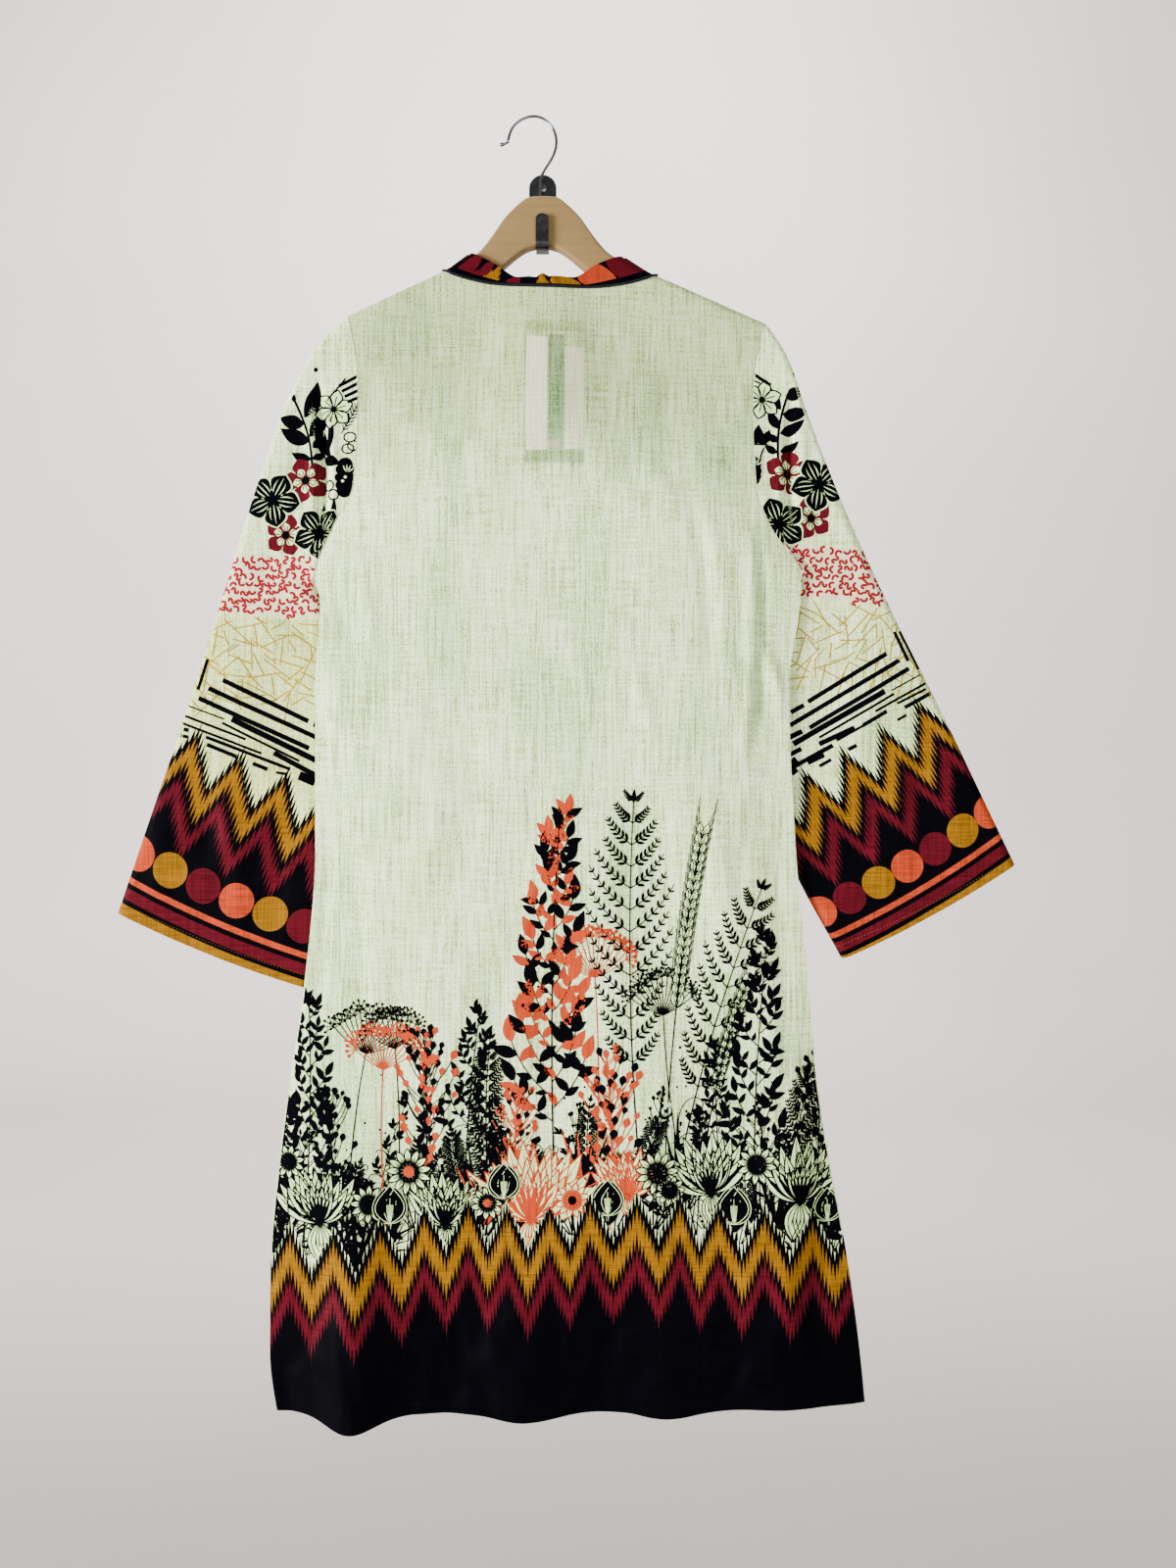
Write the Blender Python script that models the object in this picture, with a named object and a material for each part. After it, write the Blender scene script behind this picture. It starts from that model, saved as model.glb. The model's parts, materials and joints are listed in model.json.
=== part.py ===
"""A long printed kurta on a wooden hanger, held by a wall hook.

Metres, +Z up. The garment hangs with its back to -Y and its front to the wall plane y = 0.
+X runs to the right of someone who faces the garment's back. The origin is on the rear face of
the wall hook's plate. Every cloth piece is a wall laid on a grid of points, its middle surface.
"""

import math

import bmesh
import bpy
import numpy as np

# ---------------------------------------------------------------- cloth and seams
CLOTH = 0.0015  # wall thickness of a cloth piece
TRIM = 0.0010  # wall thickness of what lies on a panel
SEAM_GAP = 0.0003
ARMHOLE_GAP = 0.0006  # a little more on a seam that curves
TRIM_LIFT = CLOTH / 2 + SEAM_GAP + TRIM / 2  # from a panel's middle surface to its trim's

# ---------------------------------------------------------------- wall hook
PLATE_WIDTH = 0.0274
PLATE_THICK = 0.0030
SCREW_HEIGHT = 0.018  # the screw's centre is also the centre of the plate's round top
PLATE_SHOULDER = -0.012  # below this the plate narrows to the strip
STRIP_TOP = -0.021
STRIP_WIDTH = 0.0126
TONGUE_TOP = -0.0154
TONGUE_ROUND = 0.004
BEND_RADIUS = 0.0055  # of the strip's middle line, at the two bends under the wood
SCREW_HOLE_RADIUS = 0.0023
SCREW_SHANK_RADIUS = 0.0019
SCREW_HEAD_RADIUS = 0.0042
SCREW_HEAD_HEIGHT = 0.0018

# ---------------------------------------------------------------- hanger
WOOD_THICK = 0.0136
WOOD_Y = -0.0112  # the hanger's middle plane
WOOD_REACH = 0.204  # from its centre to an arm's tip
WOOD_TILT = 0.012  # rise for each metre to the right
NECK_ROUND = 0.0040  # edge rounding where the wood is seen
ARM_ROUND = 0.0065  # edge rounding under the cloth
HOOK_SEAT_GAP = 0.0004
WIRE_RADIUS = 0.0014
WIRE_BALL_RADIUS = 0.0022
WIRE_X = -0.0025

HANGER = np.array(
    [
        # from centre, top edge, lower edge
        (0.000, 0.0050, -0.0445),
        (0.0135, 0.0039, -0.0475),
        (0.025, -0.0040, -0.0545),
        (0.037, -0.0160, -0.0645),
        (0.050, -0.0335, -0.0760),
        (0.064, -0.0500, -0.0860),
        (0.073, -0.0562, -0.0910),
        (0.099, -0.0705, -0.1035),
        (0.150, -0.0938, -0.1230),
        (0.210, -0.1212, -0.1430),
        (0.270, -0.1486, -0.1650),
    ],
    dtype=[("out", float), ("top", float), ("low", float)],
)

WIRE = np.array(
    [
        # centre line of the hook, from the wood up and round to its tip
        (WIRE_X, 0.0265),
        (0.0062, 0.0380),
        (0.0130, 0.0500),
        (0.0150, 0.0627),
        (0.0105, 0.0760),
        (0.0010, 0.0850),
        (-0.0100, 0.0871),
        (-0.0220, 0.0832),
        (-0.0305, 0.0752),
        (-0.0340, 0.0672),
        (-0.0330, 0.0605),
        (-0.0370, 0.0583),
        (-0.0405, 0.0578),
    ],
    dtype=[("x", float), ("z", float)],
)

# ---------------------------------------------------------------- body of the garment
SHOULDER_LIFT = 0.0016  # middle of the cloth above the wood's top edge
BACK_ROLL = 0.0090  # how far the cloth rolls forward over an arm, behind and in front
FRONT_ROLL = 0.0084
NECK_LEFT = -0.099  # where the neckline meets the shoulder seams
NECK_RIGHT = 0.114
BACK_NECK_DROP = 0.0155
FRONT_NECK_DROP = 0.0500
UNDERARM = -0.376
SLIT_TOP = -0.835  # the side seams are open below this
HEM = -1.187
HEM_RISE = 0.008  # the right end of the hem is higher by this
SIDE_DEPTH = -0.0300  # the side seams, in front of the sleeves that hang behind them
BACK_CROWN = 0.0110  # how much further forward the middle of the back stands
FRONT_MIDDLE = 0.0030  # how much the front leaves the wood's rear plane in its middle
SLEEVE_ROOM = 0.048  # the front keeps this far from each side for the sleeve behind it
SLEEVE_EASE = 0.040  # and returns to the wall over this
ARM_ROOM = 0.050  # depth of the hanger's arms, below the shoulder line
CHEST_DROP = 0.200  # the body reaches its full depth over this
SLIT_BACK = 0.003  # the slit's edges part by these at the hem
SLIT_FRONT = 0.012
PLACKET_SLIT_BOTTOM_ROW = 9
PLACKET_TOP_ROW = 3
PLACKET_BOTTOM_ROW = 10

SIDES = np.array(
    [
        # height, left edge, right edge: armholes down to the underarm, then the side seams
        (-0.113, -0.1910, 0.2255),
        (-0.165, -0.1820, 0.2095),
        (-0.210, -0.1800, 0.2060),
        (-0.285, -0.1840, 0.2090),
        (-0.325, -0.2030, 0.2220),
        (-0.376, -0.2210, 0.2530),
        (-0.396, -0.2165, 0.2525),
        (-0.480, -0.2210, 0.2415),
        (-0.640, -0.2210, 0.2480),
        (-0.775, -0.2320, 0.2610),
        (-0.860, -0.2450, 0.2680),
        (-0.940, -0.2555, 0.2800),
        (-1.040, -0.2640, 0.2980),
        (-1.130, -0.2645, 0.3100),
        (-1.215, -0.2530, 0.3180),
    ],
    dtype=[("height", float), ("left", float), ("right", float)],
)

FOLDS = np.array(
    [
        # soft folds of the back below the chest: place at the hem, half width, how far it comes
        # forward at the hem, how far the hem drops in it, and the height where it has died away
        (-0.183, 0.046, 0.019, 0.012, -0.820),
        (-0.018, 0.052, 0.008, 0.006, -0.900),
        (0.120, 0.050, 0.007, 0.005, -0.860),
        (0.235, 0.050, 0.010, -0.001, -0.620),
    ],
    dtype=[("x", float), ("half", float), ("depth", float), ("drop", float), ("end", float)],
)

# Rows of the body's grid as shares of the armhole, then of the side from underarm to hem.
# The sleeve's rings use the same shares, so the two edges of an armhole seam match.
ARMHOLE_SHARES = np.array(
    [0, 0.0015, 0.006, 0.017, 0.034, 0.067, 0.146, 0.25, 0.37, 0.49, 0.52, 0.63, 0.75, 0.854,
     0.933, 0.983, 1]
)
SIDE_ROWS = 11
SHOULDER_SHARES = np.array([0, 0.06, 0.28, 0.62])
NECK_SHARES = np.array(
    [0, 0.006, 0.02, 0.05, 0.11, 0.2, 0.3, 0.388, 0.533, 0.547, 0.692, 0.8, 0.88, 0.95, 0.98, 0.994]
)
SLIT_COLUMN = len(SHOULDER_SHARES) + 8  # the grid column between neck shares 0.533 and 0.547

# ---------------------------------------------------------------- sleeves
SLEEVE_Y = -0.0145  # middle plane of the hanging sleeve
SLEEVE_HALF = 0.0100  # half its depth
FOLD_ROUND = 0.0080  # rounding of its two folded edges
RING_STEPS = [0, 0.5, 1, 1.5, 2, 2.5, 3, 3.5, 4, 4.5, 5, 6, 7, 8]  # rings, in rows of the tables
CAP_SPREAD = 0.6  # how much the cap's rings keep near the armhole towards the underarm

LEFT_SLEEVE = np.array(
    [
        # outer and inner end of each ring, and how far it has left the armhole's shape
        (-0.1913, -0.1135, -0.2214, -0.3763, 0.00),
        (-0.2200, -0.1405, -0.2250, -0.3775, 0.10),
        (-0.2458, -0.1843, -0.2265, -0.3795, 0.25),
        (-0.2827, -0.2862, -0.2270, -0.3830, 0.60),
        (-0.3150, -0.3910, -0.2240, -0.3900, 0.95),
        (-0.3290, -0.4350, -0.2100, -0.4200, 1.00),
        (-0.3623, -0.5384, -0.2000, -0.5750, 1.00),
        (-0.3910, -0.6220, -0.2080, -0.6850, 1.00),
        (-0.4185, -0.7033, -0.2290, -0.7785, 1.00),
    ],
    dtype=[("out_x", float), ("out_z", float), ("in_x", float), ("in_z", float), ("free", float)],
)
RIGHT_SLEEVE = np.array(
    [
        (0.2258, -0.1247, 0.2534, -0.3763, 0.00),
        (0.2450, -0.1552, 0.2570, -0.3775, 0.10),
        (0.2625, -0.2066, 0.2585, -0.3795, 0.25),
        (0.2916, -0.2862, 0.2590, -0.3830, 0.60),
        (0.3275, -0.3700, 0.2560, -0.3900, 0.95),
        (0.3488, -0.4152, 0.2430, -0.4200, 1.00),
        (0.4040, -0.5260, 0.2180, -0.5650, 1.00),
        (0.4400, -0.6010, 0.2455, -0.6520, 1.00),
        (0.4662, -0.6558, 0.2965, -0.7490, 1.00),
    ],
    dtype=LEFT_SLEEVE.dtype,
)

# ---------------------------------------------------------------- collar
COLLAR_FRONT_HEIGHT = 0.0260
COLLAR_ROWS = (1.0, 0.67, 0.33, 0.0)  # shares of the band's height, from its top edge
COLLAR_LIFT = 0.0006  # gap between the neckline and the band
COLLAR_BACK_TOP = np.array(
    [
        # share of the back neckline, height of the band's top edge
        (0.00, -0.0515),
        (0.18, -0.0656),
        (0.33, -0.0790),
        (0.50, -0.0775),
        (0.66, -0.0790),
        (0.82, -0.0656),
        (1.00, -0.0550),
    ],
    dtype=[("share", float), ("height", float)],
)
COLLAR_BACK_LEFT = -0.0745  # ends of the top edge across the back
COLLAR_BACK_RIGHT = 0.0830
COLLAR_EASE = (0.0020, 0.0008)  # the top edge stands this much freer of the wood: back, front
PIPING_HALF = 0.0016
PIPING_LIFT = TRIM_LIFT + 0.0004

# name: colour, roughness, metallic
MATERIALS = {
    "cotton_back": ((0.66, 0.67, 0.54), 0.85, 0.0),
    "cotton_front": ((0.62, 0.64, 0.52), 0.85, 0.0),
    "cotton_sleeve": ((0.60, 0.50, 0.40), 0.85, 0.0),
    "cotton_collar": ((0.20, 0.05, 0.05), 0.80, 0.0),
    "cotton_piping": ((0.008, 0.008, 0.012), 0.75, 0.0),
    "cotton_placket": ((0.70, 0.60, 0.56), 0.85, 0.0),
    "beech": ((0.68, 0.49, 0.27), 0.45, 0.0),
    "chromed_wire": ((0.75, 0.75, 0.76), 0.15, 1.0),
    "dark_metal": ((0.10, 0.10, 0.11), 0.40, 1.0),
    "screw_metal": ((0.45, 0.45, 0.46), 0.30, 1.0),
}


# ---------------------------------------------------------------- small mathematics
def smooth(at, xs, ys):
    """Values of a monotone cubic through (xs, ys), with xs ascending, held level past its ends."""
    xs, ys = np.asarray(xs, float), np.asarray(ys, float)
    step = np.diff(xs)
    slope = np.diff(ys) / step
    product = slope[:-1] * slope[1:]
    mean = 2 * product / np.where(product > 0, slope[:-1] + slope[1:], 1)
    tangent = np.concatenate(([slope[0]], np.where(product > 0, mean, 0), [slope[-1]]))
    at = np.clip(at, xs[0], xs[-1])
    i = np.clip(np.searchsorted(xs, at, side="right") - 1, 0, len(step) - 1)
    t = (at - xs[i]) / step[i]
    return (
        ys[i] * (1 + 2 * t) * (1 - t) ** 2
        + step[i] * tangent[i] * t * (1 - t) ** 2
        + ys[i + 1] * t**2 * (3 - 2 * t)
        + step[i] * tangent[i + 1] * t**2 * (t - 1)
    )


def ease(t):
    """0 before 0, 1 after 1, with a smooth step between."""
    t = np.clip(t, 0, 1)
    return t * t * (3 - 2 * t)


def roll(depth, radius):
    """Share of a quarter circle's reach at a depth below its crest."""
    share = np.clip(depth / radius, 0, 1)
    return np.sqrt(1 - (1 - share) ** 2)


def unit(vectors):
    return vectors / np.maximum(np.linalg.norm(vectors, axis=-1, keepdims=True), 1e-12)


# ---------------------------------------------------------------- building solids
def make_object(name, vertices, faces, material):
    """A closed mesh object at the origin, its faces turned outward, with its own material."""
    mesh = bpy.data.meshes.new(name)
    mesh.from_pydata([tuple(v) for v in np.asarray(vertices, float)], [], faces)
    shape = bmesh.new()
    shape.from_mesh(mesh)
    bmesh.ops.recalc_face_normals(shape, faces=shape.faces)
    shape.to_mesh(mesh)
    shape.free()
    piece = bpy.data.objects.new(name, mesh)
    bpy.context.collection.objects.link(piece)
    colour, roughness, metallic = MATERIALS[material]
    finish = bpy.data.materials.new(material)
    finish.use_nodes = True
    shader = finish.node_tree.nodes["Principled BSDF"]
    shader.inputs["Base Color"].default_value = (*colour, 1)
    shader.inputs["Roughness"].default_value = roughness
    shader.inputs["Metallic"].default_value = metallic
    mesh.materials.append(finish)
    mesh.shade_smooth()
    mesh.set_sharp_from_angle(angle=math.radians(35))
    return piece


def grid_normals(grid, closed):
    """Unit normals of a grid of points, from the differences along its rows and columns."""
    along = np.gradient(grid, axis=0)
    if closed:
        across = np.roll(grid, -1, axis=1) - np.roll(grid, 1, axis=1)
    else:
        across = np.gradient(grid, axis=1)
    return unit(np.cross(along, across))


def wall(name, grid, thickness, material, closed=False, normals=None, left_out=()):
    """A solid wall on a middle surface: rows by columns of points, outer side along the normals.

    A closed grid joins its last column to its first. Cells in left_out, as (row, column), are
    openings. The two sides are joined along every edge that only one cell has.
    """
    rows, columns = grid.shape[:2]
    if normals is None:
        normals = grid_normals(grid, closed)
    outer = (grid + normals * thickness / 2).reshape(-1, 3)
    inner = (grid - normals * thickness / 2).reshape(-1, 3)
    count = rows * columns
    cells = [
        (r, c)
        for r in range(rows - 1)
        for c in range(columns if closed else columns - 1)
        if (r, c) not in left_out
    ]
    quads = []
    for r, c in cells:
        d = (c + 1) % columns
        quads.append((r * columns + c, (r + 1) * columns + c, (r + 1) * columns + d, r * columns + d))
    edges = {(q[i], q[(i + 1) % 4]) for q in quads for i in range(4)}
    rim = [(b, a, a + count, b + count) for a, b in sorted(edges) if (b, a) not in edges]
    inside = [tuple(v + count for v in reversed(q)) for q in quads]
    faces = quads + inside + rim
    used = sorted({v for face in faces for v in face})
    place = {v: i for i, v in enumerate(used)}
    vertices = np.concatenate((outer, inner))[used]
    return make_object(name, vertices, [tuple(place[v] for v in f) for f in faces], material)


def loft(name, rings, material):
    """A solid through closed rings of points, each with as many points, capped at both ends."""
    rings = np.asarray(rings, float)
    count, sides = rings.shape[:2]
    faces = [
        (r * sides + s, r * sides + (s + 1) % sides, (r + 1) * sides + (s + 1) % sides, (r + 1) * sides + s)
        for r in range(count - 1)
        for s in range(sides)
    ]
    faces.append(tuple(reversed(range(sides))))
    faces.append(tuple((count - 1) * sides + s for s in range(sides)))
    return make_object(name, rings.reshape(-1, 3), faces, material)


# ---------------------------------------------------------------- lines of the hanger and body
def arm_top(x):
    """Height of the hanger's top edge, above the middle of the garment out past its tips."""
    return smooth(np.abs(x), HANGER["out"], HANGER["top"]) + WOOD_TILT * x


def arm_low(x):
    """Height of the hanger's lower edge."""
    return smooth(np.abs(x), HANGER["out"], HANGER["low"]) + WOOD_TILT * x


def side_edge(height, column):
    """Where a side of the body, the left or the right column of SIDES, is at a height."""
    return smooth(-np.asarray(height, float), -SIDES["height"], SIDES[column])


def shoulder_point(column):
    """x and height where the shoulder line meets a side's armhole."""
    x = SIDES[column][0]
    for _ in range(8):
        x = float(side_edge(arm_top(x) + SHOULDER_LIFT, column))
    return x, float(arm_top(x)) + SHOULDER_LIFT


def fold_shapes(x, height):
    """Sums of the back's folds at a place: how far forward, and how far the hem drops."""
    forward = np.zeros(np.broadcast(x, height).shape)
    drop = np.zeros_like(forward)
    for fold in FOLDS:
        bump = np.exp(-(((x - fold["x"]) / fold["half"]) ** 2) * 2)
        grown = ease((fold["end"] - height) / (fold["end"] - HEM))
        forward += fold["depth"] * bump * grown
        drop += fold["drop"] * bump
    return forward, drop


def body_depth(x, height, left, right, front):
    """y of the body's middle surface where its side edges are at left and right."""
    below = arm_top(x) + SHOULDER_LIFT - height
    chest = ease((below - ARM_ROOM) / CHEST_DROP)
    from_side = np.minimum(x - left, right - x)
    width = right - left
    slit = ease((SLIT_TOP - height) / (SLIT_TOP - HEM))
    half_gap = (CLOTH + SEAM_GAP) / 2
    if front:
        shoulder = WOOD_Y + FRONT_ROLL
        middle = shoulder - FRONT_MIDDLE
        edge = SIDE_DEPTH + half_gap + SLIT_FRONT * slit
        room = 1 - ease((from_side - SLEEVE_ROOM) / SLEEVE_EASE)
        full = edge * room + middle * (1 - room)
        return WOOD_Y + FRONT_ROLL * roll(below, FRONT_ROLL) + (full - shoulder) * chest
    shoulder = WOOD_Y - BACK_ROLL
    edge = SIDE_DEPTH - half_gap - SLIT_BACK * slit
    crown = 1 - np.abs(2 * from_side / width - 1) ** 4
    full = edge - BACK_CROWN * crown
    fold = fold_shapes(x, height)[0] * ease(from_side / (3 * CLOTH + 0.02))
    return WOOD_Y - BACK_ROLL * roll(below, BACK_ROLL) + (full - shoulder) * chest - fold


def neckline(share, front):
    """x and height of the neckline at a share of its way from the left to the right shoulder."""
    x = NECK_LEFT + share * (NECK_RIGHT - NECK_LEFT)
    ends = [arm_top(e) + SHOULDER_LIFT for e in (NECK_LEFT, NECK_RIGHT)]
    chord = ends[0] + share * (ends[1] - ends[0])
    drop, power = (FRONT_NECK_DROP, 2.2) if front else (BACK_NECK_DROP, 3.0)
    return x, chord - drop * (1 - np.abs(2 * share - 1) ** power)


def body_grid(front):
    """Rows from the shoulders and neckline down to the hem, columns from left to right."""
    left_top, right_top = shoulder_point("left")[0], shoulder_point("right")[0]
    left_x = left_top + SHOULDER_SHARES * (NECK_LEFT - left_top)
    right_x = (right_top + SHOULDER_SHARES * (NECK_RIGHT - right_top))[::-1]
    neck_x, neck_z = neckline(NECK_SHARES, front)
    neck_x, neck_z = np.append(neck_x, NECK_RIGHT), np.append(neck_z, arm_top(NECK_RIGHT) + SHOULDER_LIFT)
    top_x = np.concatenate((left_x, neck_x, right_x))
    top_z = np.concatenate((arm_top(left_x) + SHOULDER_LIFT, neck_z, arm_top(right_x) + SHOULDER_LIFT))
    share = (top_x - left_top) / (right_top - left_top)

    side = np.linspace(0, 1, SIDE_ROWS + 1)[1:]
    rows = []
    for end in (0, -1):
        armhole = top_z[end] + ARMHOLE_SHARES * (UNDERARM - top_z[end])
        seam = UNDERARM + side * (HEM + HEM_RISE * (end == -1) - UNDERARM)
        rows.append(np.concatenate((armhole, seam)))
    left = side_edge(rows[0], "left")[:, None]
    right = side_edge(rows[1], "right")[:, None]
    x = left + share * (right - left)
    travel = [(rows[i] - rows[i][0]) / (rows[i][-1] - rows[i][0]) for i in (0, 1)]
    down = travel[0][:, None] * (1 - share) + travel[1][:, None] * share
    hem = HEM + HEM_RISE * share - fold_shapes(x[-1], HEM)[1] * (0 if front else 1)
    z = top_z + down * (hem - top_z)
    return np.stack((x, body_depth(x, z, left, right, front), z), axis=-1)


def panel(name, front, material):
    """The back or the front: a wall on its grid, square to its neighbours along the seams."""
    grid = body_grid(front)
    outward = 1 if front else -1
    normals = grid_normals(grid, False)
    normals *= np.sign((normals[..., 1:2] * outward).mean())
    seam = SEAM_GAP / 2 * outward
    shoulders = np.r_[0 : len(SHOULDER_SHARES) + 1, -len(SHOULDER_SHARES) - 1 : 0]
    grid[0, shoulders, 1] += seam
    normals[0, shoulders, 1] = 0
    seam_rows = slice(len(ARMHOLE_SHARES) - 1, None)
    for edge in (0, -1):
        normals[seam_rows, edge] = (0, outward, 0)
    normals = unit(normals)
    slit = {(row, SLIT_COLUMN) for row in range(PLACKET_SLIT_BOTTOM_ROW)} if front else set()
    wall(name, grid, CLOTH, material, normals=normals, left_out=slit)
    return grid, normals


def placket(grid, normals):
    """The facing round the front's slit, a strip on the front's own points, moved out."""
    rows = slice(PLACKET_TOP_ROW, PLACKET_BOTTOM_ROW + 1)
    columns = slice(SLIT_COLUMN - 1, SLIT_COLUMN + 3)
    points = (grid + normals * TRIM_LIFT)[rows, columns]
    slit = {(row, 1) for row in range(PLACKET_SLIT_BOTTOM_ROW - PLACKET_TOP_ROW)}
    wall("placket", points, TRIM, "cotton_placket", normals=normals[rows, columns], left_out=slit)


# ---------------------------------------------------------------- sleeves
def sleeve(name, table, column):
    """A flat tube: rings fan out from the armhole's loop and then cross the sleeve."""
    side = -1 if column == "left" else 1
    rows = np.arange(len(table))
    rings = {key: smooth(RING_STEPS, rows, table[key])[:, None] for key in table.dtype.names}
    share = np.concatenate((ARMHOLE_SHARES, ARMHOLE_SHARES[-2:0:-1]))
    behind = np.arange(len(share)) >= len(ARMHOLE_SHARES)  # the half that faces the wall
    top = shoulder_point(column)[1]
    hole_z = top + share * (UNDERARM - top)
    left, right = side_edge(hole_z, "left"), side_edge(hole_z, "right")
    hole_x = left if column == "left" else right
    hole_y = np.where(
        behind,
        body_depth(hole_x, hole_z, left, right, True),
        body_depth(hole_x, hole_z, left, right, False),
    )
    hole_y[len(ARMHOLE_SHARES) - 1] = SIDE_DEPTH
    slope = np.gradient(hole_x[: len(ARMHOLE_SHARES)], hole_z[: len(ARMHOLE_SHARES)])
    slope = np.concatenate((slope, slope[-2:0:-1]))
    hole_x = hole_x + side * ARMHOLE_GAP / np.hypot(1, slope)
    hole_z = hole_z - side * slope * ARMHOLE_GAP / np.hypot(1, slope)

    free = rings["free"]
    weight = (1 - share) ** (1 + CAP_SPREAD * (1 - free))
    x = rings["out_x"] * weight + rings["in_x"] * (1 - weight)
    z = rings["out_z"] * weight + rings["in_z"] * (1 - weight)
    first_x = table["out_x"][0] * weight + table["in_x"][0] * (1 - weight)
    first_z = table["out_z"][0] * weight + table["in_z"][0] * (1 - weight)
    x = x + (1 - free) * (hole_x - first_x)
    z = z + (1 - free) * (hole_z - first_z)
    span = np.hypot(rings["out_x"] - rings["in_x"], rings["out_z"] - rings["in_z"])
    round_ends = roll(share * span, FOLD_ROUND) * roll((1 - share) * span, FOLD_ROUND)
    tube_y = SLEEVE_Y + np.where(behind, 1, -1) * SLEEVE_HALF * round_ends
    y = hole_y * (1 - ease(free)) + tube_y * ease(free)
    wall(name, np.stack((x, y, z), axis=-1), CLOTH, "cotton_sleeve", closed=True)


# ---------------------------------------------------------------- collar
def neck_row(grid, normals):
    """A neckline's shares, points, normals and ways down the panel, finer near the shoulders."""
    shares = np.append(NECK_SHARES, 1.0)
    columns = slice(len(SHOULDER_SHARES), len(SHOULDER_SHARES) + len(shares))
    near = (shares < 0.11) | (shares > 0.89)
    finer = np.where(near[:-1] & near[1:], 3, 1)
    at = np.concatenate([i + np.arange(n) / n for i, n in enumerate(finer)] + [[len(shares) - 1]])
    index = np.arange(len(shares))
    points, turned, down = (
        np.stack([np.interp(at, index, rows[:, axis]) for axis in range(3)], axis=-1)
        for rows in (grid[0, columns], normals[0, columns], unit(grid[1, columns] - grid[0, columns]))
    )
    return np.interp(at, index, shares), points, unit(turned), unit(down)


def band_top(share, front, base):
    """x and height of the band's top edge over a point of the neckline."""
    across = COLLAR_BACK_LEFT + share * (COLLAR_BACK_RIGHT - COLLAR_BACK_LEFT)
    if not front:
        return across, smooth(share, COLLAR_BACK_TOP["share"], COLLAR_BACK_TOP["height"])
    ends = np.interp(share, (0, 1), COLLAR_BACK_TOP["height"][[0, -1]])
    shoulder = np.interp(share, (0, 1), base[[0, -1], 2])
    from_side = ease(np.minimum(share, 1 - share) / 0.3)
    side_z = base[:, 2] + (ends - shoulder)
    x = across * (1 - from_side) + base[:, 0] * from_side
    return x, side_z * (1 - from_side) + (base[:, 2] + COLLAR_FRONT_HEIGHT) * from_side


def band_side(grid, normals, front):
    """The band over one panel's neckline: rows from its top edge down to the seam."""
    share, base, turned, down = neck_row(grid, normals)
    top_x, top_z = band_top(share, front, base)
    length = np.hypot(top_x - base[:, 0], top_z - base[:, 2])
    reach = FRONT_ROLL if front else BACK_ROLL
    sign = 1 if front else -1
    below = arm_top(base[:, 0]) + SHOULDER_LIFT - base[:, 2]
    further = base[:, 1] - (WOOD_Y + sign * reach * roll(below, reach))
    further[np.isclose(share % 1, 0)] = 0
    rows = []
    for up in COLLAR_ROWS:
        at = (COLLAR_LIFT + up * (length - COLLAR_LIFT)) / length
        x = base[:, 0] + at * (top_x - base[:, 0])
        z = base[:, 2] + at * (top_z - base[:, 2])
        free = COLLAR_EASE[front] * up
        below = arm_top(x) + SHOULDER_LIFT + free - z
        y = WOOD_Y + sign * (reach + free) * roll(below, reach + free)
        rows.append(np.stack((x, y + further, z), axis=-1))
    return share, {"base": base, "turned": turned, "down": down, "band": np.array(rows)}


def collar(back, front):
    """The standing band round the neckline, and the piping that covers its seam."""
    _, behind = band_side(*back, False)
    share, before = band_side(*front, True)
    right, left = share > 0.54, share < 0.54
    loop = {}
    for key, side in before.items():
        legs = (side[..., right, :][..., :-1, :], behind[key][..., ::-1, :], side[..., left, :][..., 1:, :])
        loop[key] = np.concatenate(legs, axis=-2)
    base, turned = loop["base"], loop["turned"]
    normals = grid_normals(loop["band"], False)
    normals *= np.sign((normals * turned).sum(axis=-1).mean())
    normals[-1] = turned
    wall("collar_band", loop["band"], CLOTH, "cotton_collar", normals=normals)

    up = unit(loop["band"][-2] - loop["band"][-1])
    seam = base + turned * PIPING_LIFT
    edge = np.stack((seam + up * PIPING_HALF, seam, seam + loop["down"] * PIPING_HALF))
    wall("collar_piping", edge, TRIM, "cotton_piping", normals=np.stack([turned] * 3))


# ---------------------------------------------------------------- hanger and hooks
def hanger_body():
    """The wooden shape: rounded sections along X between its top and lower edges."""
    out = np.array([0, 0.0067, 0.0135, 0.020, 0.028, 0.037, 0.046, 0.055, 0.064, 0.078, 0.099, 0.125,
                    0.155, 0.180, 0.194, 0.201, WOOD_REACH])
    xs = np.concatenate((-out[:0:-1], out))
    quarter = np.linspace(0, math.pi / 2, 4)
    rings = []
    for x in xs:
        end = 1 - ease((abs(x) - 0.190) / (WOOD_REACH - 0.190)) * 0.55
        rounding = NECK_ROUND + (ARM_ROUND - NECK_ROUND) * float(ease((abs(x) - 0.035) / 0.02))
        middle = (arm_top(x) + arm_low(x)) / 2
        half_z = (arm_top(x) - arm_low(x)) / 2 * end
        if end < 1:
            middle = arm_top(x) - (arm_top(x) - arm_low(x)) / 2 * (1 + (1 - end) * 0.4)
        half_y = WOOD_THICK / 2 * (1 - (1 - end) * 0.5)
        rounding = min(rounding, half_y - 0.0003, half_z - 0.0003)
        ring = []
        for turn in range(4):
            angles = turn * math.pi / 2 + quarter
            centre_y = (half_y - rounding) * (1 if turn in (0, 3) else -1)
            centre_z = (half_z - rounding) * (1 if turn in (0, 1) else -1)
            for a in angles:
                y = centre_y + rounding * math.cos(a)
                z = centre_z + rounding * math.sin(a)
                ring.append((x, WOOD_Y + y, middle + z))
        rings.append(ring)
    loft("hanger_body", rings, "beech")


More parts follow.
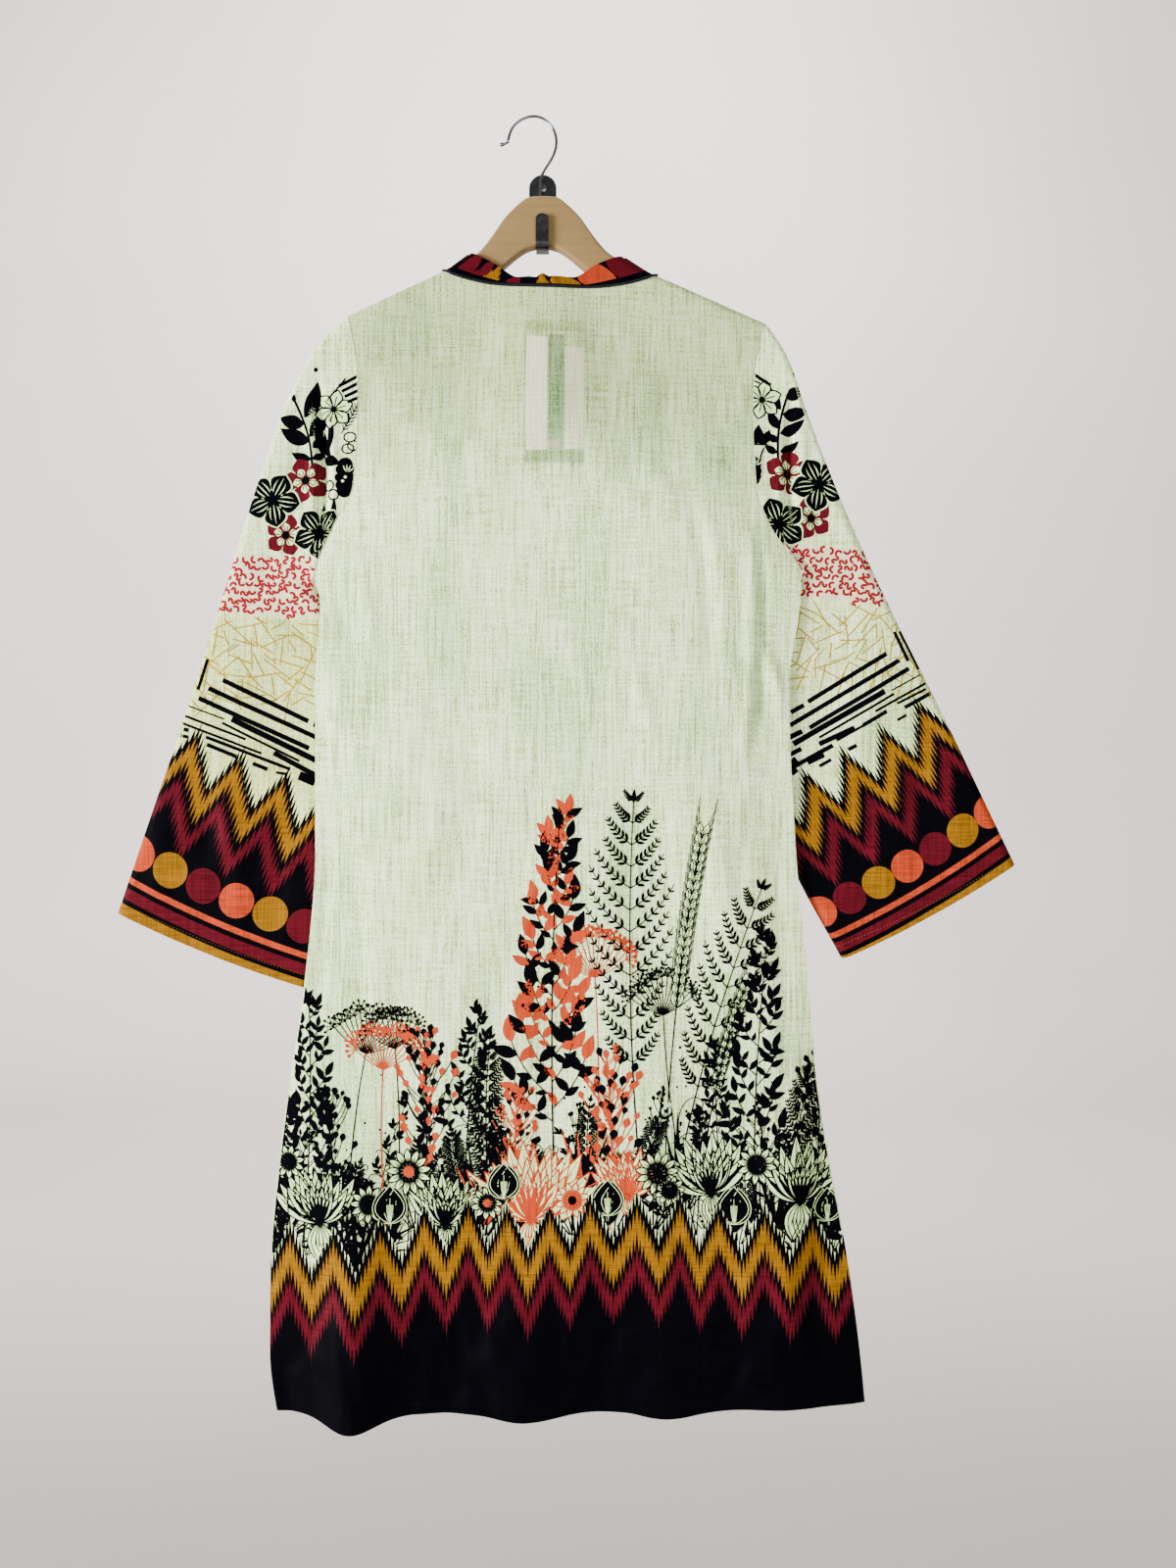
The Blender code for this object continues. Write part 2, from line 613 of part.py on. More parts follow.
def hanger_hook():
    """The wire: a stem from the wood, an open loop and a small ball at its tip."""
    stem_z = float(arm_top(WIRE_X)) + SEAM_GAP
    x = np.concatenate(([WIRE_X] * 2, WIRE["x"]))
    z = np.concatenate(([stem_z, stem_z + 0.011], WIRE["z"]))
    length = np.concatenate(([0], np.cumsum(np.hypot(np.diff(x), np.diff(z)))))
    ball = np.array([-1.0, -0.85, -0.5, 0.0, 0.5, 0.85, 0.97]) * WIRE_BALL_RADIUS
    at = np.concatenate((np.linspace(0, length[-1] - 0.0045, 40), length[-1] + ball))
    radius = np.full(len(at), WIRE_RADIUS)
    swell = np.sqrt(np.maximum(WIRE_BALL_RADIUS**2 - ball**2, 0))
    radius[-len(ball) :] = np.maximum(swell, np.where(ball < 0, WIRE_RADIUS, 0.0003))
    end = (x[-1] - x[-2], z[-1] - z[-2])
    past = np.maximum(at - length[-1], 0) / math.hypot(*end)
    path_x = smooth(at, length, x) + past * end[0]
    path_z = smooth(at, length, z) + past * end[1]
    tangent = unit(np.stack((np.gradient(path_x), np.gradient(path_z)), axis=-1))
    turn = np.linspace(0, 2 * math.pi, 10, endpoint=False)
    rings = [
        [
            (px + r * math.cos(a) * -t[1], WOOD_Y + r * math.sin(a), pz + r * math.cos(a) * t[0])
            for a in turn
        ]
        for px, pz, t, r in zip(path_x, path_z, tangent, radius)
    ]
    loft("hanger_hook", rings, "chromed_wire")


def hook_path():
    """The strip's middle line in y and z with its half width, from the plate's top to the tongue."""
    rear = -PLATE_THICK / 2
    front = 2 * WOOD_Y - rear
    seat = min(arm_low(STRIP_WIDTH / 2), arm_low(-STRIP_WIDTH / 2))
    bend_z = float(seat) - HOOK_SEAT_GAP - PLATE_THICK / 2 + BEND_RADIUS
    half = PLATE_WIDTH / 2
    path = []
    for a in np.radians([86, 70, 50, 30, 12]):
        path.append((rear, SCREW_HEIGHT + half * math.sin(a), half * math.cos(a)))
    path.append((rear, SCREW_HEIGHT, half))
    path.append((rear, PLATE_SHOULDER, half))
    half = STRIP_WIDTH / 2
    path.append((rear, STRIP_TOP, half))
    for centre, start in ((rear - BEND_RADIUS, 0), (front + BEND_RADIUS, 90)):
        for a in np.radians(start + np.array([0, 30, 60, 90])):
            path.append((centre + BEND_RADIUS * math.cos(a), bend_z - BEND_RADIUS * math.sin(a), half))
    for a in np.radians([0, 45, 75]):
        z = TONGUE_TOP - TONGUE_ROUND + TONGUE_ROUND * math.sin(a)
        path.append((front, z, half - TONGUE_ROUND + TONGUE_ROUND * math.cos(a)))
    return np.array(path)


def wall_hook():
    """A plate with a round top that runs down into a narrow strip, bent up in front as a tongue."""
    path = hook_path()
    across = np.array([-1, -0.4, 0.4, 1])
    grid = np.empty((len(path), len(across), 3))
    grid[..., 0] = path[:, 2:3] * across
    grid[..., 1] = path[:, 0:1]
    grid[..., 2] = path[:, 1:2]
    hook = wall("wall_hook", grid, PLATE_THICK, "dark_metal")
    turn = np.linspace(0, 2 * math.pi, 24, endpoint=False)
    circle = np.stack((np.cos(turn), np.zeros_like(turn), np.sin(turn)), axis=-1)
    centre = np.array((0, 0, SCREW_HEIGHT))
    cutter = loft(
        "screw_hole_guide",
        [centre + (0, y, 0) + circle * SCREW_HOLE_RADIUS for y in (0.01, -0.01)],
        "screw_metal",
    )
    cutter.hide_render = True
    cutter.display_type = "WIRE"
    cut = hook.modifiers.new("screw hole", "BOOLEAN")
    cut.object = cutter
    cut.operation = "DIFFERENCE"

    front = -PLATE_THICK - SEAM_GAP
    profile = [
        # y, radius: the shank, cut off flush with the wall, and the domed head
        (0.0, SCREW_SHANK_RADIUS),
        (front, SCREW_SHANK_RADIUS),
        (front, SCREW_HEAD_RADIUS),
        (front - SCREW_HEAD_HEIGHT * 0.45, SCREW_HEAD_RADIUS * 0.93),
        (front - SCREW_HEAD_HEIGHT * 0.85, SCREW_HEAD_RADIUS * 0.62),
        (front - SCREW_HEAD_HEIGHT, SCREW_HEAD_RADIUS * 0.2),
    ]
    loft("wall_screw", [centre + (0, y, 0) + circle * r for y, r in profile], "screw_metal")


def main():
    for old in list(bpy.data.objects):
        bpy.data.objects.remove(old)
    back = panel("back_panel", False, "cotton_back")
    front = panel("front_panel", True, "cotton_front")
    placket(*front)
    collar(back, front)
    sleeve("sleeve_left", LEFT_SLEEVE, "left")
    sleeve("sleeve_right", RIGHT_SLEEVE, "right")
    hanger_body()
    hanger_hook()
    wall_hook()


main()
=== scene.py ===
"""A long printed cotton kurta on a wooden hanger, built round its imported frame.

The garment hangs with its back to -Y and its front to the wall plane y = 0. Everything is in
metres, +Z up. Each cloth piece is a thin shell worked out on a grid from the same lines as its
solid, with its folds pressed into it. Repeats of the print are in the cloth's material, and
drawn shapes are flat strips laid on the cloth.
"""

import json
import math

import bmesh
import bpy
import numpy as np
from bpy.props import FloatProperty, FloatVectorProperty, PointerProperty
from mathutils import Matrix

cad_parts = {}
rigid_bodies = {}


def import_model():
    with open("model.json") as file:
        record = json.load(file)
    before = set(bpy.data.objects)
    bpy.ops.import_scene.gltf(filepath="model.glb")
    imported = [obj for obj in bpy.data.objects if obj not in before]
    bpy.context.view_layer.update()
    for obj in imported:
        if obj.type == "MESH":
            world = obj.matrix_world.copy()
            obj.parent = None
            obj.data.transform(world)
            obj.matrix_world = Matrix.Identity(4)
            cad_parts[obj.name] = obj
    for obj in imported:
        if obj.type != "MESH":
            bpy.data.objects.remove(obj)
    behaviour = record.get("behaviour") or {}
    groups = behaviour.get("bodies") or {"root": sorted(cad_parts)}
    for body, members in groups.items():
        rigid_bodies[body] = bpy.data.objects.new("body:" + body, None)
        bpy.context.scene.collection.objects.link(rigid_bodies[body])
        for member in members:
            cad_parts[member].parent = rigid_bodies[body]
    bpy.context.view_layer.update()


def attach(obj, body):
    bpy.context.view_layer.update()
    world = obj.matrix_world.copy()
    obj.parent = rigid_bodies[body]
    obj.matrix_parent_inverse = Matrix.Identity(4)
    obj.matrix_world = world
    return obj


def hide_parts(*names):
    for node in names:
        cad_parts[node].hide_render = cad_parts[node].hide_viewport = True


bl_info = {
    "name": "Printed kurta on a hanger",
    "version": (1, 0, 0),
    "blender": (4, 5, 0),
    "location": "3D View > Sidebar > Kurta",
    "description": "Cloth, print, hanger and studio for a hanging kurta",
    "category": "Object",
}

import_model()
ROOT = "root"

# ---------------------------------------------------------------- the garment's own lines
CLOTH = 0.0015  # wall of a cloth solid: a shell's outer side keeps to the solid's
TRIM = 0.0010
SEAM_GAP = 0.0003
ARMHOLE_GAP = 0.0006
TRIM_LIFT = CLOTH / 2 + SEAM_GAP + TRIM / 2
FACING_THICK = 0.0008
WOOD_THICK = 0.0136
WOOD_Y = -0.0112
WOOD_REACH = 0.204
WOOD_TAPER = 0.190  # where its tips start to thin
WOOD_TILT = 0.012
SHOULDER_LIFT = 0.0016
BACK_ROLL = 0.0090
FRONT_ROLL = 0.0084
NECK_LEFT = -0.099
NECK_RIGHT = 0.114
BACK_NECK_DROP = 0.0155
FRONT_NECK_DROP = 0.0500
UNDERARM = -0.376
SLIT_TOP = -0.835
HEM = -1.187
HEM_RISE = 0.008
SIDE_DEPTH = -0.0300
BACK_CROWN = 0.0110
FRONT_MIDDLE = 0.0030
SLEEVE_ROOM = 0.048
SLEEVE_EASE = 0.040
ARM_ROOM = 0.050
CHEST_DROP = 0.200
SLIT_BACK = 0.003
SLIT_FRONT = 0.012
PLACKET_TOP = 0.017  # shares of the armhole's depth
SLIT_BOTTOM = 0.49
PLACKET_BOTTOM = 0.52
SLIT_SHARES = (0.533, 0.547)  # shares of the neckline
PLACKET_SHARES = (0.388, 0.692)
TINY = 1e-6  # margin for comparing shares
THREAD_SEAT = CLOTH / 2 + 0.00005  # stitches above a solid's middle surface

SIDES = np.array(
    [
        # height, left edge, right edge: armholes down to the underarm, then the side seams
        (-0.113, -0.1910, 0.2255),
        (-0.165, -0.1820, 0.2095),
        (-0.210, -0.1800, 0.2060),
        (-0.285, -0.1840, 0.2090),
        (-0.325, -0.2030, 0.2220),
        (-0.376, -0.2210, 0.2530),
        (-0.396, -0.2165, 0.2525),
        (-0.480, -0.2210, 0.2415),
        (-0.640, -0.2210, 0.2480),
        (-0.775, -0.2320, 0.2610),
        (-0.860, -0.2450, 0.2680),
        (-0.940, -0.2555, 0.2800),
        (-1.040, -0.2640, 0.2980),
        (-1.130, -0.2645, 0.3100),
        (-1.215, -0.2530, 0.3180),
    ],
    dtype=[("height", float), ("left", float), ("right", float)],
)

HANGER = np.array(
    [
        # from centre, top edge, lower edge
        (0.000, 0.0050, -0.0445),
        (0.0135, 0.0039, -0.0475),
        (0.025, -0.0040, -0.0545),
        (0.037, -0.0160, -0.0645),
        (0.050, -0.0335, -0.0760),
        (0.064, -0.0500, -0.0860),
        (0.073, -0.0562, -0.0910),
        (0.099, -0.0705, -0.1035),
        (0.150, -0.0938, -0.1230),
        (0.210, -0.1212, -0.1430),
        (0.270, -0.1486, -0.1650),
    ],
    dtype=[("out", float), ("top", float), ("low", float)],
)

HEM_FOLDS = np.array(
    [
        # place at the hem, half width, how far forward, how far the hem drops, where it ends
        (-0.183, 0.046, 0.019, 0.012, -0.820),
        (-0.018, 0.052, 0.008, 0.006, -0.900),
        (0.120, 0.050, 0.007, 0.005, -0.860),
        (0.235, 0.050, 0.010, -0.001, -0.620),
    ],
    dtype=[("x", float), ("half", float), ("depth", float), ("drop", float), ("end", float)],
)

SLEEVE_Y = -0.0145
SLEEVE_HALF = 0.0100
FOLD_ROUND = 0.0080
CAP_SPREAD = 0.6
CUFF_BOW = 0.0050  # how far the cuff's middle hangs below its two corners
# how far the underarm fold reaches in under the body's side, its height and spread
UNDERARM_TUCK = (0.0042, -0.390, 0.014)

RING = [("out_x", float), ("out_z", float), ("in_x", float), ("in_z", float), ("free", float)]
SLEEVES = {
    "left": np.array(
        [
            (-0.1913, -0.1135, -0.2214, -0.3763, 0.00),
            (-0.2200, -0.1405, -0.2250, -0.3775, 0.10),
            (-0.2458, -0.1843, -0.2265, -0.3795, 0.25),
            (-0.2827, -0.2862, -0.2270, -0.3830, 0.60),
            (-0.3150, -0.3910, -0.2240, -0.3900, 0.95),
            (-0.3290, -0.4350, -0.2100, -0.4200, 1.00),
            (-0.3623, -0.5384, -0.2000, -0.5750, 1.00),
            (-0.3910, -0.6220, -0.2080, -0.6850, 1.00),
            (-0.4185, -0.7033, -0.2290, -0.7785, 1.00),
        ],
        dtype=RING,
    ),
    "right": np.array(
        [
            (0.2258, -0.1247, 0.2534, -0.3763, 0.00),
            (0.2450, -0.1552, 0.2570, -0.3775, 0.10),
            (0.2625, -0.2066, 0.2585, -0.3795, 0.25),
            (0.2916, -0.2862, 0.2590, -0.3830, 0.60),
            (0.3275, -0.3700, 0.2560, -0.3900, 0.95),
            (0.3488, -0.4152, 0.2430, -0.4200, 1.00),
            (0.4040, -0.5260, 0.2180, -0.5650, 1.00),
            (0.4400, -0.6010, 0.2455, -0.6520, 1.00),
            (0.4662, -0.6558, 0.2965, -0.7490, 1.00),
        ],
        dtype=RING,
    ),
}

COLLAR_FRONT_HEIGHT = 0.0260
COLLAR_HEIGHT = 0.024  # metres for the whole of the print's height
COLLAR_LIFT = 0.0006
COLLAR_BACK_TOP = np.array(
    [(0.00, -0.0515), (0.18, -0.0656), (0.33, -0.0790), (0.50, -0.0775), (0.66, -0.0790),
     (0.82, -0.0656), (1.00, -0.0550)],
    dtype=[("share", float), ("height", float)],
)
COLLAR_BACK_LEFT = -0.0745
COLLAR_BACK_RIGHT = 0.0830
COLLAR_EASE = (0.0020, 0.0008)
BAND_THICK = 0.0012  # two layers of cloth with interfacing
PIPING_HALF = 0.0016
PIPING_LIFT = TRIM_LIFT + 0.0004

WIRE_X = -0.0025
WIRE_RADIUS = 0.0014
WIRE_SECTIONS = 150
WIRE = np.array(
    [
        (WIRE_X, 0.0265), (0.0062, 0.0380), (0.0130, 0.0500), (0.0150, 0.0627), (0.0105, 0.0760),
        (0.0010, 0.0850), (-0.0100, 0.0871), (-0.0220, 0.0832), (-0.0305, 0.0752),
        (-0.0340, 0.0672), (-0.0330, 0.0605), (-0.0370, 0.0583), (-0.0405, 0.0578),
    ],
    dtype=[("x", float), ("z", float)],
)
KNOB_START = 0.0086  # before the line's end
KNOB = (
    # mm past the line's end and radius
    (-8.2, 1.40), (-7.8, 1.62), (-7.4, 1.92), (-6.8, 1.95), (-6.4, 1.72), (-5.9, 1.36), (-3.0, 1.36),
    (-2.2, 1.45), (-1.7, 1.75), (-1.0, 2.08), (0.0, 2.15), (0.9, 1.98), (1.5, 1.60), (1.9, 0.95),
    (2.1, 0.30),
)

PLATE_WIDTH = 0.0274
PLATE_THICK = 0.0030
SCREW_HEIGHT = 0.018
PLATE_SHOULDER = -0.012
STRIP_TOP = -0.021
STRIP_WIDTH = 0.0126
TONGUE_TOP = -0.0154
BEND_RADIUS = 0.0055
HOOK_SEAT_GAP = 0.0004
SCREW_RADIUS = 0.0019
SCREW_HOLE_RADIUS = 0.0023
SCREW_HEAD_RADIUS = 0.0042
SCREW_HEAD_RIM = 0.0004
SCREW_HEAD_HEIGHT = 0.0018

# ---------------------------------------------------------------- folds pressed into the cloth
BACK_CREASES = np.array(
    [
        # from x, z to x, z, sideways bow, half width, how far the crest stands out
        (-0.172, -0.150, -0.104, -0.124, 0.004, 0.006, 0.0012),
        (-0.150, -0.168, -0.100, -0.150, -0.003, 0.007, -0.0007),
        (-0.168, -0.298, -0.128, -0.290, 0.003, 0.005, -0.0011),
        (-0.171, -0.310, -0.120, -0.306, -0.004, 0.008, 0.0008),
        (0.138, -0.283, 0.160, -0.482, 0.012, 0.008, -0.0013),
        (0.152, -0.300, 0.176, -0.470, 0.010, 0.009, 0.0011),
        (0.203, -0.325, 0.194, -0.560, 0.006, 0.006, 0.0021),
        (0.212, -0.330, 0.205, -0.560, 0.006, 0.006, -0.0017),
        (0.092, -0.454, 0.112, -0.540, -0.003, 0.006, 0.0010),
        (0.205, -0.430, 0.243, -0.520, 0.004, 0.006, 0.0016),
        (0.190, -0.440, 0.228, -0.540, 0.004, 0.007, -0.0012),
        (-0.172, -0.350, -0.158, -0.464, -0.004, 0.006, 0.0012),
        (-0.205, -0.385, -0.180, -0.470, 0.004, 0.006, -0.0014),
        (-0.214, -0.500, -0.196, -0.530, 0.002, 0.005, 0.0012),
        (-0.100, -0.555, -0.117, -0.680, 0.006, 0.018, 0.0014),
        (-0.004, -0.560, 0.002, -0.650, -0.004, 0.016, -0.0013),
        (-0.060, -0.590, -0.048, -0.760, 0.006, 0.020, 0.0012),
        (0.060, -0.600, 0.080, -0.790, -0.006, 0.019, 0.0015),
        (0.165, -0.600, 0.182, -0.800, 0.005, 0.016, 0.0016),
        (-0.160, -0.640, -0.170, -0.850, 0.005, 0.016, 0.0013),
        (-0.205, -0.640, -0.222, -0.840, -0.004, 0.010, -0.0014),
        (0.222, -0.640, 0.240, -0.860, 0.004, 0.010, -0.0012),
        (0.020, -0.180, 0.026, -0.330, 0.002, 0.012, 0.0005),
        (-0.030, -0.700, -0.020, -0.980, 0.008, 0.017, 0.0014),
        (0.110, -0.760, 0.122, -1.010, -0.006, 0.017, 0.0014),
        (-0.110, -0.760, -0.100, -1.010, 0.006, 0.018, 0.0012),
        (-0.178, -1.130, -0.130, -1.168, 0.004, 0.006, 0.0016),
        (-0.150, -1.150, -0.118, -1.182, -0.003, 0.005, -0.0012),
        (-0.205, -1.090, -0.190, -1.170, 0.004, 0.007, 0.0013),
        (0.080, -1.125, 0.178, -1.160, 0.006, 0.006, 0.0012),
        (0.095, -1.145, 0.160, -1.176, -0.004, 0.005, -0.0010),
        (0.150, -1.060, 0.200, -1.110, 0.004, 0.008, 0.0013),
        (0.240, -1.060, 0.270, -1.150, -0.004, 0.008, 0.0012),
        (-0.060, -1.110, -0.010, -1.165, 0.004, 0.008, 0.0011),
        (0.010, -1.080, 0.030, -1.160, -0.003, 0.007, -0.0010),
    ]
)
FRONT_CREASES = np.array(
    [
        (-0.160, -0.200, -0.110, -0.170, 0.004, 0.008, 0.0010),
        (0.190, -0.230, 0.130, -0.190, -0.004, 0.008, 0.0010),
        (-0.165, -0.350, -0.150, -0.520, 0.006, 0.009, 0.0012),
        (0.185, -0.360, 0.165, -0.560, -0.006, 0.010, 0.0013),
        (-0.060, -0.500, -0.052, -0.720, 0.006, 0.018, 0.0013),
        (0.070, -0.480, 0.082, -0.760, -0.006, 0.018, 0.0014),
        (0.010, -0.640, 0.020, -0.900, 0.006, 0.018, -0.0012),
        (-0.130, -0.700, -0.140, -0.960, 0.006, 0.016, 0.0013),
        (0.150, -0.720, 0.166, -0.990, -0.006, 0.018, 0.0014),
        (-0.170, -1.110, -0.120, -1.160, 0.004, 0.007, 0.0012),
        (0.040, -1.100, 0.120, -1.150, 0.004, 0.008, 0.0012),
        (0.200, -1.080, 0.230, -1.160, -0.004, 0.008, 0.0011),
        (-0.060, -1.020, -0.050, -1.150, 0.004, 0.012, 0.0013),
    ]
)
SLEEVE_CREASES = {
    "left": np.array(
        [
            (-0.221, -0.175, -0.2165, -0.365, 0.004, 0.0050, -0.0058),
            (-0.231, -0.190, -0.2265, -0.350, 0.004, 0.0060, 0.0026),
            (-0.2110, -0.190, -0.2060, -0.350, 0.004, 0.0050, 0.0020),
            (-0.250, -0.150, -0.238, -0.215, -0.004, 0.0060, 0.0010),
            (-0.262, -0.380, -0.215, -0.412, 0.006, 0.0070, 0.0018),
            (-0.268, -0.410, -0.214, -0.452, 0.006, 0.0070, -0.0015),
            (-0.310, -0.420, -0.268, -0.560, -0.008, 0.0120, 0.0018),
            (-0.285, -0.430, -0.232, -0.600, 0.008, 0.0130, -0.0016),
            (-0.262, -0.500, -0.222, -0.660, 0.008, 0.0110, 0.0018),
            (-0.346, -0.530, -0.330, -0.660, 0.006, 0.0120, -0.0014),
            (-0.322, -0.560, -0.300, -0.715, 0.006, 0.0120, 0.0016),
            (-0.372, -0.620, -0.384, -0.700, 0.004, 0.0100, 0.0013),
            (-0.262, -0.610, -0.262, -0.740, 0.004, 0.0100, -0.0013),
        ]
    ),
    "right": np.array(
        [
            (0.247, -0.190, 0.247, -0.350, -0.004, 0.0050, -0.0050),
            (0.258, -0.205, 0.259, -0.340, -0.004, 0.0065, 0.0024),
            (0.236, -0.205, 0.237, -0.340, -0.004, 0.0050, 0.0016),
            (0.268, -0.170, 0.262, -0.225, 0.004, 0.0060, 0.0010),
            (0.300, -0.370, 0.252, -0.402, 0.006, 0.0070, 0.0018),
            (0.312, -0.400, 0.252, -0.448, 0.006, 0.0070, -0.0015),
            (0.336, -0.420, 0.300, -0.560, 0.008, 0.0120, 0.0017),
            (0.300, -0.440, 0.262, -0.600, -0.008, 0.0130, -0.0016),
            (0.372, -0.500, 0.352, -0.640, 0.008, 0.0120, -0.0014),
            (0.350, -0.540, 0.336, -0.690, 0.006, 0.0120, 0.0016),
            (0.404, -0.560, 0.420, -0.660, -0.004, 0.0100, 0.0013),
            (0.300, -0.600, 0.322, -0.720, 0.004, 0.0100, -0.0013),
        ]
    ),
}
CRUMPLES = 220  # small soft dents scattered over a panel
HEM_CRUMPLES = 70
SLEEVE_CRUMPLES = 110
BODY_PRESS = (2.1, -0.0034, 0.0044)  # strength of the pressed folds and their lowest and highest
SLEEVE_PRESS = (1.25, -0.0095, 0.0038)
HEM_FOLD = 0.012  # depth of the turned hem
SIDE_FOLD = 0.008
CUFF_FOLD = 0.10  # in steps between a sleeve's rings
CUFF_STITCH = 7.87
PRINT_TOP = -1.03  # the slits' pale stitches end above the black print

# ---------------------------------------------------------------- repeats of the print
# tips of the mustard layer across the hem, as x, y on the camera's image
HEM_TIPS = np.array(
    [
        (294, 1269), (341, 1270), (388, 1262), (433, 1247), (478, 1238), (517, 1244), (561, 1244),
        (602, 1235), (650, 1236), (694, 1235), (733, 1246), (780, 1246), (830, 1254),
    ]
)
# the tips that follow past its two side edges, in metres
HEM_TIPS_LEFT = [(-0.2870, -1.0180)]
HEM_TIPS_RIGHT = [(0.3080, -1.0080), (0.3535, -1.0090)]
# depths at which the layers start: black, mustard, black, maroon and black again
HEM_LAYERS = (0.0, 0.0200, 0.0445, 0.0590, 0.0790)
CUFF_LAYERS = (0.0, 0.0164, 0.0375, 0.0540, 0.0750)
WAVE_HEIGHT = 0.046
HEM_VALLEY = 0.5  # where in a period the flames' edge is lowest
CUFF_VALLEY = 0.62
TEETH = 13  # flame teeth in a period
TOOTH = 0.0150
CUFF_BANDS = (
    (0.1635, "coral"), (0.1690, "ink"), (0.1740, "maroon"), (0.1847, "ink"), (0.1900, "mustard"),
)
FLAME_RAMP = 10.0  # colour ramp positions for each metre of depth
BAND_RAMP = 4.0
DOT_LINE = 0.1396
DOT_RADIUS = 0.0173
DOT_STEP = 0.745  # in periods of the wave
DOT_FIRST = -0.2
ROW_SAG = 0.52  # rows sag by this times the square of the way from their middle
ROW_MIDDLE = 0.102
ROWS = {
    # first black tip, tilt down towards the body, period, scale across the rows and of the dots
    "left": {"tip": (-0.3346, -0.5206), "tilt": 22.4, "period": 0.0478, "scale": 1.0, "dot": 1.0},
    "right": {"tip": (0.3648, -0.4925), "tilt": 30.0, "period": 0.0433, "scale": 0.965, "dot": 0.93},
}
SQUIGGLE_BAND = {
    # heights of the band's two edges where x is at, their slope towards the body, and the
    # colour of the cloth below the band with its strength
    "left": {
        "top": -0.3529, "low": -0.4107, "slope": -0.05, "at": -0.290, "cloth": "E6DCAA", "yellow": 0.65,
    },
    "right": {
        "top": -0.3430, "low": -0.3935, "slope": -0.11, "at": 0.262, "cloth": "F6EBC0", "yellow": 0.20,
    },
}


CAMERA = (0.0452, -1.220, -0.5772)
PIXEL = 0.00095  # a pixel of the camera's 1200 x 1600 image on the plane y = -0.040
PIXEL_DISTANCE = 1.18  # that plane's distance from the camera
SLEEVE_PLANE = 0.0155  # how far the sleeves' nearer side lies behind that plane
SLEEVE_PIXEL = 0.00096  # a pixel on the sleeves
HEM_PLANE = -0.005  # how far the hem's tips lie behind that plane


# ---------------------------------------------------------------- values a user may change
def linear(code):
    """Linear colour, with alpha 1, of an sRGB hex value: the usual two-part transfer curve."""
    levels = np.array([int(code[i : i + 2], 16) for i in (0, 2, 4)]) / 255
    light = np.where(levels <= 0.04045, levels / 12.92, ((levels + 0.055) / 1.055) ** 2.4)
    return (*light.tolist(), 1.0)


def colour(name, code, description):
    return FloatVectorProperty(
        name=name, description=description, subtype="COLOR", size=4, min=0, max=1, default=linear(code)
    )


def power(name, default, description):
    return FloatProperty(name=name, description=description, default=default, min=0, unit="POWER")


def size(name, default, description):
    return FloatProperty(
        name=name,
        description=description,
        default=default,
        min=0,
        precision=5,
        subtype="DISTANCE",
        unit="LENGTH",
    )


class KurtaColours(bpy.types.PropertyGroup):
    """Dyes, inks, wood and metal."""

    cream: colour("Cream", "DAF8AC", "Ground of the cloth, a pale greenish cream")
    shade: colour("Thread shade", "8A8A56", "The thicker, greener threads of the slub cotton")
    pale: colour("Thread light", "F8FFE2", "The thinner, paler threads of the slub cotton")
    ink: colour("Ink", "030307", "Blue-black of the borders and the line drawing")
    mustard: colour("Mustard", "8C5F10", "Mustard layer of the flame borders")
    maroon: colour("Maroon", "55111C", "Maroon layer of the flame borders and flowers")
    coral: colour("Coral", "B44022", "Coral of the garden border, dots and stripe")
    red: colour("Red", "8E1A24", "Red of the squiggles on the sleeves")
    straw: colour("Straw", "A88A1C", "Thin crossing lines on the sleeves")
    blush: colour("Blush", "E4CDAE", "Pinkish ground of the squiggle band")
    facing: colour("Facing", "E2D2B4", "Plain cotton of the placket's facing")
    wood: colour("Wood", "806842", "Lacquered beech")
    grain: colour("Grain", "634A28", "Flecks and pores of the beech")
    gunmetal: colour("Dark metal", "171513", "Blackened steel of the wall hook")
    # painted reflection: the plating is kept dark grey to show the dark surroundings it would mirror
    steel: colour("Bright metal", "37383A", "Plated wire and screw")
    floor: colour("Floor", "DDD3CF", "Seamless studio paper")


class KurtaSizes(bpy.types.PropertyGroup):
    """Thicknesses, stitches and thread spacings."""

    cloth: size("Cloth", 0.0006, "Thickness of the cotton shell")
    slub: size("Slub length", 0.058, "Length of a thick place in a thread")
    thread: size("Thread spacing", 0.0019, "Spacing of the visible threads")
    stitch: size("Stitch", 0.0026, "Length of a topstitch along the hem and the placket")
    line: size("Drawn line", 0.0009, "Width of a drawn line of the print")
    lift: size("Print lift", 0.00012, "How far the lowest layer of print lies above the cloth")
    layer: size("Print layer", 0.00007, "Step between layers of print")


class KurtaStage(bpy.types.PropertyGroup):
    """Studio room, lamps and camera."""

    ground: FloatProperty(name="Floor", description="Height of the floor", default=-1.62, unit="LENGTH")
    wall: size("Backdrop distance", 3.9, "Distance of the backdrop behind the garment")
    key: power("Key power", 950, "Power of the large soft lamp")
    fill: power("Fill power", 115, "Power of the fill lamp")
    wash: power("Wash power", 310, "Power of the lamp on the backdrop")
    room: FloatProperty(name="Room light", description="Strength of the even room light", default=0.52, min=0)
    lens: FloatProperty(name="Lens", description="Focal length in mm on a 36 mm side", default=27.95, min=1)


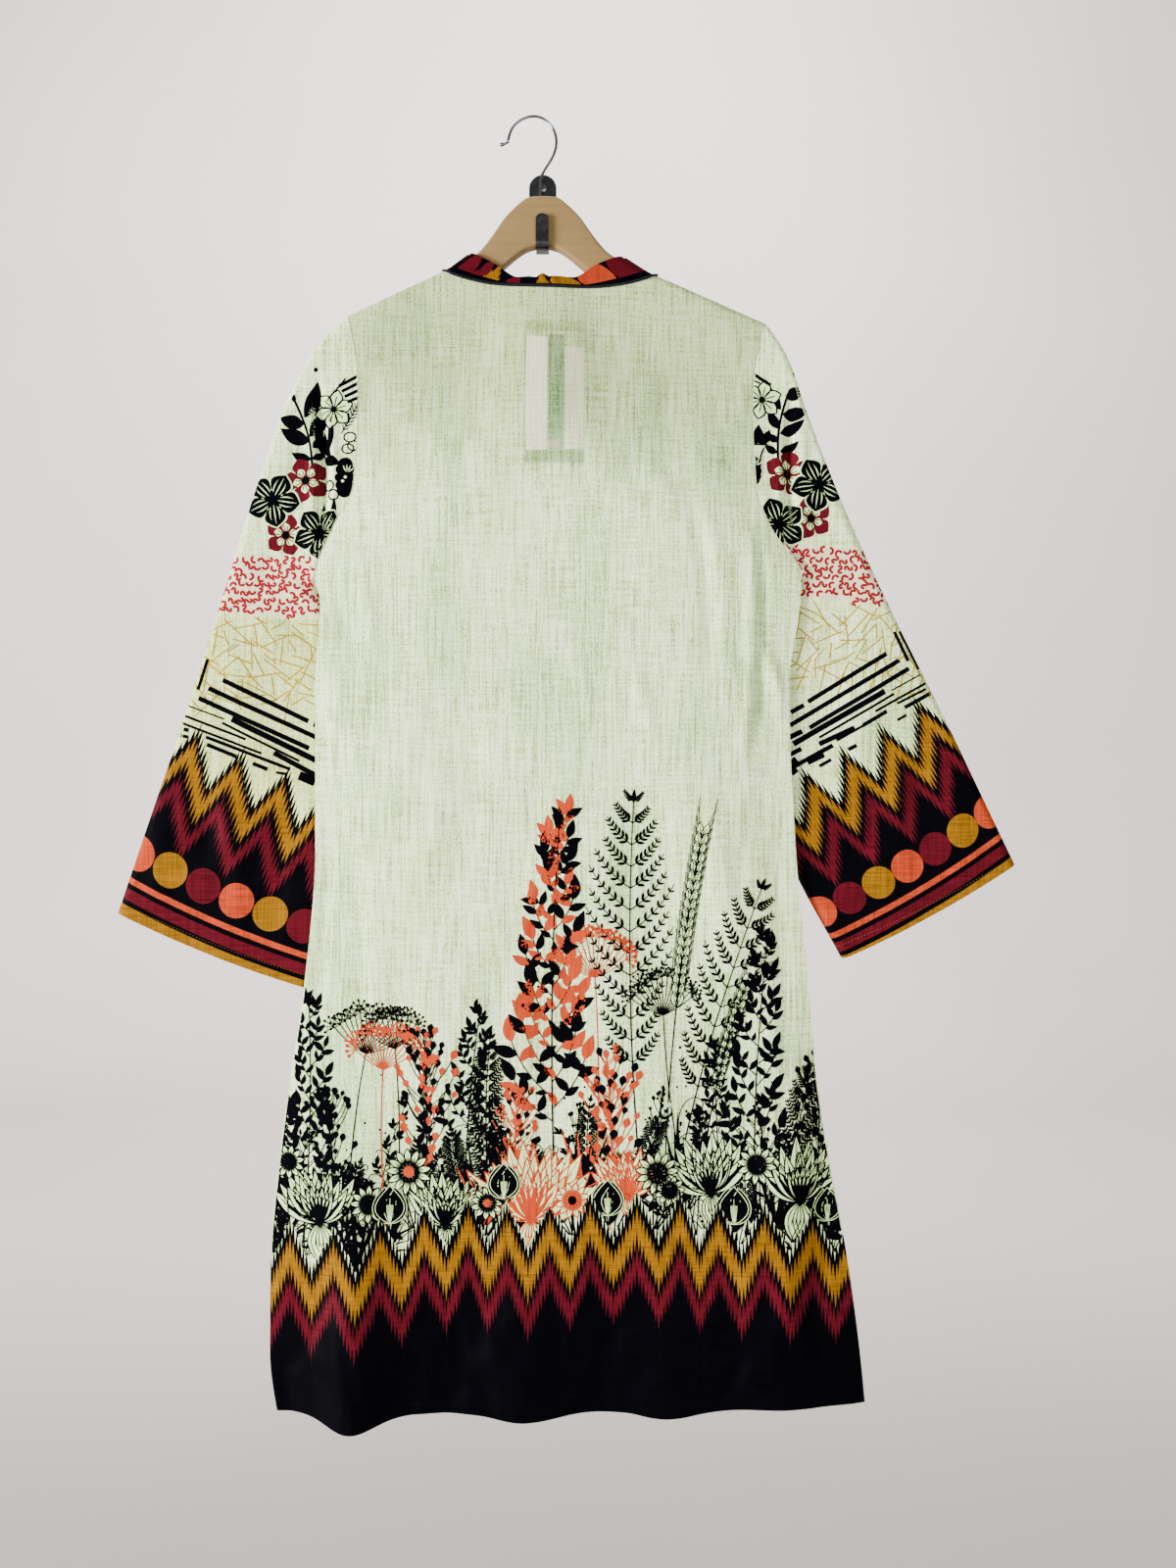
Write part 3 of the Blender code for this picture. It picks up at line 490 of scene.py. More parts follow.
# ---------------------------------------------------------------- small mathematics
def smooth(at, xs, ys):
    """Values of a monotone cubic through (xs, ys), with xs ascending, held level past its ends."""
    xs, ys = np.asarray(xs, float), np.asarray(ys, float)
    step = np.diff(xs)
    slope = np.diff(ys) / step
    product = slope[:-1] * slope[1:]
    mean = 2 * product / np.where(product > 0, slope[:-1] + slope[1:], 1)
    tangent = np.concatenate(([slope[0]], np.where(product > 0, mean, 0), [slope[-1]]))
    at = np.clip(at, xs[0], xs[-1])
    i = np.clip(np.searchsorted(xs, at, side="right") - 1, 0, len(step) - 1)
    t = (at - xs[i]) / step[i]
    return (
        ys[i] * (1 + 2 * t) * (1 - t) ** 2
        + step[i] * tangent[i] * t * (1 - t) ** 2
        + ys[i + 1] * t**2 * (3 - 2 * t)
        + step[i] * tangent[i + 1] * t**2 * (t - 1)
    )


def ease(t):
    """0 before 0, 1 after 1, with a smooth step between."""
    t = np.clip(t, 0, 1)
    return t * t * (3 - 2 * t)


def roll(depth, radius):
    """Share of a quarter circle's reach at a depth below its crest."""
    share = np.clip(depth / radius, 0, 1)
    return np.sqrt(1 - (1 - share) ** 2)


def unit(vectors):
    return vectors / np.maximum(np.linalg.norm(vectors, axis=-1, keepdims=True), 1e-12)


def toward(angle):
    """Unit steps in the drawing's plane at angles from its X."""
    return np.stack((np.cos(angle), np.sin(angle)), axis=-1)


def travelled(path):
    """How far along a path each of its points is."""
    return np.concatenate(([0], np.cumsum(np.linalg.norm(np.diff(path, axis=0), axis=1))))


def straight(ends, count):
    """Evenly spaced points from one end to the other."""
    return ends[0] + (ends[1] - ends[0]) * np.linspace(0, 1, count)[:, None]


def between(shares, low, high):
    """Which of a row of shares lie from low to high, both included."""
    return (shares > low - TINY) & (shares < high + TINY)


def cells(shares, low, high):
    """Which steps between neighbouring shares lie from low to high."""
    return (shares[:-1] > low - TINY) & (shares[:-1] < high - TINY)


def grid_normals(grid, closed=False):
    """Unit normals of a grid of points, from the differences along its rows and columns."""
    along = np.gradient(grid, axis=0)
    if closed:
        across = np.roll(grid, -1, axis=1) - np.roll(grid, 1, axis=1)
    else:
        across = np.gradient(grid, axis=1)
    return unit(np.cross(along, across))


def pressed(x, z, creases):
    """Sum of soft creases: each a bell across its bowed line, growing and dying away along it."""
    height = np.zeros(np.broadcast(x, z).shape)
    for x0, z0, x1, z1, bow, wide, crest in creases:
        length = math.hypot(x1 - x0, z1 - z0)
        ax, az = (x1 - x0) / length, (z1 - z0) / length
        s = ((x - x0) * ax + (z - z0) * az) / length
        inside = np.clip(s, 0, 1)
        q = (x - x0) * -az + (z - z0) * ax - bow * np.sin(math.pi * inside)
        height += crest * np.exp(-((q / wide) ** 2)) * np.sin(math.pi * inside) ** 0.8
    return height


def crumples(count, low, high, seed, strength):
    """Scattered small creases in a box, mostly upright, with seeded places and sizes."""
    rng = np.random.default_rng(seed)
    x = rng.uniform(low[0], high[0], count)
    z = rng.uniform(low[1], high[1], count)
    angle = rng.normal(math.pi / 2, 0.65, count)
    length = rng.uniform(0.025, 0.085, count)
    crest = rng.choice([-1, 1], count) * rng.uniform(0.25, 1.0, count) * strength
    wide = rng.uniform(0.006, 0.013, count)
    bow = rng.normal(0, 0.004, count)
    ends = np.stack((np.cos(angle), np.sin(angle))) * length / 2
    return np.stack((x - ends[0], z - ends[1], x + ends[0], z + ends[1], bow, wide, crest), axis=-1)


def seen(px, py, behind=SLEEVE_PLANE):
    """x and z of what the camera's image shows at px, py on a plane so far behind y = -0.040.

    A pixel there is PIXEL (1 + behind / PIXEL_DISTANCE) wide, and the image's middle is the camera's.
    """
    scale = PIXEL * (1 + behind / PIXEL_DISTANCE)
    return (np.asarray(px) - 600) * scale + CAMERA[0], (800 - np.asarray(py)) * scale + CAMERA[2]


HEM_SEEN = np.round(np.stack(seen(*HEM_TIPS.T, HEM_PLANE), axis=-1), 4)  # to a tenth of a millimetre
HEM_PEAKS = np.concatenate((HEM_TIPS_LEFT, HEM_SEEN, HEM_TIPS_RIGHT))


# ---------------------------------------------------------------- lines of the hanger and body
def arm_top(x):
    """Height of the hanger's top edge, above the middle of the garment out past its tips."""
    return smooth(np.abs(x), HANGER["out"], HANGER["top"]) + WOOD_TILT * x


def arm_low(x):
    """Height of the hanger's lower edge."""
    return smooth(np.abs(x), HANGER["out"], HANGER["low"]) + WOOD_TILT * x


def side_edge(height, column):
    """Where a side of the body, the left or the right column of SIDES, is at a height."""
    return smooth(-np.asarray(height, float), -SIDES["height"], SIDES[column])


def shoulder_point(column):
    """x and height where the shoulder line meets a side's armhole."""
    x = SIDES[column][0]
    for _ in range(8):
        x = float(side_edge(arm_top(x) + SHOULDER_LIFT, column))
    return x, float(arm_top(x)) + SHOULDER_LIFT


def fold_shapes(x, height):
    """Sums of the back's folds at a place: how far forward, and how far the hem drops."""
    forward = np.zeros(np.broadcast(x, height).shape)
    drop = np.zeros_like(forward)
    for fold in HEM_FOLDS:
        bump = np.exp(-(((x - fold["x"]) / fold["half"]) ** 2) * 2)
        grown = ease((fold["end"] - height) / (fold["end"] - HEM))
        forward += fold["depth"] * bump * grown
        drop += fold["drop"] * bump
    return forward, drop


def body_depth(x, height, left, right, front):
    """y of the body's middle surface where its side edges are at left and right."""
    below = arm_top(x) + SHOULDER_LIFT - height
    chest = ease((below - ARM_ROOM) / CHEST_DROP)
    from_side = np.minimum(x - left, right - x)
    width = right - left
    slit = ease((SLIT_TOP - height) / (SLIT_TOP - HEM))
    half_gap = (CLOTH + SEAM_GAP) / 2
    if front:
        shoulder = WOOD_Y + FRONT_ROLL
        middle = shoulder - FRONT_MIDDLE
        edge = SIDE_DEPTH + half_gap + SLIT_FRONT * slit
        room = 1 - ease((from_side - SLEEVE_ROOM) / SLEEVE_EASE)
        full = edge * room + middle * (1 - room)
        return WOOD_Y + FRONT_ROLL * roll(below, FRONT_ROLL) + (full - shoulder) * chest
    shoulder = WOOD_Y - BACK_ROLL
    edge = SIDE_DEPTH - half_gap - SLIT_BACK * slit
    crown = 1 - np.abs(2 * from_side / width - 1) ** 4
    full = edge - BACK_CROWN * crown
    fold = fold_shapes(x, height)[0] * ease(from_side / (3 * CLOTH + 0.02))
    return WOOD_Y - BACK_ROLL * roll(below, BACK_ROLL) + (full - shoulder) * chest - fold


def neckline(share, front):
    """x and height of the neckline at a share of its way from the left to the right shoulder."""
    x = NECK_LEFT + share * (NECK_RIGHT - NECK_LEFT)
    ends = [arm_top(e) + SHOULDER_LIFT for e in (NECK_LEFT, NECK_RIGHT)]
    chord = ends[0] + share * (ends[1] - ends[0])
    drop, power = (FRONT_NECK_DROP, 2.2) if front else (BACK_NECK_DROP, 3.0)
    return x, chord - drop * (1 - np.abs(2 * share - 1) ** power)


def body_form(front):
    """A panel's middle surface as a grid, with its outward normals, rows and neck columns.

    Rows run from the shoulders and neckline down to the hem, and columns from side to side. A
    column keeps its share of the width, and a row its share of the way down each side.
    """
    left_top, right_top = shoulder_point("left")[0], shoulder_point("right")[0]
    near, inner = np.array([0, 0.0004, 0.0011, 0.0025]), 0.0055  # columns crowd at the side seams
    left_x = np.concatenate((left_top + near, np.linspace(left_top + inner, NECK_LEFT, 26)[:-1]))
    right_x = np.concatenate((np.linspace(NECK_RIGHT, right_top - inner, 31)[1:], right_top - near[::-1]))
    neck_share = (np.linspace(0, 1, 67), (0.004, 0.996), SLIT_SHARES, PLACKET_SHARES)
    neck_share = np.unique(np.concatenate(neck_share))
    neck_x, neck_z = neckline(neck_share, front)
    top_x = np.concatenate((left_x, neck_x, right_x))
    top_z = np.concatenate((arm_top(left_x) + SHOULDER_LIFT, neck_z, arm_top(right_x) + SHOULDER_LIFT))
    neck = slice(len(left_x), len(left_x) + len(neck_x))
    share = (top_x - left_top) / (right_top - left_top)

    hole = (np.linspace(0, 1, 84) ** 1.6, (PLACKET_TOP, SLIT_BOTTOM, PLACKET_BOTTOM))
    hole = np.unique(np.concatenate(hole))
    seam = np.linspace(0, 1, 176)[1:]
    heights = []
    for end in (0, -1):
        armhole = top_z[end] + hole * (UNDERARM - top_z[end])
        side = UNDERARM + seam * (HEM + HEM_RISE * (end == -1) - UNDERARM)
        heights.append(np.concatenate((armhole, side)))
    left = side_edge(heights[0], "left")[:, None]
    right = side_edge(heights[1], "right")[:, None]
    x = left + share * (right - left)
    travel = [(h - h[0]) / (h[-1] - h[0]) for h in heights]
    down = travel[0][:, None] * (1 - share) + travel[1][:, None] * share
    hem = HEM + HEM_RISE * share - fold_shapes(x[-1], HEM)[1] * (not front)
    z = top_z + down * (hem - top_z)

    outward = 1 if front else -1
    from_side = np.minimum(x - left, right - x)
    below = arm_top(x) + SHOULDER_LIFT - z
    fade = ease(from_side / 0.014) * (0.12 + 0.88 * ease((below - 0.045) / 0.05)) * ease(below / 0.02)
    fade *= ease((top_z - z) / 0.022)
    creases = FRONT_CREASES if front else BACK_CREASES
    small = crumples(CRUMPLES, (-0.25, -1.17), (0.28, -0.16), 11 + front, 0.0007)
    hem_dents = crumples(HEM_CRUMPLES, (-0.27, -1.18), (0.30, -1.06), 41 + front, 0.0011)
    height = pressed(x, z, creases) + pressed(x, z, small) + pressed(x, z, hem_dents)
    height += 0.0007 * np.sin(x * 41 + 1.7 * np.sin(z * 9)) * ease(-(z + 0.42) / 0.2)
    strength, lowest, highest = BODY_PRESS
    height = np.clip(strength * height, lowest, highest) * fade
    y = body_depth(x, z, left, right, front) + outward * height
    grid = np.stack((x, y, z), axis=-1)
    normals = grid_normals(grid)
    normals *= np.sign((normals[..., 1] * outward).mean())
    shoulders = np.r_[0 : neck.start + 1, neck.stop - 1 : grid.shape[1]]
    grid[0, shoulders, 1] += SEAM_GAP / 2 * outward
    normals[0, shoulders, 1] = 0
    for edge in (0, -1):
        normals[len(hole) - 1 :, edge] = (0, outward, 0)
    normals = unit(normals)
    rows = np.concatenate((hole, 1 + seam))
    return {"grid": grid, "normals": normals, "rows": rows, "neck": neck, "neck_share": neck_share}


def sleeve_form(column):
    """A sleeve's middle surface as a closed grid, with its normals, ring numbers and shares.

    Rings fan out from the armhole's loop and then cross the sleeve. A ring runs from the
    shoulder fold over the outer half to the underarm fold, and back behind.
    """
    table = SLEEVES[column]
    side = -1 if column == "left" else 1
    at = np.concatenate((np.linspace(0, 1, 28)[:-1], np.linspace(1, 8, 112)))
    ring = {key: smooth(at, np.arange(len(table)), table[key])[:, None] for key in table.dtype.names}
    half = np.linspace(0, 1, 66)
    half = 0.55 * half + 0.45 * (1 - np.cos(math.pi * half)) / 2
    share = np.concatenate((half, half[-2:0:-1]))
    behind = np.arange(len(share)) >= len(half)
    top = shoulder_point(column)[1]
    hole_z = top + share * (UNDERARM - top)
    left, right = side_edge(hole_z, "left"), side_edge(hole_z, "right")
    hole_x = left if column == "left" else right
    depths = [body_depth(hole_x, hole_z, left, right, front) for front in (True, False)]
    hole_y = np.where(behind, *depths)
    hole_y[len(half) - 1] = SIDE_DEPTH
    slope = np.gradient(hole_x[: len(half)], hole_z[: len(half)])
    slope = np.concatenate((slope, slope[-2:0:-1]))
    hole_x = hole_x + side * ARMHOLE_GAP / np.hypot(1, slope)
    hole_z = hole_z - side * slope * ARMHOLE_GAP / np.hypot(1, slope)

    free = ring["free"]
    weight = (1 - share) ** (1 + CAP_SPREAD * (1 - free))
    x = ring["out_x"] * weight + ring["in_x"] * (1 - weight)
    z = ring["out_z"] * weight + ring["in_z"] * (1 - weight)
    first_x = table["out_x"][0] * weight + table["in_x"][0] * (1 - weight)
    first_z = table["out_z"][0] * weight + table["in_z"][0] * (1 - weight)
    x = x + (1 - free) * (hole_x - first_x)
    z = z + (1 - free) * (hole_z - first_z)
    z = z - CUFF_BOW * 4 * share * (1 - share) * ease((at[:, None] - 4.5) / 3.5)
    span = np.hypot(ring["out_x"] - ring["in_x"], ring["out_z"] - ring["in_z"])
    round_ends = roll(share * span, FOLD_ROUND) * roll((1 - share) * span, FOLD_ROUND)
    facing = np.where(behind, 1, -1)
    tube_y = SLEEVE_Y + facing * SLEEVE_HALF * round_ends
    y = hole_y * (1 - ease(free)) + tube_y * ease(free)
    tuck, height, spread = UNDERARM_TUCK
    tuck = tuck * share**3 * np.exp(-(((z - height) / spread) ** 2))
    x = x - side * tuck * ease(at[:, None] / 0.5)

    low, high = (x.min(), -0.2) if side < 0 else (0.21, 0.47)
    small = crumples(SLEEVE_CRUMPLES, (low, -0.76), (high, -0.15), 23, 0.0008)
    height = pressed(x, z, SLEEVE_CREASES[column]) + pressed(x, z, small)
    height *= ease(np.minimum(share, 1 - share) * span / 0.016) * ease(at[:, None] / 1.2)
    strength, lowest, highest = SLEEVE_PRESS
    y = y + facing * np.where(behind, 0.6, 1.0) * np.clip(strength * height, lowest, highest)
    grid = np.stack((x, y, z), axis=-1)
    normals = grid_normals(grid, True)
    normals *= np.sign((normals[60, :60, 1] * -1).mean())
    return {"grid": grid, "normals": normals, "rings": at, "share": share, "half": len(half)}


def neck_row(form):
    """A neckline's shares, points, normals and ways down the panel."""
    grid, normals, neck = form["grid"], form["normals"], form["neck"]
    points, turned = grid[0, neck].copy(), normals[0, neck]
    return form["neck_share"], points, turned, unit(grid[3, neck] - grid[0, neck])


def band_top(share, front, base):
    """x and height of the band's top edge over a point of the neckline."""
    across = COLLAR_BACK_LEFT + share * (COLLAR_BACK_RIGHT - COLLAR_BACK_LEFT)
    if not front:
        return across, smooth(share, COLLAR_BACK_TOP["share"], COLLAR_BACK_TOP["height"])
    ends = np.interp(share, (0, 1), COLLAR_BACK_TOP["height"][[0, -1]])
    shoulder = np.interp(share, (0, 1), base[[0, -1], 2])
    from_side = ease(np.minimum(share, 1 - share) / 0.3)
    side_z = base[:, 2] + (ends - shoulder)
    x = across * (1 - from_side) + base[:, 0] * from_side
    return x, side_z * (1 - from_side) + (base[:, 2] + COLLAR_FRONT_HEIGHT) * from_side


def band_side(form, front):
    """The band over one panel's neckline: rows from its top edge down to the seam.

    It rolls with the shoulder below it, a little freer of the wood towards its top. On the back
    it is crumpled near the middle, where the cloth folds on itself.
    """
    share, base, turned, down = neck_row(form)
    top_x, top_z = band_top(share, front, base)
    length = np.hypot(top_x - base[:, 0], top_z - base[:, 2])
    reach = FRONT_ROLL if front else BACK_ROLL
    sign = 1 if front else -1
    below = arm_top(base[:, 0]) + SHOULDER_LIFT - base[:, 2]
    further = base[:, 1] - (WOOD_Y + sign * reach * roll(below, reach))
    further[[0, -1]] = 0
    up = np.linspace(1, 0, 15)[:, None]
    at = (COLLAR_LIFT + up * (length - COLLAR_LIFT)) / length
    x = base[:, 0] + at * (top_x - base[:, 0])
    z = base[:, 2] + at * (top_z - base[:, 2])
    free = COLLAR_EASE[front] * up
    below = arm_top(x) + SHOULDER_LIFT + free - z
    y = WOOD_Y + sign * (reach + free) * roll(below, reach + free) + further
    if not front:
        crush = np.exp(-(((base[:, 0] - 0.002) / 0.017) ** 2)) * ease(up / 0.7)
        wave = np.sin((x - 0.0006) * 560 + up * 2.2)
        y -= crush * (0.0012 + 0.0014 * wave)
        z += crush * up * (0.0016 * np.sin((x + 0.004) * 330) - 0.0008)
    return share, {"base": base, "turned": turned, "down": down, "band": np.stack((x, y, z), axis=-1)}


# ---------------------------------------------------------------- meshes
def put_mesh(name, points, faces, materials, sharp, coordinates=None, inks=None, turn=True):
    """A mesh object at the origin from points and arrays of faces, one array for each face size.

    Edges over sharp degrees stay sharp, unless it is 0. coordinates is a point's place on the
    cloth for the piece's own UV map, and inks a material number for each face.
    """
    points = np.asarray(points, np.float32)
    corners = np.concatenate([np.asarray(f).ravel() for f in faces]).astype(np.int32)
    sizes = np.concatenate([np.full(len(f), np.asarray(f).shape[1]) for f in faces])
    starts = np.concatenate(([0], np.cumsum(sizes)[:-1])).astype(np.int32)
    mesh = bpy.data.meshes.new(name)
    mesh.vertices.add(len(points))
    mesh.vertices.foreach_set("co", points.ravel())
    mesh.loops.add(len(corners))
    mesh.loops.foreach_set("vertex_index", corners)
    mesh.polygons.add(len(sizes))
    mesh.polygons.foreach_set("loop_start", starts)
    if inks is not None:
        mesh.polygons.foreach_set("material_index", np.asarray(inks, np.int32))
    mesh.update(calc_edges=True)
    if coordinates is not None:
        cloth = mesh.uv_layers.new(name="Cloth")
        cloth.data.foreach_set("uv", np.asarray(coordinates, np.float32)[corners].ravel())
    mesh.validate()
    if turn:
        shape = bmesh.new()
        shape.from_mesh(mesh)
        bmesh.ops.recalc_face_normals(shape, faces=shape.faces)
        shape.to_mesh(mesh)
        shape.free()
    for finish in materials:
        mesh.materials.append(finish)
    mesh.shade_smooth()
    if sharp:
        mesh.set_sharp_from_angle(angle=math.radians(sharp))
    piece = bpy.data.objects.new(name, mesh)
    bpy.context.scene.collection.objects.link(piece)
    return piece


def grid_faces(rows, columns, closed=False, left_out=None):
    """Quads of a grid of points, its last column joined to its first if it is closed."""
    index = np.arange(rows * columns).reshape(rows, columns)
    if closed:
        index = np.concatenate((index, index[:, :1]), axis=1)
    quads = np.stack((index[:-1, :-1], index[1:, :-1], index[1:, 1:], index[:-1, 1:]), axis=-1)
    if left_out is not None:
        quads = quads[~left_out]
    return quads.reshape(-1, 4)


def cloth_shell(name, outer, inner, coordinates, finish, closed=False, left_out=None):
    """A thin closed shell between two grids of points, joined along every open edge."""
    rows, columns = outer.shape[:2]
    count = rows * columns
    quads = grid_faces(rows, columns, closed, left_out)
    edges = np.stack((quads, np.roll(quads, -1, axis=1)), axis=-1).reshape(-1, 2)
    lone = edges[~np.isin(edges[:, 1] * count + edges[:, 0], edges[:, 0] * count + edges[:, 1])]
    rim = np.stack((lone[:, 1], lone[:, 0], lone[:, 0] + count, lone[:, 1] + count), axis=-1)
    faces = np.concatenate((quads, quads[:, ::-1] + count, rim))
    used, faces = np.unique(faces, return_inverse=True)
    points = np.concatenate((outer.reshape(-1, 3), inner.reshape(-1, 3)))[used]
    places = np.concatenate((coordinates.reshape(-1, 2),) * 2)[used]
    return put_mesh(name, points, [faces.reshape(-1, 4)], [finish], 50, places)


def swept(name, rings, finish, sharp=35):
    """A solid through rings of points, each with as many points, capped at both ends by fans.

    rings is sections by sides by 3.
    """
    sections, sides = rings.shape[:2]
    turn = np.arange(sides)
    after = (turn + 1) % sides
    middle = sections * sides
    far = middle - sides
    faces = [
        grid_faces(sections, sides, True),
        np.stack((np.full(sides, middle), turn, after), axis=-1),
        np.stack((np.full(sides, middle + 1), far + after, far + turn), axis=-1),
    ]
    points = np.concatenate((rings.reshape(-1, 3), rings[[0, -1]].mean(axis=1)))
    return put_mesh(name, points, faces, [finish], sharp)


def place(piece, *nodes, slot=None):
    """Rides a finished piece on the body, and lets it stand for its nodes."""
    if piece is None or not piece.data.polygons:
        raise RuntimeError("a piece came out empty")
    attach(piece, ROOT)
    if nodes:
        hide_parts(*nodes)
    return piece


# ---------------------------------------------------------------- nodes
def add(tree, kind, inputs=None, stops=None, **settings):
    """Adds a node with its settings, its inputs as values, sockets or nodes, and a ramp's stops."""
    node = tree.nodes.new(kind)
    for key, value in settings.items():
        setattr(node, key, value)
    for key, value in (inputs or {}).items():
        if isinstance(value, bpy.types.Node):
            value = next(socket for socket in value.outputs if socket.enabled)
        if isinstance(value, bpy.types.NodeSocket):
            tree.links.new(value, node.inputs[key])
        else:
            node.inputs[key].default_value = value
    if stops:
        ramp = node.color_ramp.elements
        for _ in range(len(stops) - 2):
            ramp.new(0.5)
        for element, (position, value) in zip(ramp, stops):
            element.position = position
            element.color = value
    return node


def sums(tree, operation, *values):
    """One sum of arithmetic on up to three values."""
    return add(tree, "ShaderNodeMath", dict(enumerate(values)), operation=operation)


def offset(tree, value, middle, scale):
    """How far a value is past a middle, times a scale."""
    return sums(tree, "MULTIPLY", sums(tree, "SUBTRACT", value, middle), scale)


def away_from(tree, value, middle):
    """How far a value is from a middle, to either side."""
    return sums(tree, "ABSOLUTE", sums(tree, "SUBTRACT", value, middle))


def distance(tree, first, second):
    """Square root of the sum of two squares."""
    squares = [sums(tree, "MULTIPLY", part, part) for part in (first, second)]
    return sums(tree, "SQRT", sums(tree, "ADD", *squares))


def ranged(tree, value, low, high, to_low=0.0, to_high=1.0, kind="LINEAR"):
    """A value moved from between low and high to between to_low and to_high, and held there."""
    return add(
        tree,
        "ShaderNodeMapRange",
        {"Value": value, 1: low, 2: high, 3: to_low, 4: to_high},
        interpolation_type=kind,
    )


def object_point(tree):
    """A point's place in metres."""
    return add(tree, "ShaderNodeTexCoord").outputs["Object"]


def split(tree, vector):
    """A vector's parts, as outputs X, Y and Z."""
    return add(tree, "ShaderNodeSeparateXYZ", {"Vector": vector}).outputs


def cloth_place(tree):
    """A point's place along and across its cloth, from the piece's own UV map."""
    parts = split(tree, add(tree, "ShaderNodeUVMap", uv_map="Cloth"))
    return parts["X"], parts["Y"]


def noise(tree, point, scale, detail=2.0, rough=0.5, twist=0.0):
    """Noise at a scale: one number, or one for each axis to draw it out."""
    if isinstance(scale, tuple):
        point = add(tree, "ShaderNodeMapping", {"Vector": point, "Scale": scale})
        scale = 1.0
    return add(
        tree,
        "ShaderNodeTexNoise",
        {"Vector": point, "Scale": scale, "Detail": detail, "Roughness": rough, "Distortion": twist},
    )


def stepped(tree, factor, stops):
    """Colour and alpha of a ramp without blending: each stop's colour holds up to the next."""
    ramp = add(tree, "ShaderNodeValToRGB", {"Fac": factor}, stops=stops)
    ramp.color_ramp.interpolation = "CONSTANT"
    return ramp.outputs["Color"], ramp.outputs["Alpha"]


def blend_colours(tree, factor, first, second, kind="MIX"):
    return add(tree, "ShaderNodeMix", {0: factor, 6: first, 7: second}, data_type="RGBA", blend_type=kind)


def material(name, sockets):
    """A new material, with numbers that are the same all over set on its shader's own sockets."""
    made = bpy.data.materials.new(name)
    made.use_nodes = True
    tree = made.node_tree
    shader = tree.nodes["Principled BSDF"]
    for socket, value in sockets.items():
        shader.inputs[socket].default_value = value
    return made, tree, shader


def paint(tree, shader, mixed):
    """Links a mixed colour to a shader."""
    tree.links.new(mixed.outputs[2], shader.inputs["Base Color"])


def colours():
    return bpy.context.scene.kurta_colours


def sizes():
    return bpy.context.scene.kurta_sizes


def tone(name):
    """A user's colour as four numbers."""
    return tuple(getattr(colours(), name))


CLEAR = (0, 0, 0, 0)  # where a print has no ink
COTTON = {
    # plain-woven cotton: matte, with next to no gloss of its own
    "Roughness": 0.86,
    "Specular IOR Level": 0.015,
    "IOR": 1.47,
}


def slub_ground(tree):
    """Ground of slub cotton, its relief and its points: threads that swell and thin.

    Upright threads are noise drawn out over slub length by thread spacing, level ones the same
    turned, and faint broad patches are where the layer behind shows through.
    """
    point = object_point(tree)
    thread, slub = 1 / sizes().thread, 1 / sizes().slub
    fuzz = noise(tree, point, (thread * 1.2, 3, thread * 0.7), 1.0)
    warp = noise(tree, point, (thread, 3, slub), 3.0, 0.6)
    weft = noise(tree, point, (slub * 1.5, 3, thread), 3.0, 0.6)
    broad = noise(tree, point, (13, 3, 5), 3.0, 0.55)
    upright = sums(tree, "MULTIPLY_ADD", fuzz, 0.55, warp)
    level = sums(tree, "ADD", weft, sums(tree, "MULTIPLY", broad, 0.30))
    ground = tone("cream")
    for value, low, high, strength, name in (
        (upright, 0.80, 0.58, 0.85, "shade"),
        (level, 0.62, 0.47, 0.38, "shade"),
        (upright, 0.78, 0.98, 0.90, "pale"),
        (level, 0.66, 0.82, 0.65, "pale"),
    ):
        ground = blend_colours(tree, ranged(tree, value, low, high, 0.0, strength), ground, tone(name))
    white = linear("FFFFFF")
    stops = [(0.36, linear("E6EEEA")), (0.48, white), (0.56, white), (0.70, linear("F2EED6"))]
    patch = add(tree, "ShaderNodeValToRGB", {"Fac": broad}, stops=stops)
    ground = blend_colours(tree, 0.8, ground, patch, "MULTIPLY")
    relief = sums(tree, "ADD", sums(tree, "MULTIPLY", warp, 0.6), sums(tree, "MULTIPLY", weft, 0.6))
    return ground, relief, point


def flame_layers(tree, along, down, layers, valley):
    """Colour and cover of the flame border: even layers under a toothed zigzag edge.

    along counts zigzag periods and down is the depth below its tips. The edge falls by the wave
    height from a tip to the valley, which lies at a share of the period, and narrow teeth are
    added to it with a little noise, as on warps that were dyed before weaving.
    """
    period = sums(tree, "FLOORED_MODULO", along, 1.0)
    falling = sums(tree, "DIVIDE", period, valley)
    rising = sums(tree, "DIVIDE", sums(tree, "SUBTRACT", 1.0, period), 1 - valley)
    wave = sums(tree, "MULTIPLY", sums(tree, "MINIMUM", falling, rising), WAVE_HEIGHT)
    count = sums(tree, "MULTIPLY", along, float(TEETH))
    tooth = sums(tree, "PINGPONG", count, 0.5)
    thread = sums(tree, "ROUND", count)
    uneven = add(tree, "ShaderNodeTexWhiteNoise", {"W": thread}, noise_dimensions="1D").outputs["Value"]
    teeth = sums(tree, "MULTIPLY", tooth, sums(tree, "MULTIPLY_ADD", uneven, TOOTH, TOOTH * 1.5))
    depth = sums(tree, "SUBTRACT", sums(tree, "SUBTRACT", down, wave), teeth)
    depth = sums(tree, "ADD", depth, TOOTH * 0.4)
    first = 0.05
    share = sums(tree, "MULTIPLY_ADD", depth, FLAME_RAMP, first)
    names = ("ink", "mustard", "ink", "maroon", "ink")
    stops = [(at * FLAME_RAMP + first, tone(name)) for at, name in zip(layers, names)]
    return stepped(tree, share, [(0.0, CLEAR)] + stops)


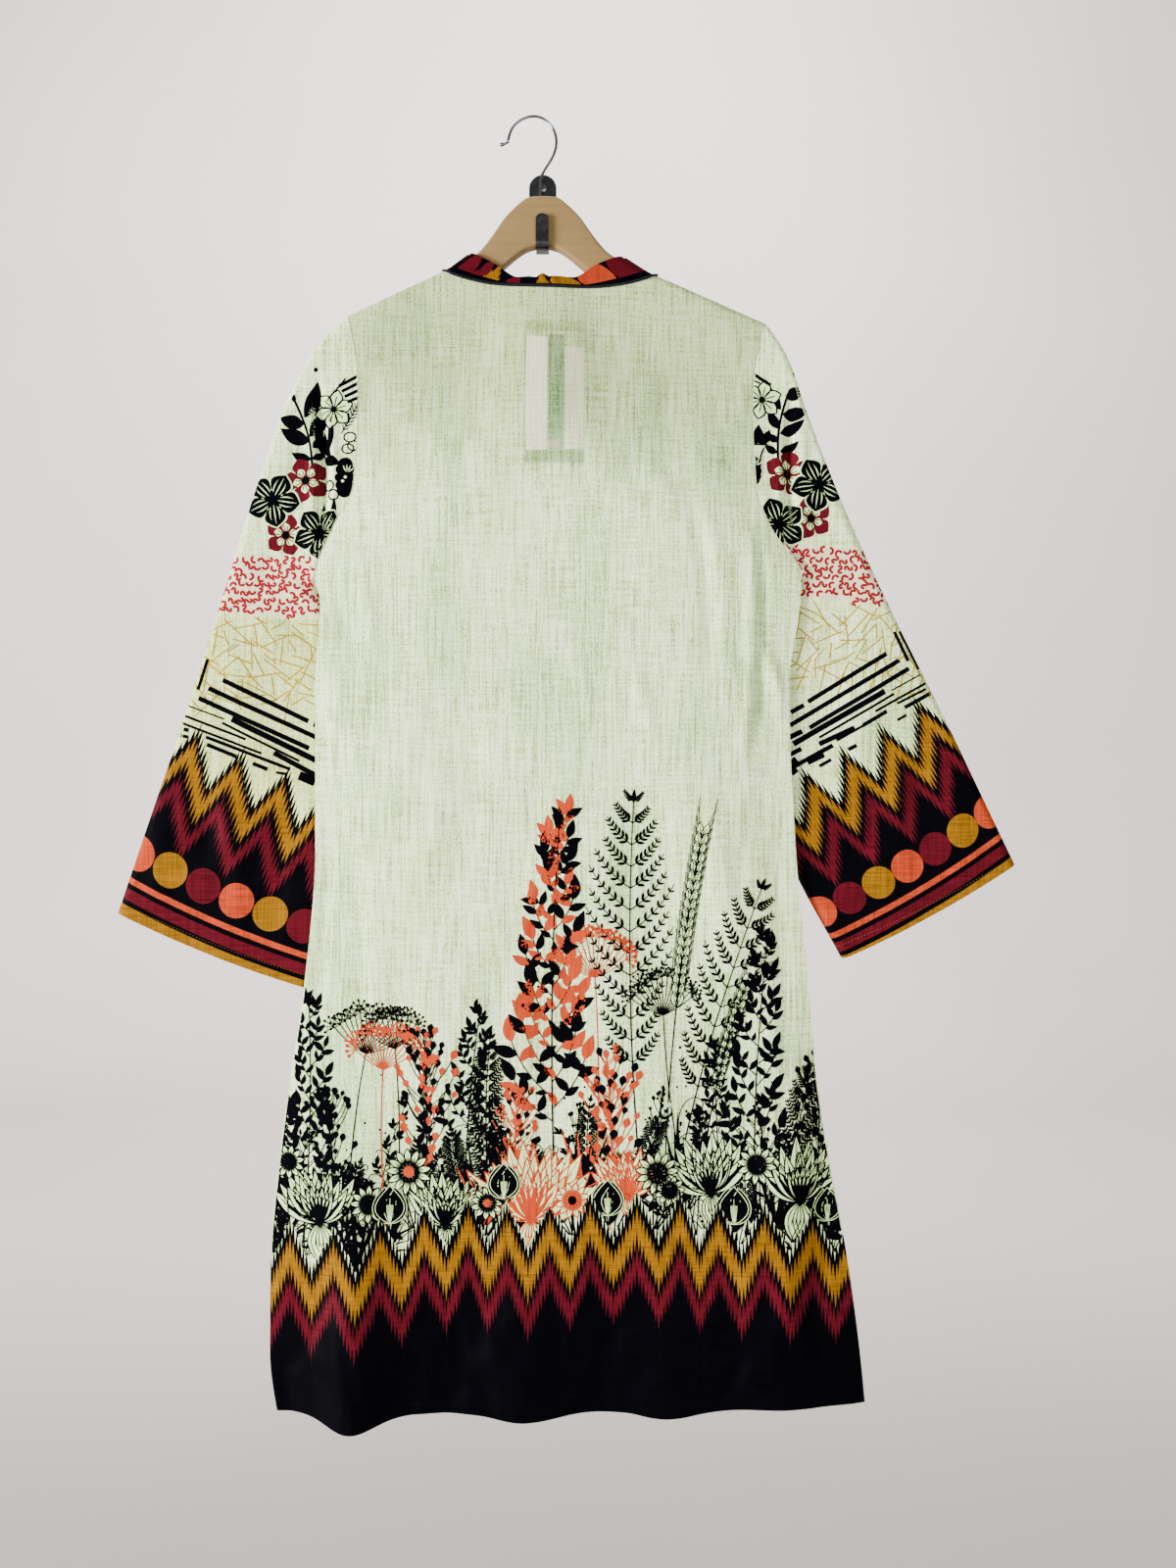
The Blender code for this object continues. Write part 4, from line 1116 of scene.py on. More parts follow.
def finish_cotton(tree, shader, base, relief):
    """Links a cloth's colour and its relief of threads and fine crumple to its shader."""
    fine = noise(tree, object_point(tree), 95.0, 3.0, 0.6)
    height = sums(tree, "MULTIPLY_ADD", fine, 1.6, relief)
    bump = add(tree, "ShaderNodeBump", {"Strength": 0.5, "Distance": 0.00016, "Height": height})
    paint(tree, shader, base)
    tree.links.new(bump.outputs["Normal"], shader.inputs["Normal"])


def painted_show_through_and_shade(tree, base, point):
    """Paints light and shade on the upper back: a broad painted shade over it, and painted shade and light
    where the placket, its facing and the slit behind show through.

    Each patch is a soft-edged box of x and z with its colour and strength.
    """
    painted_shade_boxes = (
        # x from, to, z from, to, edge softness, colour, strength
        # a broad painted shade over the whole upper back, then painted shade along the placket, its facing
        # and the slit behind
        (-0.2200, 0.2600, -0.2500, 0.0600, 0.1800, "C5C4B8", 0.85),
        (0.0055, 0.0215, -0.2537, -0.1380, 0.0030, "A9BAB6", 0.85),
        (-0.0165, 0.0420, -0.2668, -0.2537, 0.0030, "B0C2B6", 0.80),
        (-0.0170, -0.0152, -0.2550, -0.1400, 0.0008, "B4B69C", 0.60),
        (0.0215, 0.0230, -0.2550, -0.1400, 0.0008, "B4BAA4", 0.50),
        (-0.0160, 0.0400, -0.1340, -0.1235, 0.0040, "D2DCC8", 0.60),
        (0.0360, 0.0530, -0.1560, -0.1300, 0.0050, "D6DCCA", 0.50),
    )
    # painted light where the pale facing and the cloth behind show through
    lights = (
        (-0.0150, 0.0055, -0.2537, -0.1400, 0.0018, "F3EBD4", 0.50),
        (0.0225, 0.0408, -0.2537, -0.1500, 0.0020, "EBDFCA", 0.42),
        (0.0000, 0.0180, -0.2520, -0.2440, 0.0040, "E0B9A2", 0.30),
        (0.0230, 0.0330, -0.1640, -0.1560, 0.0040, "DDB2A0", 0.30),
    )
    parts = split(tree, point)
    for mixing, patches in (("MULTIPLY", painted_shade_boxes), ("MIX", lights)):
        for x0, x1, z0, z1, soft, code, strength in patches:
            cover = strength
            for axis, low, high in (("X", x0, x1), ("Z", z0, z1)):
                off = away_from(tree, parts[axis], (low + high) / 2)
                half = (high - low) / 2
                inside = ranged(tree, off, half + soft / 2, half - soft / 2, kind="SMOOTHSTEP")
                cover = sums(tree, "MULTIPLY", inside, cover)
            base = blend_colours(tree, cover, base, linear(code), mixing)
    return base


def body_cotton(name, back):
    """Slub cotton with the flame border round its hem: the panels' printed cloth."""
    made, tree, shader = material(name, COTTON)
    ground, relief, point = slub_ground(tree)
    # painted shade and show-through light on the upper back
    if back:
        ground = painted_show_through_and_shade(tree, ground, point)
    flames, cover = flame_layers(tree, *cloth_place(tree), HEM_LAYERS, HEM_VALLEY)
    finish_print(tree, shader, ground, relief, flames, cover)
    return made


def finish_print(tree, shader, ground, relief, flames, cover):
    """Lays the flames over the ground, a little darker between threads and shinier than they are."""
    worn = ranged(tree, relief, 0.50, 0.74, 0.0, 0.8)
    flames = blend_colours(tree, worn, flames, linear("A19D96"), "MULTIPLY")
    finish_cotton(tree, shader, blend_colours(tree, cover, ground, flames), relief)
    gloss = ranged(tree, cover, 0.0, 1.0, COTTON["Roughness"], 0.55)
    tree.links.new(gloss.outputs[0], shader.inputs["Roughness"])


def sleeve_cotton(column):
    """Slub cotton with the sleeve's print: flames, a row of dots, stripes and a blush band.

    The cloth coordinates count periods along the rows and metres across them. A dot is where the
    distance to the nearest of the row's even places is under its radius.
    """
    rows, band = ROWS[column], SQUIGGLE_BAND[column]
    made, tree, shader = material(f"printed_slub_cotton_{column}", COTTON)
    ground, relief, point = slub_ground(tree)
    along, down = cloth_place(tree)

    parts = split(tree, point)
    level = sums(tree, "SUBTRACT", parts["Z"], offset(tree, parts["X"], band["at"], band["slope"]))
    off = away_from(tree, level, (band["top"] + band["low"]) / 2)
    half = (band["top"] - band["low"]) / 2
    blush = ranged(tree, off, half + 0.002, half - 0.002)
    ground = blend_colours(tree, sums(tree, "MULTIPLY", blush, 0.75), ground, tone("blush"))
    below = ranged(tree, level, band["low"] + 0.002, band["low"] - 0.004, 0.0, band["yellow"])
    ground = blend_colours(tree, below, ground, linear(band["cloth"]), "MULTIPLY")

    flames, cover = flame_layers(tree, along, down, CUFF_LAYERS, CUFF_VALLEY)
    place_on = sums(tree, "DIVIDE", sums(tree, "SUBTRACT", along, DOT_FIRST), DOT_STEP)
    dot = sums(tree, "ROUND", place_on)
    side = offset(tree, place_on, dot, DOT_STEP * rows["period"])
    rise = offset(tree, down, DOT_LINE, rows["scale"])
    in_dot = sums(tree, "LESS_THAN", distance(tree, side, rise), DOT_RADIUS * rows["dot"])
    turn = sums(tree, "DIVIDE", sums(tree, "FLOORED_MODULO", sums(tree, "ADD", dot, 0.5), 3.0), 3.0)
    order = ("coral", "mustard", "maroon")
    dot_colour, _ = stepped(tree, turn, [(k / 3, tone(name)) for k, name in enumerate(order)])
    flames = blend_colours(tree, in_dot, flames, dot_colour)
    stops = [(at * BAND_RAMP, tone(name)) for at, name in CUFF_BANDS]
    bands, in_band = stepped(tree, sums(tree, "MULTIPLY", down, BAND_RAMP), [(0.0, CLEAR)] + stops)
    flames = blend_colours(tree, in_band, flames, bands)
    finish_print(tree, shader, ground, relief, flames, cover)
    return made


def ink_cotton(ink):
    """Print ink on cotton: the pigment fills the weave, so it is matte with a trace of thread."""
    made, tree, shader = material(f"{ink}_pigment_print", {**COTTON, "Roughness": 0.8})
    warp = noise(tree, object_point(tree), (1 / sizes().thread, 3, 40))
    worn = ranged(tree, warp, 0.40, 0.70, 0.0, 0.6)
    paint(tree, shader, blend_colours(tree, worn, tone(ink), linear("B4AFA4"), "MULTIPLY"))
    return made


def collar_cotton():
    """The collar's cloth: a cut of the same border, with flames and dots on blue-black.

    A dot is where the distance to its centre is under its radius, and a flame where the distance
    to its middle is under a half width that shrinks towards its toothed tip.
    """
    made, tree, shader = material("printed_collar_cotton", COTTON)
    _, relief, _ = slub_ground(tree)
    along, up = cloth_place(tree)
    saw = sums(tree, "PINGPONG", sums(tree, "MULTIPLY", along, 330.0), 0.5)
    base = tone("ink")
    for middle, half, low, high, code in COLLAR_MOTIFS:
        off = away_from(tree, along, middle)
        if low is None:
            cover = sums(tree, "LESS_THAN", distance(tree, off, offset(tree, up, high, COLLAR_HEIGHT)), half)
        else:
            lean = sums(tree, "SUBTRACT", up, sums(tree, "MULTIPLY", saw, 0.55 if high > low else -0.55))
            cover = sums(tree, "LESS_THAN", off, ranged(tree, lean, low, high, half, 0.0))
        base = blend_colours(tree, cover, base, tone(code))
    base = blend_colours(tree, sums(tree, "LESS_THAN", up, 0.25), base, tone("ink"))
    worn = ranged(tree, relief, 0.40, 0.80, 0.35, 1.0)
    base = blend_colours(tree, worn, base, linear("B4ACA8"), "MULTIPLY")
    finish_cotton(tree, shader, base, relief)
    return made


COLLAR_MOTIFS = (
    # middle and half width along the band, foot and tip of a flame (or no foot and a dot's
    # height), colour
    (-0.0745, 0.0300, -2.5, 3.5, "maroon"),
    (-0.0730, 0.0080, 1.6, 0.45, "ink"),
    (-0.0540, 0.0130, -0.45, 0.98, "mustard"),
    (-0.0310, 0.0170, -1.5, 1.6, "maroon"),
    (0.0010, 0.0120, -0.45, 1.05, "mustard"),
    (0.0264, 0.0160, None, 0.45, "mustard"),
    (0.0626, 0.0178, None, 0.50, "coral"),
    (0.0980, 0.0165, None, 0.50, "maroon"),
    (0.1310, 0.0150, None, 0.50, "mustard"),
    (0.1640, 0.0140, None, 0.50, "coral"),
    (-0.1080, 0.0120, 1.5, -0.2, "mustard"),
    (-0.1340, 0.0120, -0.6, 1.1, "maroon"),
    (-0.1600, 0.0110, -0.3, 0.95, "mustard"),
    (-0.1880, 0.0120, -0.8, 1.2, "maroon"),
    (0.1990, 0.0140, None, 0.50, "maroon"),
)


# ---------------------------------------------------------------- drawing
def arc_path(start, angle, length, bend, count):
    """Points along arcs: from each start at an angle, turning evenly by bend over the length."""
    start = np.atleast_2d(np.asarray(start, float))
    values = (angle, length, bend)
    angle, length, bend = (np.broadcast_to(v, len(start)).astype(float)[:, None] for v in values)
    middle = (np.arange(count - 1) + 0.5) / (count - 1)
    heading = angle + bend * middle
    step = toward(heading) * length[..., None] / (count - 1)
    steps = np.concatenate((np.zeros((len(start), 1, 2)), np.cumsum(step, axis=1)), axis=1)
    return start[:, None] + steps


def on_path(path, shares):
    """Points and headings of one path at shares of its length."""
    index = np.asarray(shares) * (len(path) - 1)
    points = np.stack([np.interp(index, np.arange(len(path)), path[:, i]) for i in (0, 1)], axis=-1)
    ahead = np.gradient(path, axis=0)
    headings = np.unwrap(np.arctan2(ahead[:, 1], ahead[:, 0]))
    return points, np.interp(index, np.arange(len(path)), headings)


def leaf_widths(wide, count, round_end=1.0):
    """Widths of leaves: a sine hump along the length, with the fullest place moved by round_end."""
    s = np.linspace(0, 1, count)
    hump = np.sin(math.pi * s**round_end)
    return np.maximum(np.atleast_1d(wide)[:, None] * hump, 0.00012)


def disc_paths(centres, radii, count):
    """Discs as short strips whose width follows a circle."""
    centres = np.atleast_2d(centres)
    radii = np.broadcast_to(radii, len(centres))
    turn = np.linspace(0, math.pi, count)
    x = centres[:, :1] - radii[:, None] * np.cos(turn)
    z = np.repeat(centres[:, 1:], count, axis=1)
    return np.stack((x, z), axis=-1), np.maximum(2 * radii[:, None] * np.sin(turn), 0.00008)


class Drawing:
    """Strokes of a print: strips of varying width in an ink and a layer, laid on a cloth later.

    rng is where all of its random places and sizes are drawn from.
    """

    def __init__(self, seed):
        self.strokes = []
        self.rng = np.random.default_rng(seed)

    def strips(self, paths, widths, ink, layer):
        paths = np.asarray(paths, float)
        if paths.ndim == 2:
            paths = paths[None]
        widths = np.asarray(widths, float)
        if widths.ndim == 1:
            widths = widths[:, None]
        self.strokes.append((paths, np.broadcast_to(widths, paths.shape[:2]), ink, layer))

    def lines(self, paths, wide, ink, layer):
        self.strips(paths, np.full(1, wide), ink, layer)

    def discs(self, centres, radii, ink, layer, count):
        self.strips(*disc_paths(centres, radii, count), ink, layer)

    def rings(self, centres, radii, wide, ink, layer, squash, count):
        """Outlined ovals: closed loops round each centre."""
        centres = np.atleast_2d(centres)
        angle = np.linspace(0, 2 * math.pi, count)
        loop = toward(angle) * (radii, radii * squash)
        self.lines(centres[:, None] + loop, wide, ink, layer)

    def leaves(self, start, angle, length, bend, slim, ink, layer, count, round_end=1.0):
        length = np.broadcast_to(length, len(np.atleast_2d(start)))
        widths = leaf_widths(length * slim, count, round_end)
        self.strips(arc_path(start, angle, length, bend, count), widths, ink, layer)

    def outlined_leaves(self, start, angle, length, bend, slim, ink, layer, wide, fill, count, round_end=1.0):
        """Leaves drawn by their two edges and a midrib over a fill."""
        length = np.broadcast_to(length, len(np.atleast_2d(start)))
        middle = arc_path(start, angle, length, bend, count)
        half = leaf_widths(length * slim, count, round_end) / 2
        self.strips(middle, half * 2, fill, layer)
        ahead = np.gradient(middle, axis=1)
        ahead /= np.maximum(np.linalg.norm(ahead, axis=-1, keepdims=True), 1e-9)
        side = np.stack((-ahead[..., 1], ahead[..., 0]), axis=-1)
        for sign in (-1, 1):
            self.lines(middle + sign * side * half[..., None], wide, ink, layer + 1)
        self.lines(middle[:, : count * 3 // 4], wide * 0.7, ink, layer + 1)


def stem(art, base, angle, length, bend, thick, ink, layer):
    """Draws a stem, thick times as wide as a line at each of its points, and returns its path."""
    path = arc_path([base], angle, length, bend, len(thick))[0]
    art.strips(path, thick[None] * sizes().line, ink, layer)
    return path


def paired(path, low, high, pairs):
    """Shares, points, headings and sides of what grows in pairs between two shares of a path."""
    shares = np.repeat(np.linspace(low, high, pairs), 2)
    return shares, *on_path(path, shares), np.tile([1, -1], pairs)


def umbel(art, base, angle, length, bend, rays, reach, spread, ink, dot_ink, layer, dot):
    """A stem that ends in a fan of rays, each with its own small fan of dots."""
    line, dots = sizes().line, 5
    path = stem(art, base, angle, length, bend, np.linspace(1.2, 0.8, 22), ink, layer)
    heading = angle + bend + np.linspace(-spread, spread, rays)
    long = reach * art.rng.uniform(0.85, 1.1, rays)
    tips = arc_path(np.repeat(path[-1:], rays, axis=0), heading, long, -np.linspace(-0.4, 0.4, rays), 8)
    art.lines(tips, line * 0.7, ink, layer)
    start = np.repeat(tips[:, -1], dots, axis=0)
    fan = np.repeat(heading, dots) + np.tile(np.linspace(-1.1, 1.1, dots), rays)
    ends = arc_path(start, fan, reach * 0.26, 0.0, 3)
    art.lines(ends, line * 0.55, ink, layer)
    art.discs(ends[:, -1], dot, dot_ink, layer + 1, 7)


def wheat(art, base, angle, length, bend, pairs, grain, ink, layer):
    """An ear: outlined grains in pairs up the last part of a stem, each with a fine awn."""
    line = sizes().line
    path = stem(art, base, angle, length, bend, np.ones(26), ink, layer)
    _, points, headings, side = paired(path, 0.55, 0.98, pairs)
    turn = headings + side * 0.42
    art.outlined_leaves(points, turn, grain, -side * 0.3, 0.42, ink, layer, line * 0.6, "cream", 7)
    awns = arc_path(points, headings + side * 0.35, grain * 2.5, -side * 0.25, 6)
    art.lines(awns, line * 0.4, ink, layer)


def daisy(art, centre, radius, petals, turn, ink, layer, heart, wide, hatch):
    """A ring of outlined petals with short hatch lines round a heart."""
    angles = turn + np.arange(petals) * 2 * math.pi / petals
    start = np.asarray(centre) + radius * 0.18 * toward(angles)
    slim = min(0.62, 4.4 / petals)
    art.outlined_leaves(start, angles, radius * 0.84, 0.0, slim, ink, layer, wide, "cream", 9, 1.35)
    for k in range(hatch):
        swing = (k - (hatch - 1) / 2) * 0.16
        art.lines(arc_path(start, angles + swing, radius * 0.42, 0.0, 3), wide * 0.7, ink, layer + 1)
    art.discs([centre], radius * 0.24, heart, layer + 2, 13)


def tuft(art, base, blades, height, spread, ink, layer, slim, lean=0.0, second=None):
    """A fan of tapering blades from one foot, curving outwards."""
    rng = art.rng
    sway = np.linspace(-spread, spread, blades) + rng.normal(0, 0.05, blades) + lean
    high = height * rng.uniform(0.7, 1.05, blades) * (1 - 0.25 * np.abs(sway))
    start = np.asarray(base) + np.stack((sway * 0.006, np.zeros(blades)), axis=-1)
    picked = np.zeros(blades, bool) if second is None else rng.random(blades) < 0.5
    taper = (1 - np.linspace(0, 1, 13)) ** 0.7
    for chosen, name in ((~picked, ink), (picked, second)):
        if chosen.any():
            angles = math.pi / 2 - sway[chosen] * 0.7
            paths = arc_path(start[chosen], angles, high[chosen], -sway[chosen] * 0.9, len(taper))
            art.strips(paths, np.maximum(high[chosen][:, None] * slim * taper, 0.0002), name, layer)


def tulip(art, base, high, wide, ink, fill, layer, hatch):
    """A cup of three overlapping petals with hatch lines from the foot."""
    line, up = sizes().line, math.pi / 2
    base = np.asarray(base, float)
    for angle, bend, slim in ((up + 0.5, -0.75, 0.5), (up - 0.5, 0.75, 0.5), (up, 0.0, 0.62)):
        slim = slim * wide / high * 1.6
        art.outlined_leaves([base], angle, high, bend, slim, ink, layer, line * 0.8, fill, 13, 0.8)
        layer += 1
    sway = np.linspace(-0.34, 0.34, hatch)
    lines = arc_path(np.repeat([base], hatch, axis=0), up + sway, high * 0.5, -sway, 6)
    art.lines(lines, line * 0.5, ink, layer + 1)


def spray(
    art, base, angle, length, bend, twigs, reach, leaf, ink, layer, start, leaves,
    second=None, slim=0.40, thick=1.2,
):
    """A stem with side twigs, shorter towards its tip, each with a leaf at its end and pairs below."""
    rng = art.rng
    path = stem(art, base, angle, length, bend, np.linspace(1, 0.5, 30) * thick, ink, layer)
    at = np.clip(np.linspace(start, 0.97, twigs) + rng.normal(0, 0.008, twigs), 0, 0.99)
    points, headings = on_path(path, at)
    side = np.where(np.arange(twigs) % 2 == 0, 1, -1)
    fade = (at - start) / (1 - start)
    long = reach * (1.1 - 0.85 * fade) * rng.uniform(0.75, 1.15, twigs)
    turn = headings + side * rng.uniform(0.65, 1.05, twigs)
    paths = arc_path(points, turn, long, -side * 0.55, 11)
    art.lines(paths, sizes().line * 0.7, ink, layer)
    heads = turn - side * 0.55
    # point of the twig, turn and size of each leaf
    places = ((10, 0.0, 1.0), (8, 0.85, 0.9), (7, -0.85, 0.85), (4, 0.9, 0.8), (3, -0.9, 0.75), (1, 0.9, 0.6))
    for where, swing, share in places[:leaves]:
        long = leaf * share * rng.uniform(0.75, 1.2, twigs) * (1 - 0.25 * fade)
        angles = heads + swing * rng.uniform(0.7, 1.2, twigs)
        inks = np.zeros(twigs, bool) if second is None else rng.random(twigs) < 0.5
        for chosen, name in ((~inks, ink), (inks, second)):
            if chosen.any():
                bends = rng.normal(0, 0.25, chosen.sum())
                foot = paths[chosen, where]
                art.leaves(foot, angles[chosen], long[chosen], bends, slim, name, layer, 9, 0.8)
    art.leaves([path[-2]], angle + bend, leaf * 0.9, 0.1, slim * 0.9, ink, layer, 9, 0.8)


def fern(art, base, angle, length, bend, fronds, reach, ink, layer, barb=0.0065, start=0.2, lean=0.95):
    """A stem with paired fronds, each a fine rib with short barbs on both of its sides."""
    path = stem(art, base, angle, length, bend, np.linspace(1.4, 0.6, 30), ink, layer)
    at, points, headings, side = paired(path, start, 0.97, fronds)
    fade = (at - start) / (1 - start)
    long = reach * np.sin(math.pi * (0.22 + 0.74 * fade)) * art.rng.uniform(0.88, 1.08, 2 * fronds)
    ribs = arc_path(points, headings + side * lean, long, -side * 0.5, 15)
    art.strips(ribs, np.linspace(0.9, 0.5, 15)[None] * sizes().line, ink, layer)
    heads = np.arctan2(*np.moveaxis(np.gradient(ribs, axis=1), -1, 0)[::-1])
    for k in range(2, 14, 2):
        short = np.minimum(barb, long * 0.3) * (1.15 - k / 22)
        for turn in (0.85, -0.85):
            art.leaves(ribs[:, k], heads[:, k] + turn, short, -turn * 0.3, 0.34, ink, layer, 4)
    art.leaves([path[-2]], angle + bend, barb * 1.6, 0.0, 0.3, ink, layer, 7)


def drop_spire(art, base, angle, length, bend, count, wide, drop, ink, second, layer, start):
    """A stem with a spindle of drop-shaped buds, each on its own fine stalk."""
    rng = art.rng
    path = stem(art, base, angle, length, bend, np.ones(30), ink, layer)
    at = np.sort(start + (1 - start) * rng.random(count) ** 0.9)
    points, headings = on_path(path, np.clip(at - 0.05, 0, 1))
    fade = (at - start) / (1 - start)
    room = wide * np.sin(math.pi * (0.10 + 0.86 * fade)) ** 0.7
    swing = rng.uniform(0.15, 1.0, count) * np.where(np.arange(count) % 2 == 0, 1, -1)
    long = room * np.abs(swing) * 1.25 + 0.002
    turn = headings + swing * 1.05
    stalks = arc_path(points, turn, long, -swing * 0.6, 6)
    art.lines(stalks, sizes().line * 0.5, ink, layer)
    picked = rng.random(count) < (0.5 if second else -1)
    heads = turn - swing * 0.6
    for chosen, name in ((~picked, ink), (picked, second)):
        if chosen.any():
            long = drop * rng.uniform(0.8, 1.2, chosen.sum())
            art.leaves(stalks[chosen, -1], heads[chosen], long, 0.0, 0.62, name, layer + 1, 9, 1.35)
    art.leaves([path[-2]], angle + bend, drop, 0.0, 0.6, ink, layer + 1, 9, 1.2)


def rosette(art, base, radius, petals, spread, turn, ink, fill, layer):
    """A fan of long pointed petals in rows, each shaded with hatch lines that crowd at its foot."""
    line, rng = sizes().line, art.rng
    for row in range(3):
        count = petals - 2 * row
        angles = turn + np.linspace(-spread, spread, count) * (1 - 0.22 * row) + rng.normal(0, 0.04, count)
        start = np.repeat([base], count, axis=0)
        long = radius * (1.0 - 0.2 * row) * rng.uniform(0.85, 1.08, count)
        bend = (angles - turn) * -0.5
        art.outlined_leaves(start, angles, long, bend, 0.25, ink, layer, line * 0.9, fill, 12, 0.8)
        art.leaves(start, angles, long * 0.60, bend * 0.6, 0.17, ink, layer + 1, 9, 0.7)
        for swing, reach in ((-0.09, 0.62), (-0.045, 0.74), (0.0, 0.90), (0.045, 0.70), (0.09, 0.64)):
            hatch = arc_path(start, angles + swing, long * reach, bend * reach - swing, 6)
            art.strips(hatch, np.linspace(1.6, 0.25, 6)[None] * line, ink, layer + 1)
        layer += 2


def needles(art, base, angle, length, bend, pairs, needle, ink, layer, slim):
    """A stem with many fine paired needles that lean towards its tip."""
    path = stem(art, base, angle, length, bend, np.ones(26), ink, layer)
    shares, points, headings, side = paired(path, 0.12, 0.99, pairs)
    long = needle * np.sin(math.pi * (0.12 + 0.86 * shares)) ** 0.5
    art.leaves(points, headings + side * 0.8, long, -side * 0.3, slim, ink, layer, 5)


def curls(art, starts, angles, lengths, turns, ink, layer, wide):
    """Tendrils that wind up: paths whose turning quickens to their end."""
    starts = np.atleast_2d(starts)
    s = (np.arange(23) + 0.5) / 23
    heading = angles[:, None] + turns[:, None] * s**2.2
    step = lengths[:, None] * (1.15 - s) / 23 * 1.5
    steps = np.cumsum(toward(heading) * step[..., None], axis=1)
    art.lines(np.concatenate((starts[:, None], starts[:, None] + steps), axis=1), wide, ink, layer)


def border_tips(x):
    """Periods along the hem's border at a place, and the height of its tips there."""
    along = np.interp(x, HEM_PEAKS[:, 0], np.arange(len(HEM_PEAKS)))
    return along, np.interp(x, HEM_PEAKS[:, 0], HEM_PEAKS[:, 1]) + HEM_LAYERS[1]


def edge_line(x):
    """Height where the border's black edge starts above a place on the hem."""
    along, tips = border_tips(x)
    return tips - WAVE_HEIGHT * (1 - np.abs(2 * (along % 1) - 1))


def garden():
    """The hem's planted border: a made-up bed of common garden plants, drawn as strips."""
    art = Drawing(5)
    rng, line, up = art.rng, sizes().line, math.pi / 2
    left, right = -0.265, 0.318

    def foot(x, rise=0.0):
        return (x, float(edge_line(x)) + rise)

    # ground cover
    for x in np.linspace(left, right, 34) + rng.normal(0, 0.003, 34):
        tuft(art, foot(x, -0.004), 7, rng.uniform(0.030, 0.070), 0.8, "ink", 0, 0.035)
    for x in np.linspace(left, right, 16) + rng.normal(0, 0.006, 16):
        angle, high, bend = up + rng.normal(0, 0.3), rng.uniform(0.060, 0.110), rng.normal(0, 0.5)
        fern(art, foot(x, -0.002), angle, high, bend, 11, 0.018, "ink", 1, 0.0045)
    for x in np.linspace(left, right, 12) + rng.normal(0, 0.008, 12):
        angle, high, bend = up + rng.normal(0, 0.25), rng.uniform(0.060, 0.120), rng.normal(0, 0.4)
        spray(art, foot(x), angle, high, bend, 9, 0.016, 0.0095, "ink", 1, 0.15, 4, None, 0.42, 0.8)
    for x in np.linspace(left + 0.01, right - 0.01, 9) + rng.normal(0, 0.006, 9):
        angle, high, bend = up + rng.normal(0, 0.25), rng.uniform(0.080, 0.130), rng.normal(0, 0.3)
        drop_spire(art, foot(x), angle, high, bend, 24, 0.014, 0.0050, "ink", None, 1, 0.3)
    n = 30
    curls(
        art,
        [foot(x, rng.uniform(0.0, 0.06)) for x in rng.uniform(left, right, n)],
        up + rng.normal(0, 0.5, n),
        rng.uniform(0.035, 0.080, n),
        rng.choice([-1, 1], n) * rng.uniform(3, 8, n),
        "ink",
        1,
        line * 0.7,
    )

    # tall plants: kind, place, lean and what their own functions take
    for plant, x, lean, *rest in (
        (spray, -0.232, -0.10, 0.240, 0.16, 17, 0.040, 0.017, "ink", 3, 0.18, 5),
        (umbel, -0.186, 0.02, 0.190, -0.20, 15, 0.040, 1.25, "ink", "ink", 2, 0.0013),
        (umbel, -0.150, 0.10, 0.150, -0.15, 13, 0.036, 1.20, "coral", "coral", 2, 0.0016),
        (umbel, -0.142, -0.10, 0.185, 0.20, 13, 0.032, 1.15, "ink", "ink", 2, 0.0012),
        (drop_spire, -0.112, -0.04, 0.165, 0.10, 70, 0.032, 0.0095, "ink", "coral", 4, 0.22),
        (spray, -0.074, -0.02, 0.185, -0.12, 15, 0.030, 0.014, "ink", 3, 0.3, 5),
        (fern, -0.046, 0.14, 0.190, -0.25, 15, 0.030, "ink", 2),
        (spray, 0.014, 0.05, 0.380, -0.12, 24, 0.058, 0.0260, "ink", 4, 0.22, 6, "coral", 0.44, 1.5),
        (umbel, 0.052, -0.06, 0.215, 0.12, 15, 0.038, 1.3, "coral", "coral", 2, 0.0017),
        (drop_spire, 0.066, -0.06, 0.170, 0.16, 72, 0.033, 0.0098, "coral", "ink", 4, 0.22),
        (fern, 0.098, 0.10, 0.400, -0.16, 13, 0.062, "ink", 3, 0.0085, 0.34, 1.0),
        (fern, 0.126, -0.18, 0.330, -0.20, 11, 0.050, "ink", 3, 0.0080, 0.36, 1.0),
        (wheat, 0.118, -0.01, 0.385, -0.18, 19, 0.016, "ink", 3),
        (wheat, 0.150, -0.05, 0.250, -0.30, 14, 0.014, "ink", 3),
        (umbel, 0.150, 0.26, 0.215, -0.22, 15, 0.036, 1.25, "ink", "ink", 2, 0.0012),
        (spray, 0.206, 0.02, 0.275, -0.14, 19, 0.040, 0.018, "ink", 4, 0.16, 5),
        (fern, 0.232, -0.10, 0.180, -0.20, 14, 0.030, "ink", 2),
        (drop_spire, 0.270, 0.02, 0.155, -0.08, 64, 0.031, 0.0090, "ink", None, 4, 0.22),
        (spray, 0.300, -0.02, 0.150, -0.10, 13, 0.026, 0.013, "ink", 3, 0.2, 5),
        (drop_spire, -0.200, -0.02, 0.125, 0.20, 44, 0.026, 0.0080, "ink", None, 3, 0.25),
        (spray, -0.255, 0.04, 0.135, -0.20, 12, 0.028, 0.014, "ink", 3, 0.2, 5),
        (spray, 0.176, 0.10, 0.160, -0.10, 13, 0.028, 0.013, "ink", 3, 0.2, 5),
        (drop_spire, -0.020, 0.12, 0.135, -0.2, 50, 0.026, 0.0080, "coral", "ink", 3, 0.25),
    ):
        plant(art, foot(x), up + lean, *rest)

